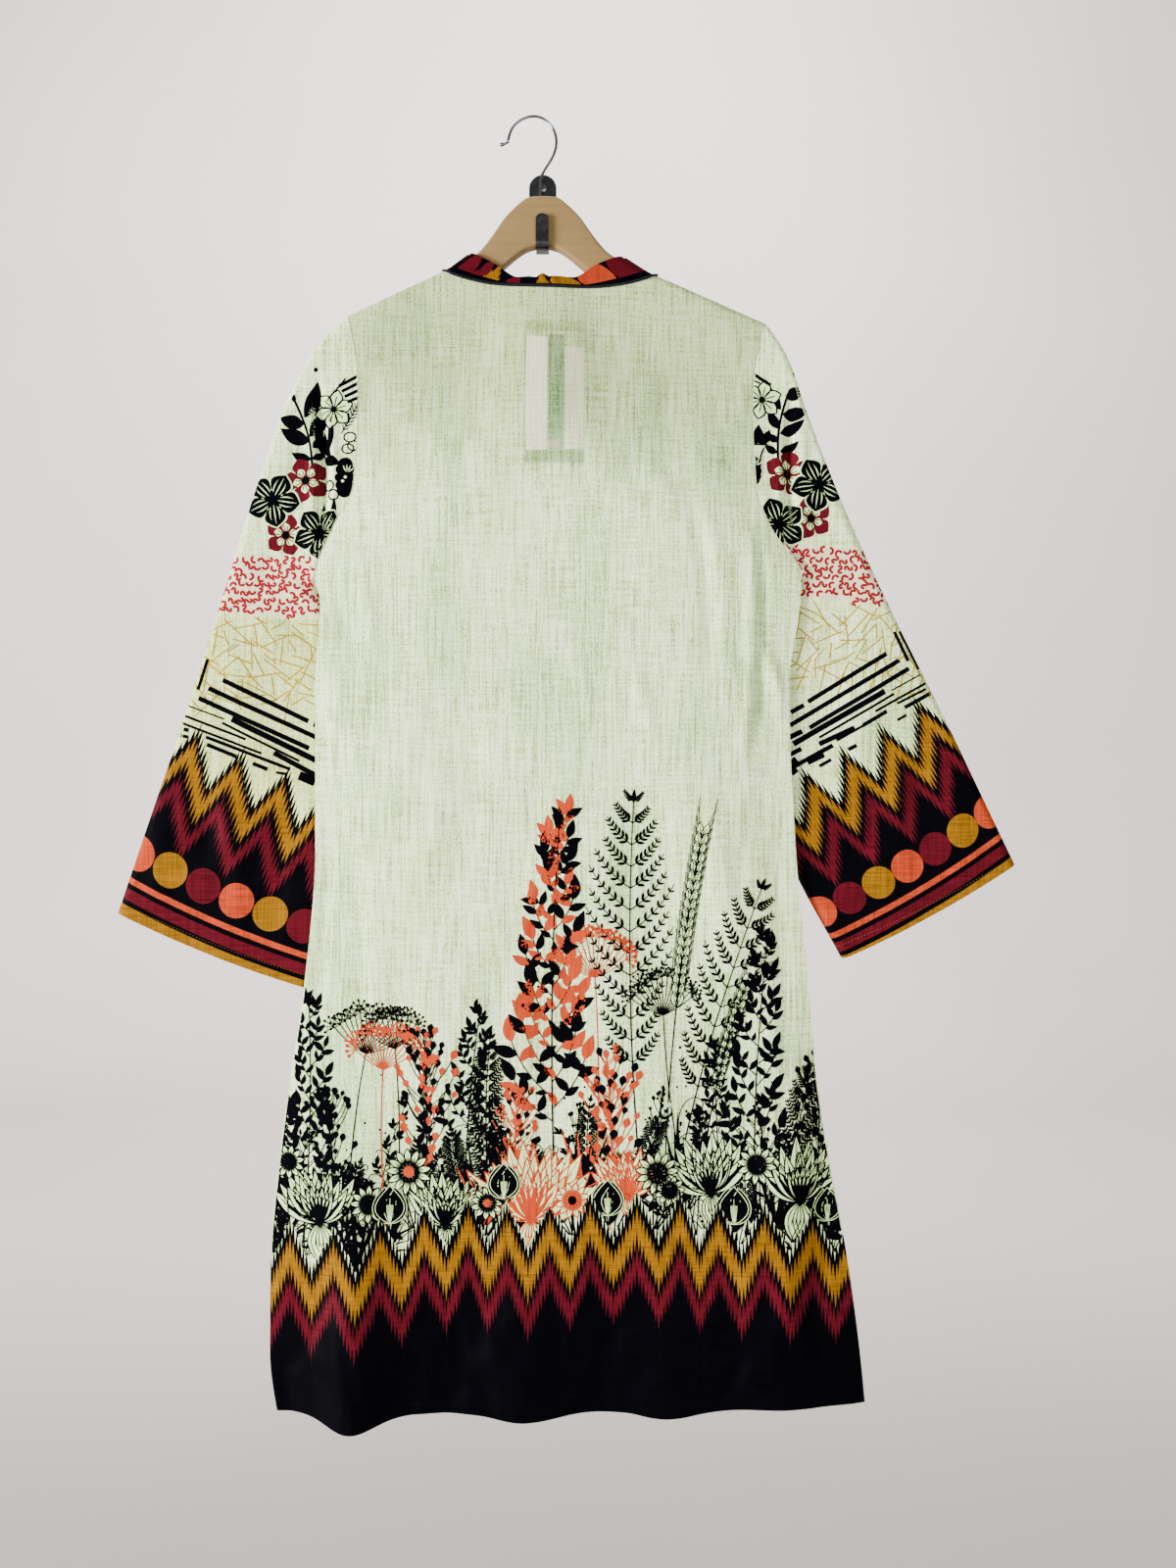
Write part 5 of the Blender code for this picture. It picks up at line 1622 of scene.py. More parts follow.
    # blades and flower heads in front
    for x, blades, high, ink, second, lean in (
        (-0.176, 15, 0.085, "ink", None, 0.1),
        (-0.060, 13, 0.090, "coral", "ink", -0.1),
        (0.040, 13, 0.085, "coral", "ink", 0.15),
        (0.132, 15, 0.090, "ink", None, -0.1),
        (0.226, 13, 0.080, "ink", None, 0.1),
        (-0.258, 9, 0.070, "ink", None, 0.2),
        (0.298, 9, 0.075, "ink", None, -0.2),
    ):
        tuft(art, foot(x, -0.004), blades, high, 1.15, ink, 5, 0.07, lean, second)
    for x, rise, radius, petals, spread, turn, ink in (
        (-0.214, 0.030, 0.058, 11, 1.25, up + 0.1, "ink"),
        (-0.092, 0.018, 0.050, 11, 1.20, up - 0.1, "ink"),
        (-0.010, 0.020, 0.076, 13, 1.30, up - 0.05, "coral"),
        (0.084, 0.012, 0.046, 11, 1.20, up + 0.1, "coral"),
        (0.164, 0.022, 0.056, 11, 1.20, up + 0.15, "ink"),
        (0.250, 0.030, 0.060, 11, 1.25, up - 0.1, "ink"),
    ):
        base = foot(x, rise)
        rosette(art, base, radius, petals, spread, turn, ink, "cream", 6)
        angles = turn + math.pi + np.array([-0.5, -0.18, 0.18, 0.5])
        bend = np.array([0.7, 0.2, -0.2, -0.7])
        art.outlined_leaves([base] * 4, angles, rise + 0.008, bend, 0.42, ink, 11, line * 0.8, "cream", 9)
    for x, rise, radius, petals, turn, ink, heart in (
        (-0.128, 0.066, 0.022, 13, 0.2, "ink", "coral"),
        (-0.166, 0.036, 0.018, 12, 0.5, "ink", "ink"),
        (0.112, 0.060, 0.021, 13, 0.1, "ink", "ink"),
        (0.208, 0.050, 0.019, 12, 0.4, "ink", "ink"),
        (0.030, 0.034, 0.017, 12, 0.3, "coral", "ink"),
        (-0.246, 0.060, 0.016, 11, 0.2, "ink", "ink"),
        (0.300, 0.052, 0.017, 11, 0.6, "ink", "ink"),
        (-0.052, 0.038, 0.016, 11, 0.6, "ink", "coral"),
        (0.124, 0.022, 0.015, 11, 0.6, "ink", "ink"),
    ):
        x0, z0 = foot(x)
        art.lines(arc_path([(x0, z0)], up, rise, 0.1, 6), line, "ink", 12)
        daisy(art, (x0, z0 + rise), radius, petals, turn, ink, 13, heart, line * 0.8, 3)
    for x, rise, high, wide, ink in (
        (-0.146, 0.010, 0.036, 0.028, "ink"),
        (-0.036, 0.006, 0.034, 0.027, "ink"),
        (0.064, 0.010, 0.034, 0.027, "ink"),
        (0.186, 0.008, 0.036, 0.028, "ink"),
        (0.278, 0.016, 0.032, 0.026, "ink"),
    ):
        x0, z0 = foot(x)
        art.lines(arc_path([(x0, z0)], up, rise, 0.1, 6), line, ink, 14)
        tulip(art, (x0, z0 + rise), high, wide, "cream", ink, 15, 11)
        leaves = arc_path([(x0, z0)] * 2, up + np.array([0.7, -0.7]), 0.030, np.array([-0.9, 0.9]), 9)
        art.strips(leaves, leaf_widths([0.008, 0.008], 9), ink, 14)
    n = 110
    x = rng.uniform(left, right, n)
    spots = np.stack((x, edge_line(x) + rng.uniform(-0.006, 0.075, n) * rng.random(n) ** 0.6), axis=-1)
    angles, long, bend = up + rng.normal(0, 0.9, n), rng.uniform(0.008, 0.018, n), rng.normal(0, 0.5, n)
    art.leaves(spots, angles, long, bend, 0.4, "ink", 6, 7)
    n = 160
    x = rng.uniform(left, right, n)
    spots = np.stack((x, edge_line(x) + rng.uniform(0.0, 0.14, n)), axis=-1)
    art.discs(spots, rng.uniform(0.0006, 0.0014, n), "ink", 1, 7)
    return art


def five_petals(art, centre, radius, turn, petal_ink, layer, stripes):
    """A broad five-petalled flower: round petals, a star or stripes of cream, and a dark heart."""
    angles = turn + np.arange(5) * 2 * math.pi / 5
    out = toward(angles)
    centre = np.asarray(centre, float)
    aside = np.stack((-out[:, 1], out[:, 0]), axis=-1)
    # a striped flower also has a cream edge below its petals
    for grow, ink, at in ((0.10, "cream", layer - 2), (0.0, petal_ink, layer))[not stripes :]:
        foot = centre + out * radius * 0.05
        art.leaves(foot, angles, radius * (1.0 + grow / 2), 0.0, 0.80 + grow, ink, at, 17, 1.45)
        art.discs(centre + out * radius * 0.62, radius * (0.36 + grow / 2), ink, at, 17)
    art.discs([centre], radius * 0.36, petal_ink, layer, 13)
    if stripes:
        widths = leaf_widths(np.full(5, radius * 0.046), 11, 0.8)
        for off in (-0.25, 0.0, 0.25):
            start = centre + out * radius * (0.20 + abs(off) * 0.3) + aside * radius * off * 0.50
            paths = arc_path(start, angles + off * 1.5, radius * (0.72 - abs(off) * 0.9), -off * 2.4, 11)
            art.strips(paths, widths, "cream", layer + 1.5)
    else:
        start = centre + out * radius * 0.10
        art.leaves(start, angles + 0.3, radius * 0.50, 0.0, 0.74, "cream", layer + 1.5, 13, 1.4)
        for swing, reach in ((0.0, 0.36), (0.6, 0.42)):
            path = arc_path(start, angles + swing, radius * reach, 0.0, 6)
            art.lines(path, radius * 0.030, "ink", layer + 3)
    art.discs([centre], radius * 0.17, "ink", layer + 3, 13)


# Sleeve prints, placed on the camera's image: dashes as x, y to x, y and width in its pixels
DASHES = {
    "left": (
        (227.8, 694, 314.8, 736.1, 3.7), (320.1, 739.2, 324.7, 740.7, 3.7), (212.9, 702.4, 324, 753, 3.7),
        (203, 712.4, 315.5, 763.7, 3.7), (191.5, 720, 229, 733.8, 1), (236.7, 733.8, 322.4, 775.9, 4.6),
        (188.4, 730.3, 251.2, 754.5, 1.8), (226.7, 737.6, 305.6, 776.7, 1.8), (185.4, 737.6, 267.3, 769, 1.8),
        (183, 743, 193, 745.3, 3), (279.5, 768.3, 322.4, 791.2, 4), (180.8, 749.9, 192.3, 752.2, 2.5),
        (210.6, 752.2, 296.4, 785.1, 2.5), (211.4, 759.8, 241.3, 772.1, 3), (258.1, 779, 273.4, 785.1, 3),
        (281.8, 788.2, 291.8, 789.7, 2), (305.6, 791.2, 321.7, 798.1, 7), (212.2, 672.6, 202.2, 704, 2.5),
    ),
    "right": (
        (903.9, 667.3, 824.3, 716.2, 3.5), (820.2, 719.5, 806.9, 727, 3.5), (917.2, 673.9, 806.1, 740.2, 3.5),
        (927.1, 682.2, 826, 742.7, 3.5), (818.5, 746, 805.3, 752.7, 4), (902.3, 705.4, 809.4, 759.3, 4.5),
        (939.6, 688, 909.7, 704.6, 1), (944.6, 697.1, 892.3, 726.1, 1.8), (912.2, 707.9, 835.9, 752.7, 1.8),
        (871.6, 742.7, 835.9, 759.3, 4), (912.2, 644.9, 926.3, 674.7, 2.5), (918, 644, 937.9, 683, 2.5),
        (944.6, 703, 915.4, 718, 1.8), (950, 707, 923, 722, 3), (904.5, 725.8, 879.7, 740.4, 3),
        (893.5, 733, 853.4, 755.8, 1.8), (873.5, 760.5, 865, 765, 3), (849.7, 760.5, 807, 784, 3.5),
        (817.6, 764, 806, 770, 3.5), (840.6, 769.6, 824, 777.7, 5), (813, 775, 806, 780.6, 6),
        (848, 775, 836, 782, 2.5), (812.5, 784, 806.7, 788.6, 6), (924.6, 729.5, 915.4, 735, 2),
    ),
}
# x, y, radius, turn and kind of each flower, in the same pixels
FLOWERS = {
    "left": (
        (291.7, 546.3, 21, 0.05, "maroon"), (312, 490.3, 23, 0.66, "maroon"),
        (326.7, 545, 26, 0.96, "ink"), (278.3, 510, 27, -0.16, "ink"),
    ),
    "right": (
        (827.5, 529, 21, 0.59, "maroon"), (803.7, 482.5, 23, 0.17, "maroon"),
        (794, 536, 27, 0.66, "ink"), (835.8, 494, 27, 0.80, "ink"),
    ),
}
# stem as x, y of its foot and tip, then foot x, y, angle in degrees, length and slimness of each leaf
SPRIGS = {
    "left": ((319, 477, 300, 408), (
        (310, 426, 71, 38, 0.34), (310, 432, 164, 25, 0.52), (316, 450, 156, 31, 0.44),
        (316, 446, 68, 28, 0.38), (318, 469, 160, 21, 0.42), (319, 457, 55, 14, 0.50),
        (319, 469, 40, 13, 0.45), (300, 410, 92, 8, 0.5), (330, 466, 96, 44, 0.16),
        (334, 462, 88, 40, 0.14), (338, 470, 104, 30, 0.20), (329, 438, 84, 30, 0.18),
        (330, 466, -22, 18, 0.55), (335, 540, 100, 26, 0.18), (338, 534, 82, 24, 0.22),
    )),
    "right": ((794, 471, 805, 400), (
        (804, 406, 45, 18, 0.66), (799, 422, 10, 25, 0.50), (796, 442, 30, 27, 0.38),
        (796, 461, 30, 21, 0.40), (797.5, 417, 116, 25, 0.38), (796, 437, 118, 22, 0.40),
        (795, 450, 145, 14, 0.50), (793, 462, 145, 14, 0.5), (778, 452, 62, 15, 0.55),
        (776, 453, 94, 19, 0.50), (774, 452, 128, 13, 0.55), (775, 452, 10, 8, 0.6),
    )),
}
SMALLEST_QUAD = 2e-9  # square metres
LAID_FROM = 0.3  # how far outside the cloth a print starts
SLEEVE_LANE = 0.0023  # widest lane of a printed strip
GARDEN_LANE = 0.0038
BODY_MARGIN = 0.0012  # cloth left bare at the body's side edges
SLEEVE_MARGIN = 0.0008
INK_SWELL = 0.0004  # how much wider a line prints than it is drawn, as the ink spreads


def pixels(*numbers):
    """Points of the sleeve's plane from pairs of image coordinates."""
    pairs = np.asarray(numbers, float).reshape(-1, 2)
    return np.stack(seen(pairs[:, 0], pairs[:, 1]), axis=-1)


def row_coordinates(column, x, z):
    """Periods along a sleeve's rows and metres across them, with the rows' sag taken out.

    The rows' own axes are those of the cloth turned by their tilt, mirrored on the right sleeve.
    """
    rows = ROWS[column]
    side = 1 if column == "left" else -1
    tilt = math.radians(rows["tilt"])
    dx, dz = x - rows["tip"][0], z - rows["tip"][1]
    u = side * dx * math.cos(tilt) - dz * math.sin(tilt)
    v = -side * dx * math.sin(tilt) - dz * math.cos(tilt)
    v = v + ROW_SAG * ((u - ROW_MIDDLE) ** 2 - ROW_MIDDLE**2)
    return np.stack((u / rows["period"], v / rows["scale"]), axis=-1)


def squiggles(art, band, x0, x1):
    """Short red curls and waves scattered evenly over the sleeve's blush band."""
    rng = art.rng
    pitch = 0.0080
    gx, gz = np.meshgrid(np.arange(x0, x1, pitch), np.arange(-0.43, -0.32, pitch))
    odd = np.arange(gx.shape[0])[:, None] % 2
    gx = (gx + odd * pitch / 2 + rng.normal(0, 0.0008, gx.shape)).ravel()
    gz = (gz + rng.normal(0, 0.0010, gz.shape)).ravel()
    level = gz - (gx - band["at"]) * band["slope"]
    keep = (level < band["top"]) & (level > band["low"])
    middle = np.stack((gx[keep], gz[keep]), axis=-1)
    turn = rng.uniform(0, 2 * math.pi, len(middle))
    double = rng.random(len(middle)) < 0.5
    s = (np.arange(10) + 0.5) / 10
    for chosen, length, swing in (
        (~double, 0.0098, 3.4 * (s - 0.5)),
        (double, 0.0150, 1.7 * np.cos(2 * math.pi * s)),
    ):
        start = middle[chosen][:, None]
        step = toward(turn[chosen][:, None] + swing) * length / 10
        path = np.concatenate((start, start + np.cumsum(step, axis=1)), axis=1)
        art.lines(path - path.mean(axis=1, keepdims=True) + start, 0.0022, "red", 0)


def straws(art, band, x0, x1, deep):
    """Thin straws crossing at all angles over the cloth for a way deep below the band.

    Each lies at the golden share of the width past the one before, so that they spread evenly.
    """
    rng = art.rng
    count = 110
    x = x0 + (np.arange(count) * 0.618034 % 1) * (x1 - x0)
    level = band["low"] - 0.004 - (np.arange(count) + rng.random(count)) / count * deep
    z = level + (x - band["at"]) * band["slope"]
    angle = rng.uniform(0, math.pi, count)
    length = rng.uniform(0.014, 0.034, count)
    half = toward(angle) * length[:, None] / 2
    path = np.stack((x, z), axis=-1)[:, None] + half[:, None] * np.linspace(-1, 1, 15)[:, None]
    level = path[..., 1] - (path[..., 0] - band["at"]) * band["slope"]
    art.lines(path[level.max(axis=1) < band["low"] - 0.001], 0.0009, "straw", 0)


def dashes(art, column):
    """The sleeve's dashes, each only where it is above the flames' edge."""
    for ax, ay, bx, by, wide in DASHES[column]:
        ends = pixels(ax, ay, bx, by)
        path = straight(ends, max(3, int(np.hypot(*(ends[1] - ends[0])) / 0.0025)))
        along, down = np.moveaxis(row_coordinates(column, path[:, 0], path[:, 1]), -1, 0)
        wave = along % 1
        wave = np.minimum(wave / CUFF_VALLEY, (1 - wave) / (1 - CUFF_VALLEY)) * WAVE_HEIGHT
        above = down - wave < 0.006
        runs = np.flatnonzero(np.diff(np.concatenate(([0], above.astype(int), [0]))))
        for first, last in zip(runs[::2], runs[1::2]):
            if last - first > 1:
                art.lines(path[first:last], wide * 1.25 * SLEEVE_PIXEL, "ink", 2)


def sprig(art, column):
    """The sleeve's sprig: a bowed stem and its leaves."""
    ends, leaves = SPRIGS[column]
    side = 1 if column == "left" else -1
    bow = np.sin(np.linspace(0, math.pi, 12))[:, None] * (0.004 * side, 0)
    art.lines(straight(pixels(*ends), 12) + bow, 0.0021, "ink", 0)
    x, y, angle, length, slim = np.array(leaves, float).T
    angle = np.radians(angle)
    bend = np.where(np.cos(angle) > 0, 0.5, -0.5)
    feet = pixels(*np.stack((x, y), axis=-1).ravel())
    long = length * SLEEVE_PIXEL * 1.08
    art.leaves(feet, angle - bend / 2, long, bend, slim * 1.05, "ink", 0, 15, 0.85)


def by_armhole(art, column):
    """Small shapes by the armhole: stripes, an outlined flower, a sprig and a dark ruffled flower."""
    if column == "left":
        bars = [(345 + 3 * k, 393 + 5.5 * k, 366, 382 + 7.5 * k) for k in range(4)] + [(333, 408, 352, 385)]
        flower, middle, reach = pixels(340, 417)[0], pixels(352.5, 488)[0], (0.0058, 0.0155)
        spot = pixels(321.5, 376.3)
        needles(art, pixels(348, 442)[0], math.radians(58), 0.033, 0.1, 8, 0.008, "ink", 1, 0.16)
        art.rings(pixels(357, 446, 355, 458, 361, 455), 0.0060, 0.0012, "ink", 1, 0.8, 15)
        art.rings(pixels(336, 496, 341, 506), 0.0050, 0.0012, "ink", 1, 1.0, 15)
    else:
        bars = [(768, 380, 787, 392), (768, 387, 776, 390)]
        flower, middle, reach = pixels(778, 407)[0], pixels(768.5, 481)[0], (0.0040, 0.0105)
        spot = pixels(812, 380)
        art.lines(pixels(768, 453.5, 783, 453.5, 779, 458, 776, 466, 775, 474), 0.0014, "ink", 1)
    for bar, wide in zip(bars, (0.0030,) * (len(bars) - 1) + (0.0013,)):
        art.lines(straight(pixels(*bar), 10), wide, "ink", 3)
    angles = np.arange(6) * math.pi / 3 + 0.3
    feet = np.repeat([flower], 6, axis=0)
    art.outlined_leaves(feet, angles, 0.0195, 0.0, 0.62, "ink", 1, 0.0011, "cream", 13, 1.3)
    art.discs([flower], 0.0022, "ink", 3, 9)
    art.discs(middle + toward(np.arange(12) * math.pi / 6) * reach, 0.0042, "ink", 2, 11)
    rise = np.linspace(-1, 1, 5)[:, None] * (0, reach[1] * 0.8)
    art.discs(middle + rise, reach[0] * 0.9 + 0.0024, "ink", 2, 13)
    rays = np.array([0.7, 1.15, 1.6, 2.05])
    art.leaves(middle + (0.002, 0.004) + toward(rays) * 0.002, rays, 0.007, 0.0, 0.16, "cream", 3, 7)
    art.discs(middle + np.array([(-0.0022, -0.0035), (0.0004, 0.0005)]), 0.0015, "cream", 3, 9)
    art.discs(spot, 0.0022, "ink", 0, 9)


def sleeve_art(column):
    """A sleeve's drawn shapes: squiggles, crossing straws, dashes, sprig and flowers."""
    left = column == "left"
    art = Drawing(31 if left else 32)
    x0, x1 = (-0.40, -0.20) if left else (0.22, 0.42)
    squiggles(art, SQUIGGLE_BAND[column], x0, x1)
    straws(art, SQUIGGLE_BAND[column], x0, x1, 0.086 if left else 0.080)
    dashes(art, column)
    sprig(art, column)
    for px, py, radius, turn, ink in FLOWERS[column]:
        dark = ink == "ink"
        five_petals(art, pixels(px, py)[0], radius * SLEEVE_PIXEL, turn, ink, 7 if dark else 1, dark)
    by_armhole(art, column)
    return art


def lay_print(name, art, target, facing, limits, mirror=None, lane=SLEEVE_LANE, above=None):
    """Lays a drawing on a cloth piece and returns it as one mesh, its inks as its materials.

    Each stroke becomes a strip whose edges stand half its width to either side of its path, with
    lanes no wider than lane so that it follows the cloth's folds. The strips are held inside the
    cloth's edges, left out where they aren't above a line, carried along Y onto the cloth's face
    by Shrinkwrap, and raised by the print's lift and their layer.
    """
    inks = sorted({stroke[2] for stroke in art.strokes})
    flats, layers, faces, numbers = [], [], [], []
    start = 0
    for paths, widths, ink, layer in art.strokes:
        count, long = paths.shape[:2]
        ahead = np.gradient(paths, axis=1)
        ahead /= np.maximum(np.linalg.norm(ahead, axis=-1, keepdims=True), 1e-9)
        widths = np.maximum(widths + (INK_SWELL if ink != "cream" else -0.4 * INK_SWELL), 0.0002)
        aside = np.stack((-ahead[..., 1], ahead[..., 0]), axis=-1) * widths[..., None]
        lanes = 2 + int(widths.max() / lane)
        across = np.linspace(0.5, -0.5, lanes)[:, None]
        flats.append((paths[:, :, None] + aside[:, :, None] * across).reshape(-1, 2))
        index = start + np.arange(count * long * lanes).reshape(count, long, lanes)
        quads = (index[:, :-1, :-1], index[:, :-1, 1:], index[:, 1:, 1:], index[:, 1:, :-1])
        faces.append(np.stack(quads, axis=-1).reshape(-1, 4))
        numbers.append(np.full(len(faces[-1]), inks.index(ink)))
        layers.append(np.full(len(flats[-1]), layer))
        start += count * long * lanes
    flat, faces, numbers, layers = (np.concatenate(part) for part in (flats, faces, numbers, layers))
    if mirror is not None:
        flat[:, 0] = mirror - flat[:, 0]
    if (facing > 0) == (mirror is None):
        faces = faces[:, ::-1]
    flat[:, 0] = limits(flat[:, 0], flat[:, 1])

    # a quad's area is half the cross product of its diagonals
    first, second = flat[faces[:, 2]] - flat[faces[:, 0]], flat[faces[:, 3]] - flat[faces[:, 1]]
    keep = np.abs(first[:, 0] * second[:, 1] - first[:, 1] * second[:, 0]) / 2 > SMALLEST_QUAD
    if above is not None:
        middle = flat[faces].mean(axis=1)
        keep &= middle[:, 1] > above(middle[:, 0] if mirror is None else mirror - middle[:, 0])
    faces, numbers = faces[keep], numbers[keep]
    away = LAID_FROM * facing
    points = np.stack((flat[:, 0], np.full(len(flat), away), flat[:, 1]), axis=-1)
    points = wrapped(points, faces, target, "PROJECT", facing)
    missed = np.abs(points[:, 1] - away) < 1e-4
    keep = ~missed[faces].any(axis=1)
    faces, numbers = faces[keep], numbers[keep]
    points = wrapped(points, faces, target, "NEAREST_SURFACEPOINT", facing)
    points[:, 1] += facing * layers * sizes().layer
    used, faces = np.unique(faces, return_inverse=True)
    finishes = [bpy.data.materials.get(f"{ink}_pigment_print") or ink_cotton(ink) for ink in inks]
    return put_mesh(name, points[used], [faces.reshape(-1, 4)], finishes, 0, inks=numbers, turn=False)


def wrapped(points, faces, target, method, facing):
    """The points carried onto a target's surface by Shrinkwrap."""
    mesh = bpy.data.meshes.new("laying")
    mesh.from_pydata(points, [], faces)
    piece = bpy.data.objects.new("laying", mesh)
    bpy.context.scene.collection.objects.link(piece)
    wrap = piece.modifiers.new("lay", "SHRINKWRAP")
    wrap.target = target
    wrap.wrap_method = method
    if method == "PROJECT":
        wrap.use_project_y = True
        wrap.use_positive_direction = facing < 0
        wrap.use_negative_direction = facing > 0
    else:
        wrap.wrap_mode = "ABOVE_SURFACE"
        wrap.offset = sizes().lift
    bpy.context.view_layer.update()
    final = piece.evaluated_get(bpy.context.evaluated_depsgraph_get())
    out = np.empty(len(points) * 3, np.float32)
    final.data.vertices.foreach_get("co", out)
    bpy.data.objects.remove(piece)
    bpy.data.meshes.remove(mesh)
    return out.reshape(-1, 3).astype(float)


# ---------------------------------------------------------------- pieces of the garment
def shell_of(name, form, coordinates, finish, folded, closed=False, left_out=None):
    """A form's cloth: its outer side where the solid's is, and the inner one a cloth's width in.

    folded is 1 at the points where the cloth is folded double, and 0 elsewhere.
    """
    grid, normals = form["grid"], form["normals"]
    thick = sizes().cloth * (1 + folded)[..., None]
    outer = grid + normals * CLOTH / 2
    return cloth_shell(name, outer, outer - normals * thick, coordinates, finish, closed, left_out)


def hem_coordinates(x, z):
    """Periods along the hem's border and depth below its tips."""
    along, tips = border_tips(x)
    return np.stack((along, tips - z), axis=-1)


MIRROR = 0.0456  # the front's print is the back's, turned about the garment's middle
FORMS = {}


def form_of(kind):
    """The worked-out form of a piece, kept for the pieces that lie on it."""
    if kind not in FORMS:
        FORMS[kind] = body_form(kind == "front") if kind in ("front", "back") else sleeve_form(kind)
    return FORMS[kind]


def panel_piece(kind):
    front = kind == "front"
    form = form_of(kind)
    grid, neck = form["grid"], form["neck"]
    x, z = grid[..., 0], grid[..., 2]
    places = hem_coordinates(MIRROR - x if front else x, z)
    from_side = np.minimum(x - x[:, :1], x[:, -1:] - x)
    folded = np.maximum(z - z[-1] < HEM_FOLD, (from_side < SIDE_FOLD) & (z < SLIT_TOP)).astype(float)
    left_out = None
    if front:
        columns = np.zeros(grid.shape[1] - 1, bool)
        columns[neck.start : neck.stop - 1] = cells(form["neck_share"], *SLIT_SHARES)
        left_out = cells(form["rows"], 0, SLIT_BOTTOM)[:, None] & columns
    finish = body_cotton(f"printed_slub_cotton_{kind}", not front)
    piece = shell_of(f"kurta_{kind}", form, places, finish, folded, left_out=left_out)
    return place(piece, f"{kind}_panel", slot="printed_cotton")


def body_limits(x, z):
    """x held just inside the body's side edges."""
    return np.clip(x, side_edge(z, "left") + BODY_MARGIN, side_edge(z, "right") - BODY_MARGIN)


def sleeve_piece(column):
    form = form_of(column)
    grid = form["grid"]
    places = row_coordinates(column, grid[..., 0], grid[..., 2])
    folded = (form["rings"][:, None] > form["rings"][-1] - CUFF_FOLD) * np.ones(grid.shape[1])
    piece = shell_of(f"sleeve_{column}_cloth", form, places, sleeve_cotton(column), folded, closed=True)
    return place(piece, f"sleeve_{column}", slot="sleeve_cotton")


def sleeve_limits(column):
    """A function that holds x inside the sleeve's outline at each height."""
    form = form_of(column)
    grid, last = form["grid"], form["half"] - 1
    outer = grid[:, 0][:, [0, 2]]
    inner = np.concatenate((grid[0, : last + 1], grid[1:, last]))[:, [0, 2]]
    outer, inner = (line[np.argsort(line[:, 1])] for line in (outer, inner))

    def hold(x, z):
        ends = [np.interp(z, line[:, 1], line[:, 0]) for line in (outer, inner)]
        low, high = np.minimum(*ends), np.maximum(*ends)
        return np.clip(x, low + SLEEVE_MARGIN, high - SLEEVE_MARGIN)

    return hold


def collar_pieces():
    """Makes the band and its piping, and returns the seam between them with its normals.

    The loop runs from the front slit's right edge over the right shoulder, round the back and
    over the left shoulder to the slit's left edge. The band's print starts at the back's middle.
    """
    _, behind = band_side(form_of("back"), False)
    share, before = band_side(form_of("front"), True)
    right, left = share > SLIT_SHARES[1] - TINY, share < SLIT_SHARES[0] + TINY
    loop = {}
    for key, side in before.items():
        legs = (side[..., right, :][..., :-1, :], behind[key][..., ::-1, :], side[..., left, :][..., 1:, :])
        loop[key] = np.concatenate(legs, axis=-2)
    base, turned, band, down = loop["base"], loop["turned"], loop["band"], loop["down"]
    normals = grid_normals(band)
    normals *= np.sign((normals * turned).sum(axis=-1).mean())
    normals[-1] = turned
    travel = travelled(base)
    first = int(right.sum()) - 1
    back = slice(first, first + len(share))
    zero = np.interp(0, base[back, 0][::-1], travel[back][::-1])
    up = np.linspace(1, 0, len(band))
    places = np.stack(np.broadcast_arrays((zero - travel)[None, :], up[:, None]), axis=-1)
    outer = band + normals * CLOTH / 2
    inner = outer - normals * BAND_THICK
    piece = cloth_shell("collar_band_cloth", outer, inner, places, collar_cotton())
    place(piece, "collar_band", slot="collar_cotton")

    # the piping's section: an arch over a flat foot
    rise = unit(band[-2] - band[-1])
    seam = base + turned * (PIPING_LIFT - TRIM / 2)
    turn = np.linspace(0, math.pi, 9)[None, :, None]
    side = np.where(np.cos(turn) >= 0, rise[:, None], down[:, None])
    arch = seam[:, None] + side * np.abs(np.cos(turn)) * PIPING_HALF
    arch = arch + turned[:, None] * (0.0002 + 0.0010 * np.sin(turn))
    foot = PIPING_HALF * 0.9
    flat = np.stack((seam + down * foot, seam, seam + rise * foot), axis=1)
    made, tree, shader = material("black_cotton_piping", {**COTTON, "Roughness": 0.7})
    twill = noise(tree, object_point(tree), 900.0)
    paint(tree, shader, blend_colours(tree, twill, tone("ink"), linear("24252B")))
    piping = swept("collar_piping_cord", np.concatenate((arch, flat), axis=1), made, 60)
    place(piping, "collar_piping", slot="black_cotton")
    return seam + turned * 0.0010 + down * 0.0007, turned


def placket_piece():
    """Makes the slit's facing, and returns the line of its topstitches with its normals."""
    form = form_of("front")
    rows = np.flatnonzero(between(form["rows"], PLACKET_TOP, PLACKET_BOTTOM))
    columns = np.flatnonzero(between(form["neck_share"], *PLACKET_SHARES))
    pick = np.ix_(rows, columns + form["neck"].start)
    normals = form["normals"][pick]
    middle = form["grid"][pick] + normals * TRIM_LIFT
    in_slit = cells(form["neck_share"][columns], *SLIT_SHARES)
    left_out = cells(form["rows"][rows], 0, SLIT_BOTTOM)[:, None] & in_slit
    made, tree, shader = material("plain_cotton_facing", COTTON)
    ground, relief, _ = slub_ground(tree)
    finish_cotton(tree, shader, blend_colours(tree, 0.72, ground, tone("facing")), relief)
    outer = middle + normals * TRIM / 2
    inner = outer - normals * FACING_THICK
    piece = cloth_shell("placket_facing", outer, inner, middle[..., [0, 2]], made, left_out=left_out)
    place(piece, "placket", slot="pale_cotton")

    inset = 2  # columns and rows between the stitches and the facing's edge
    last = -inset - 1

    def rim(grid):
        return np.concatenate((grid[:, inset], grid[last, inset:-inset], grid[::-1, last]))

    return rim(outer), rim(normals)


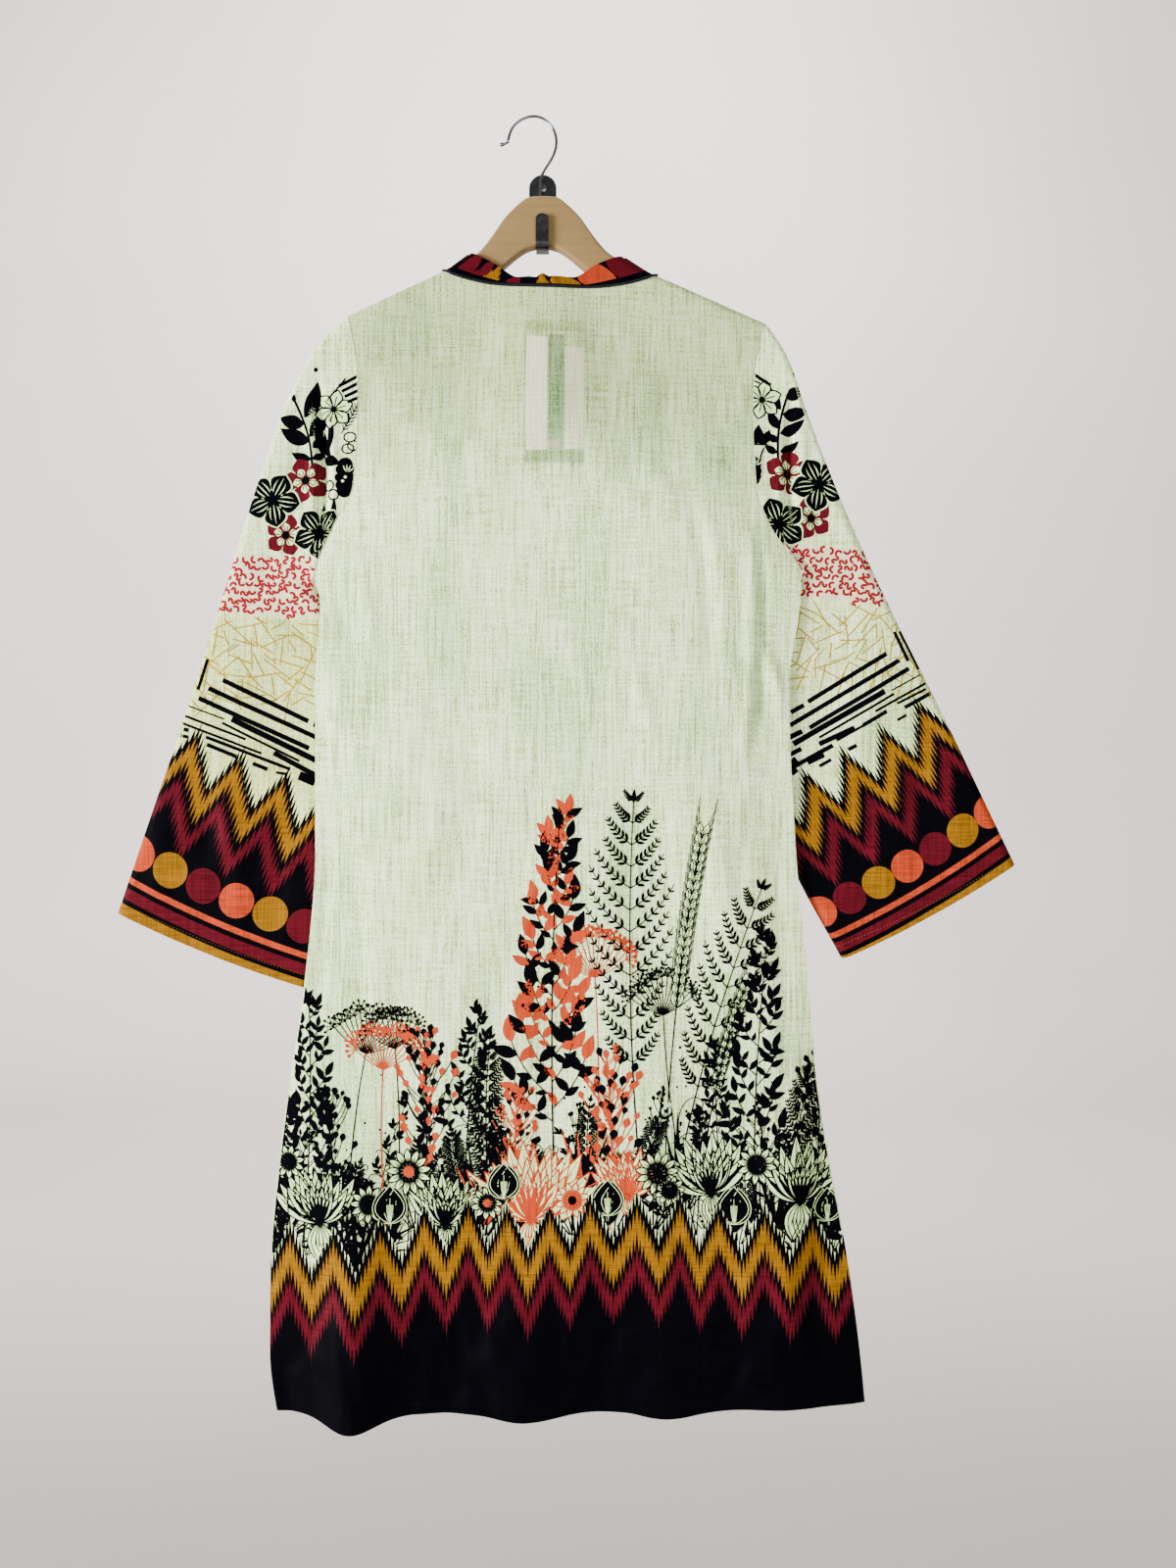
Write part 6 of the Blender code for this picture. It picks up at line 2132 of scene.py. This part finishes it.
def stitches(path, normals, length, gap, wide, high):
    """Points and faces of a row of topstitches along a path on the cloth.

    Each is a small four-sided bead: its two ends on the cloth, its sides half a thread apart and
    its crest raised by high.
    """
    travel = travelled(path)
    at = np.arange(gap, travel[-1] - length, length + gap)

    def along(values, where):
        return np.stack([np.interp(where, travel, values[:, axis]) for axis in range(3)], axis=-1)

    first, middle, last = (along(path, at + way) for way in (0, length / 2, length))
    up = unit(along(normals, at))
    side = unit(np.cross(last - first, up)) * wide / 2
    sunk = up * 0.0001
    rows = (first - sunk, middle + side, middle - side, middle + up * high, last - sunk, middle - sunk)
    cell = np.array([(0, 1, 3), (0, 3, 2), (1, 4, 3), (3, 4, 2), (0, 5, 1), (0, 2, 5), (1, 5, 4), (2, 4, 5)])
    faces = cell + np.arange(len(at))[:, None, None] * len(rows)
    return np.stack(rows, axis=1).reshape(-1, 3), faces.reshape(-1, 3)


def stitch_piece(name, rows, code):
    """One mesh of several rows of stitches in one thread."""
    parts = [stitches(*row) for row in rows]
    offsets = np.cumsum([0] + [len(points) for points, _ in parts])
    points = np.concatenate([points for points, _ in parts])
    faces = np.concatenate([faces + start for (_, faces), start in zip(parts, offsets)])
    # spun polyester thread: a little shinier than the cloth
    made, tree, shader = material(f"sewing_thread_{code}", {"Roughness": 0.6, "Specular IOR Level": 0.08})
    light = linear(code)
    dark = (*(level * 0.55 for level in light[:3]), 1)
    twist = noise(tree, object_point(tree), 1500.0)
    paint(tree, shader, blend_colours(tree, twist, light, dark))
    return place(put_mesh(name, points, [faces], [made], 0))


def row_above(form, above):
    """Points and normals for a row of stitches on a panel at a height above its hem."""
    grid, normals = form["grid"][:, 2:-2], form["normals"][:, 2:-2]
    step = np.linalg.norm(grid[-1] - grid[-4], axis=-1) / 3
    index = len(grid) - 1 - above / step
    low = np.floor(index).astype(int)
    share = (index - low)[:, None]
    lane = np.arange(grid.shape[1])
    points = grid[low, lane] * (1 - share) + grid[low + 1, lane] * share
    return points + normals[low, lane] * THREAD_SEAT, normals[low, lane]


# ---------------------------------------------------------------- hanger and hooks
def beech():
    """Beech under thin satin lacquer: pale, with short dark flecks along the grain."""
    made, tree, shader = material(
        "lacquered_beech", {"Roughness": 0.50, "IOR": 1.5, "Specular IOR Level": 0.15}
    )
    point = object_point(tree)
    grain = noise(tree, point, (14, 120, 260), 4.0, 0.55, 0.4)
    fleck = noise(tree, point, (320, 900, 1500))
    base = tone("wood")
    for value, low, high, strength in ((grain, 0.35, 0.75, 0.28), (fleck, 0.62, 0.74, 0.5)):
        base = blend_colours(tree, ranged(tree, value, low, high, 0.0, strength), base, tone("grain"))
    parts = split(tree, point)
    # two small knots, flatter than they are wide
    for x, z, radius in ((-0.0340, -0.0245, 0.0011), (0.0530, -0.0435, 0.0013)):
        off = sums(tree, "SUBTRACT", parts["X"], x)
        away = distance(tree, off, offset(tree, parts["Z"], z, 1.5))
        spot = ranged(tree, away, radius * 1.6, radius * 0.4, 0.0, 0.7)
        base = blend_colours(tree, spot, base, linear("6B5236"))
    paint(tree, shader, base)
    bump = add(tree, "ShaderNodeBump", {"Strength": 0.25, "Distance": 0.0001, "Height": grain})
    tree.links.new(bump.outputs["Normal"], shader.inputs["Normal"])
    return made


def metal(name, base, rough, scratch, spots):
    """Metal with fine uneven rubbing: noise moves its colour and roughness a little."""
    made, tree, shader = material(name, {"Metallic": 1.0})
    point = object_point(tree)
    paint(tree, shader, blend_colours(tree, noise(tree, point, 60.0), base, spots))
    gloss = ranged(tree, noise(tree, point, 240.0, 4.0), 0.3, 0.7, rough, rough + scratch)
    tree.links.new(gloss.outputs[0], shader.inputs["Roughness"])
    return made


def hanger_rings():
    """Rounded sections along X between the wood's top and lower edges, tapering at the tips.

    A section is a box of the wood's half thickness and half height with four quarter circles for
    corners: rounder under the cloth than where the wood is seen.
    """
    out = WOOD_REACH * np.sin(np.linspace(0, math.pi / 2, 90))
    x = np.concatenate((-out[:0:-1], out))
    end = 1 - ease((np.abs(x) - WOOD_TAPER) / (WOOD_REACH - WOOD_TAPER)) * 0.55
    rounding = 0.0040 + 0.0025 * ease((np.abs(x) - 0.035) / 0.02)
    top, low = arm_top(x), arm_low(x)
    half_z = (top - low) / 2 * end
    middle = np.where(end < 1, top - (top - low) / 2 * (1 + (1 - end) * 0.4), (top + low) / 2)
    half_y = WOOD_THICK / 2 * (1 - (1 - end) * 0.5)
    rounding = np.minimum(rounding, np.minimum(half_y, half_z) - 0.0003)
    angle = np.concatenate([turn * math.pi / 2 + np.linspace(0, math.pi / 2, 9) for turn in range(4)])
    sign_y = np.repeat([1, -1, -1, 1], 9)
    sign_z = np.repeat([1, 1, -1, -1], 9)
    r = rounding[:, None]
    y = WOOD_Y + sign_y * (half_y[:, None] - r) + r * np.cos(angle)
    z = middle[:, None] + sign_z * (half_z[:, None] - r) + r * np.sin(angle)
    return np.stack((np.broadcast_to(x[:, None], y.shape), y, z), axis=-1)


def wire_rings():
    """Round sections along the hook's line, with the small collared knob at its tip.

    The line is evened out towards its tip, so that the knob sits straight on it.
    """
    stem_z = float(arm_top(WIRE_X)) + SEAM_GAP
    x = np.concatenate(([WIRE_X] * 2, WIRE["x"]))
    z = np.concatenate(([stem_z, stem_z + 0.011], WIRE["z"]))
    length = np.concatenate(([0], np.cumsum(np.hypot(np.diff(x), np.diff(z)))))
    knob, swell = np.array(KNOB).T / 1000
    at = np.concatenate((np.linspace(0, length[-1] - KNOB_START, WIRE_SECTIONS), length[-1] + knob))
    radius = np.concatenate((np.full(WIRE_SECTIONS, WIRE_RADIUS), swell))
    end = (x[-1] - x[-2], z[-1] - z[-2])
    past = np.maximum(at - length[-1], 0) / math.hypot(*end)
    even = np.linspace(0, length[-1], 400)
    lane = np.stack((np.interp(even, length, x), np.interp(even, length, z)))
    pull = 0.5 * ease((length[-1] - 0.004 - even[1:-1]) / 0.010)
    for _ in range(600):
        lane[:, 1:-1] += pull * ((lane[:, :-2] + lane[:, 2:]) / 2 - lane[:, 1:-1])
    line_x = np.interp(at, even, lane[0]) + past * end[0]
    line_z = np.interp(at, even, lane[1]) + past * end[1]
    ahead = unit(np.stack((np.gradient(line_x, at), np.gradient(line_z, at)), axis=-1))
    turn = np.linspace(0, 2 * math.pi, 24, endpoint=False)
    out = radius[:, None] * np.cos(turn)
    x, z = line_x[:, None] - out * ahead[:, 1:], line_z[:, None] + out * ahead[:, :1]
    return np.stack((x, WOOD_Y + radius[:, None] * np.sin(turn), z), axis=-1)


def hook_path():
    """The strip's middle line in y and z with its half width, from the plate's top to the tongue."""
    rear = -PLATE_THICK / 2
    front = 2 * WOOD_Y - rear
    seat = min(float(arm_low(STRIP_WIDTH / 2)), float(arm_low(-STRIP_WIDTH / 2)))
    bend_z = seat - HOOK_SEAT_GAP - PLATE_THICK / 2 + BEND_RADIUS
    half, slim = PLATE_WIDTH / 2, STRIP_WIDTH / 2
    parts = []

    def go(y, z, wide):
        parts.append(np.stack(np.broadcast_arrays(y, z, wide), axis=-1))

    turn = np.radians(np.linspace(87, 0, 22))
    go(rear, SCREW_HEIGHT + half * np.sin(turn), half * np.cos(turn))
    go(rear, np.linspace(SCREW_HEIGHT - 0.002, PLATE_SHOULDER, 12), half)
    s = np.linspace(0.12, 1, 8)
    go(rear, PLATE_SHOULDER + (STRIP_TOP - PLATE_SHOULDER) * s, half + (slim - half) * ease(s))
    for centre, start in ((rear - BEND_RADIUS, 0), (front + BEND_RADIUS, 90)):
        turn = np.radians(start + np.linspace(0, 90, 11))
        go(centre + BEND_RADIUS * np.cos(turn), bend_z - BEND_RADIUS * np.sin(turn), slim)
    turn = np.radians(np.linspace(0, 84, 14))
    go(front, TONGUE_TOP - slim * 0.9 + slim * 0.9 * np.sin(turn), slim * np.cos(turn))
    return np.concatenate(parts)


def applied(piece):
    """The piece with its modifiers made part of its mesh."""
    bpy.context.view_layer.update()
    final = piece.evaluated_get(bpy.context.evaluated_depsgraph_get())
    mesh = bpy.data.meshes.new_from_object(final)
    piece.modifiers.clear()
    old, piece.data = piece.data, mesh
    bpy.data.meshes.remove(old)
    return piece


# ---------------------------------------------------------------- operators
class KURTA_OT_hanger(bpy.types.Operator):
    """Make the beech hanger and its plated wire hook."""

    bl_idname = "kurta.hanger"
    bl_label = "Hanger"

    def execute(self, context):
        place(swept("hanger_wood", hanger_rings(), beech()), "hanger_body", slot="beech")
        # the wire's dark grey is a painted reflection of dark surroundings
        bright = metal("plated_wire", tone("steel"), 0.10, 0.14, linear("9A9C9F"))
        place(swept("hanger_wire", wire_rings(), bright), "hanger_hook", slot="chromed_wire")
        return {"FINISHED"}


class KURTA_OT_wall_hook(bpy.types.Operator):
    """Make the bent steel wall hook and its screw."""

    bl_idname = "kurta.wall_hook"
    bl_label = "Wall hook"

    def execute(self, context):
        path = hook_path()
        across = np.linspace(-1, 1, 9)
        grid = np.stack(np.broadcast_arrays(path[:, 2:] * across, path[:, :1], path[:, 1:2]), axis=-1)
        normals = grid_normals(grid)
        dark = metal("blackened_steel", tone("gunmetal"), 0.26, 0.22, linear("565658"))
        # the screw's dark grey is a painted reflection of dark surroundings
        bright = metal("plated_screw", tone("steel"), 0.2, 0.2, linear("8E8F92"))
        half = normals * PLATE_THICK / 2
        strip = cloth_shell("wall_hook_strip", grid + half, grid - half, grid[..., [0, 2]], dark)
        turn = np.linspace(0, 2 * math.pi, 40, endpoint=False)
        circle = np.stack((np.cos(turn), np.zeros(40), np.sin(turn)), axis=-1)
        centre = np.array((0, 0, SCREW_HEIGHT))
        ends = [centre + (0, y, 0) + circle * SCREW_HOLE_RADIUS for y in (0.01, -0.01)]
        drill = swept("drill", np.stack(ends), dark)
        cut = strip.modifiers.new("screw hole", "BOOLEAN")
        cut.object = drill
        cut.operation = "DIFFERENCE"
        applied(strip)
        bpy.data.objects.remove(drill)
        edge = strip.modifiers.new("rolled edge", "BEVEL")
        edge.width = 0.00045
        edge.segments = 3
        edge.angle_limit = math.radians(50)
        edge.harden_normals = True
        applied(strip)
        strip.data.materials.clear()
        strip.data.materials.append(dark)
        place(strip, "wall_hook", slot="dark_metal")

        front = -PLATE_THICK - SEAM_GAP
        head = np.linspace(0, math.pi / 2, 9)
        rim = front - SCREW_HEAD_RIM
        dome = SCREW_HEAD_HEIGHT - SCREW_HEAD_RIM
        y = np.concatenate(([0.0, front, front, rim], rim - dome * np.sin(head[1:])))
        tops = np.maximum(SCREW_HEAD_RADIUS * np.cos(head[1:]), 0.0003)
        r = np.concatenate(([SCREW_RADIUS] * 2, [SCREW_HEAD_RADIUS] * 2, tops))
        rings = centre + y[:, None, None] * (0, 1, 0) + circle * r[:, None, None]
        place(swept("wall_hook_screw", rings, bright), "wall_screw", slot="screw_metal")
        return {"FINISHED"}


class KURTA_OT_back(bpy.types.Operator):
    """Make the back panel with its hem folds and flame border."""

    bl_idname = "kurta.back"
    bl_label = "Back panel"

    def execute(self, context):
        panel_piece("back")
        return {"FINISHED"}


class KURTA_OT_front(bpy.types.Operator):
    """Make the front panel with its neck slit, and the placket's facing."""

    bl_idname = "kurta.front"
    bl_label = "Front panel and placket"

    def execute(self, context):
        panel_piece("front")
        edge, normals = placket_piece()
        stitch_piece("placket_topstitch", [(edge, normals, sizes().stitch, 0.0009, 0.0004, 0.0002)], "F1EEE2")
        return {"FINISHED"}


class KURTA_OT_sleeves(bpy.types.Operator):
    """Make both sleeves, flat tubes with turned cuffs."""

    bl_idname = "kurta.sleeves"
    bl_label = "Sleeves"

    def execute(self, context):
        for column in ("left", "right"):
            sleeve_piece(column)
        return {"FINISHED"}


class KURTA_OT_collar(bpy.types.Operator):
    """Make the standing collar band, its piping and the stitches along it."""

    bl_idname = "kurta.collar"
    bl_label = "Collar"

    def execute(self, context):
        path, turned = collar_pieces()
        stitch_piece("collar_topstitch", [(path, turned, 0.0016, 0.0016, 0.0004, 0.0002)], "22242B")
        return {"FINISHED"}


class KURTA_OT_garden(bpy.types.Operator):
    """Lay the drawn plants on the back and, mirrored, on the front."""

    bl_idname = "kurta.garden"
    bl_label = "Garden print"

    def execute(self, context):
        art = garden()
        for kind, facing, mirror in (("back", -1, None), ("front", 1, MIRROR)):
            cloth, name = bpy.data.objects[f"kurta_{kind}"], f"garden_print_{kind}"
            place(lay_print(name, art, cloth, facing, body_limits, mirror, GARDEN_LANE, edge_line))
        return {"FINISHED"}


class KURTA_OT_sleeve_print(bpy.types.Operator):
    """Lay the flowers, squiggles, straws and dashes on both sides of each sleeve."""

    bl_idname = "kurta.sleeve_print"
    bl_label = "Sleeve print"

    def execute(self, context):
        for column in ("left", "right"):
            art = sleeve_art(column)
            cloth = bpy.data.objects[f"sleeve_{column}_cloth"]
            for side, facing in (("outer", -1), ("rear", 1)):
                place(lay_print(f"sleeve_print_{column}_{side}", art, cloth, facing, sleeve_limits(column)))
        return {"FINISHED"}


class KURTA_OT_seams(bpy.types.Operator):
    """Sew the hem, slit and cuff rows."""

    bl_idname = "kurta.seams"
    bl_label = "Stitching and cuts"

    def execute(self, context):
        # a row is its points and normals, then a stitch's length, gap, width and height
        hem, slits, cuffs = [], [], []
        for kind in ("back", "front"):
            form = form_of(kind)
            hem.append((*row_above(form, HEM_FOLD - 0.001), sizes().stitch, 0.0010, 0.00045, 0.0002))
            height = form["grid"][:, 4, 2]
            beside = (height < SLIT_TOP - 0.01) & (height > PRINT_TOP)
            for lane in (4, -5):
                normals = form["normals"][beside, lane]
                line = form["grid"][beside, lane] + normals * THREAD_SEAT
                slits.append((line, normals, 0.0024, 0.0010, 0.0004, 0.00018))
        for column in ("left", "right"):
            form = form_of(column)
            ring = int(np.searchsorted(form["rings"], CUFF_STITCH))
            normals = np.concatenate((form["normals"][ring], form["normals"][ring, :1]))
            line = np.concatenate((form["grid"][ring], form["grid"][ring, :1])) + normals * THREAD_SEAT
            cuffs.append((line, normals, 0.0024, 0.0010, 0.0004, 0.00018))
        stitch_piece("hem_topstitch", hem, "050508")
        stitch_piece("slit_topstitch", slits, "E4E4D2")
        stitch_piece("cuff_topstitch", cuffs, "A9731C")
        declare_sheets()
        return {"FINISHED"}


def declare_sheets():
    """A table of each cloth's cut: its flat width, length and area as it was before it was sewn, what it
    rests on and its prints; only the prints are looked up, and nothing is passed on.
    """
    prints = {
        column: [f"sleeve_print_{column}_outer", f"sleeve_print_{column}_rear"]
        for column in ("left", "right")
    }
    whole = {
        "kurta_back": ((0.580, 1.105), 0.545, ["hanger_wood"], ["garden_print_back"]),
        "kurta_front": ((0.580, 1.105), 0.535, ["hanger_wood"], ["garden_print_front"]),
        "sleeve_left_cloth": ((0.440, 0.640), 0.215, ["kurta_back"], prints["left"]),
        "sleeve_right_cloth": ((0.440, 0.600), 0.200, ["kurta_back"], prints["right"]),
        "collar_band_cloth": ((0.490, 0.026), None, ["hanger_wood"], []),
        "placket_facing": ((0.066, 0.140), None, ["kurta_front"], []),
    }
    for name, (flat, area, rests, extra) in whole.items():
        extra = [bpy.data.objects[n] for n in extra]


class KURTA_OT_stage(bpy.types.Operator):
    """Set up the paper sweep, the lamps and the camera."""

    bl_idname = "kurta.stage"
    bl_label = "Stage"

    def execute(self, context):
        stage = context.scene.kurta_stage
        turn = np.linspace(0, math.pi / 2, 13)
        bend = 1.2
        foot = stage.wall - bend
        y = np.concatenate(([-6.0, foot], foot + bend * np.sin(turn[1:]), [stage.wall]))
        z = np.concatenate(([0, 0], bend * (1 - np.cos(turn[1:])), [6.5])) + stage.ground
        x = np.linspace(-7, 7, 3)
        grid = np.stack(np.broadcast_arrays(x, y[:, None], z[:, None]), axis=-1)
        made, tree, shader = material("studio_paper", {"Roughness": 0.95, "Specular IOR Level": 0.1})
        point = object_point(tree)
        shade = blend_colours(tree, noise(tree, point, 0.8), tone("floor"), linear("C9C3C0"))
        # painted shade: the paper darkens from 1.7 m behind the garment towards it and the camera, as in
        # their shadow
        near = ranged(tree, split(tree, point)["Y"], 1.7, 0.3, kind="SMOOTHSTEP")
        paint(tree, shader, blend_colours(tree, near, shade, linear("D2D0D0"), "MULTIPLY"))
        faces = grid_faces(len(y), len(x))[:, ::-1]
        put_mesh("paper_sweep", grid.reshape(-1, 3), [faces], [made], 0, turn=False)

        world = bpy.data.worlds.new("room")
        world.use_nodes = True
        room = world.node_tree.nodes["Background"].inputs
        room["Color"].default_value = linear("F2F0EE")
        room["Strength"].default_value = stage.room
        context.scene.world = world
        centre = (0.02, -0.03, -0.55)
        for name, power, spot, wide, aim in (
            ("key", stage.key, (-4.4, -2.4, -0.85), 2.0, centre),
            ("fill", stage.fill, (1.6, -3.4, -0.9), 2.4, centre),
            ("wash", stage.wash, (0.0, 1.3, 2.6), 3.0, (0.0, 4.0, 0.2)),
        ):
            lamp = bpy.data.lights.new(name, "AREA")
            lamp.energy, lamp.size = power, wide
            holder = bpy.data.objects.new(name, lamp)
            holder.location = spot
            way = np.subtract(aim, spot)
            tilt, turned = math.acos(-way[2] / np.linalg.norm(way)), math.atan2(way[1], way[0])
            holder.rotation_euler = (tilt, 0, turned - math.pi / 2)
            holder.visible_camera = False
            context.scene.collection.objects.link(holder)

        camera = bpy.data.cameras.new("view")
        camera.lens = stage.lens
        camera.sensor_width = 36
        camera.clip_start = 0.02
        holder = bpy.data.objects.new("view", camera)
        holder.location = CAMERA
        holder.rotation_euler = (math.pi / 2, 0, 0)
        context.scene.collection.objects.link(holder)
        context.scene.camera = holder
        return {"FINISHED"}


class KURTA_PT_panel(bpy.types.Panel):
    """Steps and settings of the kurta."""

    bl_label = "Printed kurta"
    bl_idname = "KURTA_PT_panel"
    bl_space_type = "VIEW_3D"
    bl_region_type = "UI"
    bl_category = "Kurta"

    def draw(self, context):
        for step in STEPS:
            self.layout.operator(step.bl_idname)
        for group in (context.scene.kurta_colours, context.scene.kurta_sizes, context.scene.kurta_stage):
            box = self.layout.box()
            for key in group.__annotations__:
                box.prop(group, key)


STEPS = (
    KURTA_OT_hanger,
    KURTA_OT_wall_hook,
    KURTA_OT_back,
    KURTA_OT_front,
    KURTA_OT_sleeves,
    KURTA_OT_collar,
    KURTA_OT_garden,
    KURTA_OT_sleeve_print,
    KURTA_OT_seams,
    KURTA_OT_stage,
)
GROUPS = (KurtaColours, KurtaSizes, KurtaStage)


def register():
    for kind in (*GROUPS, *STEPS, KURTA_PT_panel):
        bpy.utils.register_class(kind)
    bpy.types.Scene.kurta_colours = PointerProperty(type=KurtaColours)
    bpy.types.Scene.kurta_sizes = PointerProperty(type=KurtaSizes)
    bpy.types.Scene.kurta_stage = PointerProperty(type=KurtaStage)


def unregister():
    for key in ("kurta_colours", "kurta_sizes", "kurta_stage"):
        delattr(bpy.types.Scene, key)
    for kind in reversed((*GROUPS, *STEPS, KURTA_PT_panel)):
        bpy.utils.unregister_class(kind)


def main():
    register()
    bpy.ops.kurta.hanger()
    bpy.ops.kurta.wall_hook()
    bpy.ops.kurta.back()
    bpy.ops.kurta.front()
    bpy.ops.kurta.sleeves()
    bpy.ops.kurta.collar()
    bpy.ops.kurta.garden()
    bpy.ops.kurta.sleeve_print()
    bpy.ops.kurta.seams()
    bpy.ops.kurta.stage()


if __name__ == "__main__":
    main()
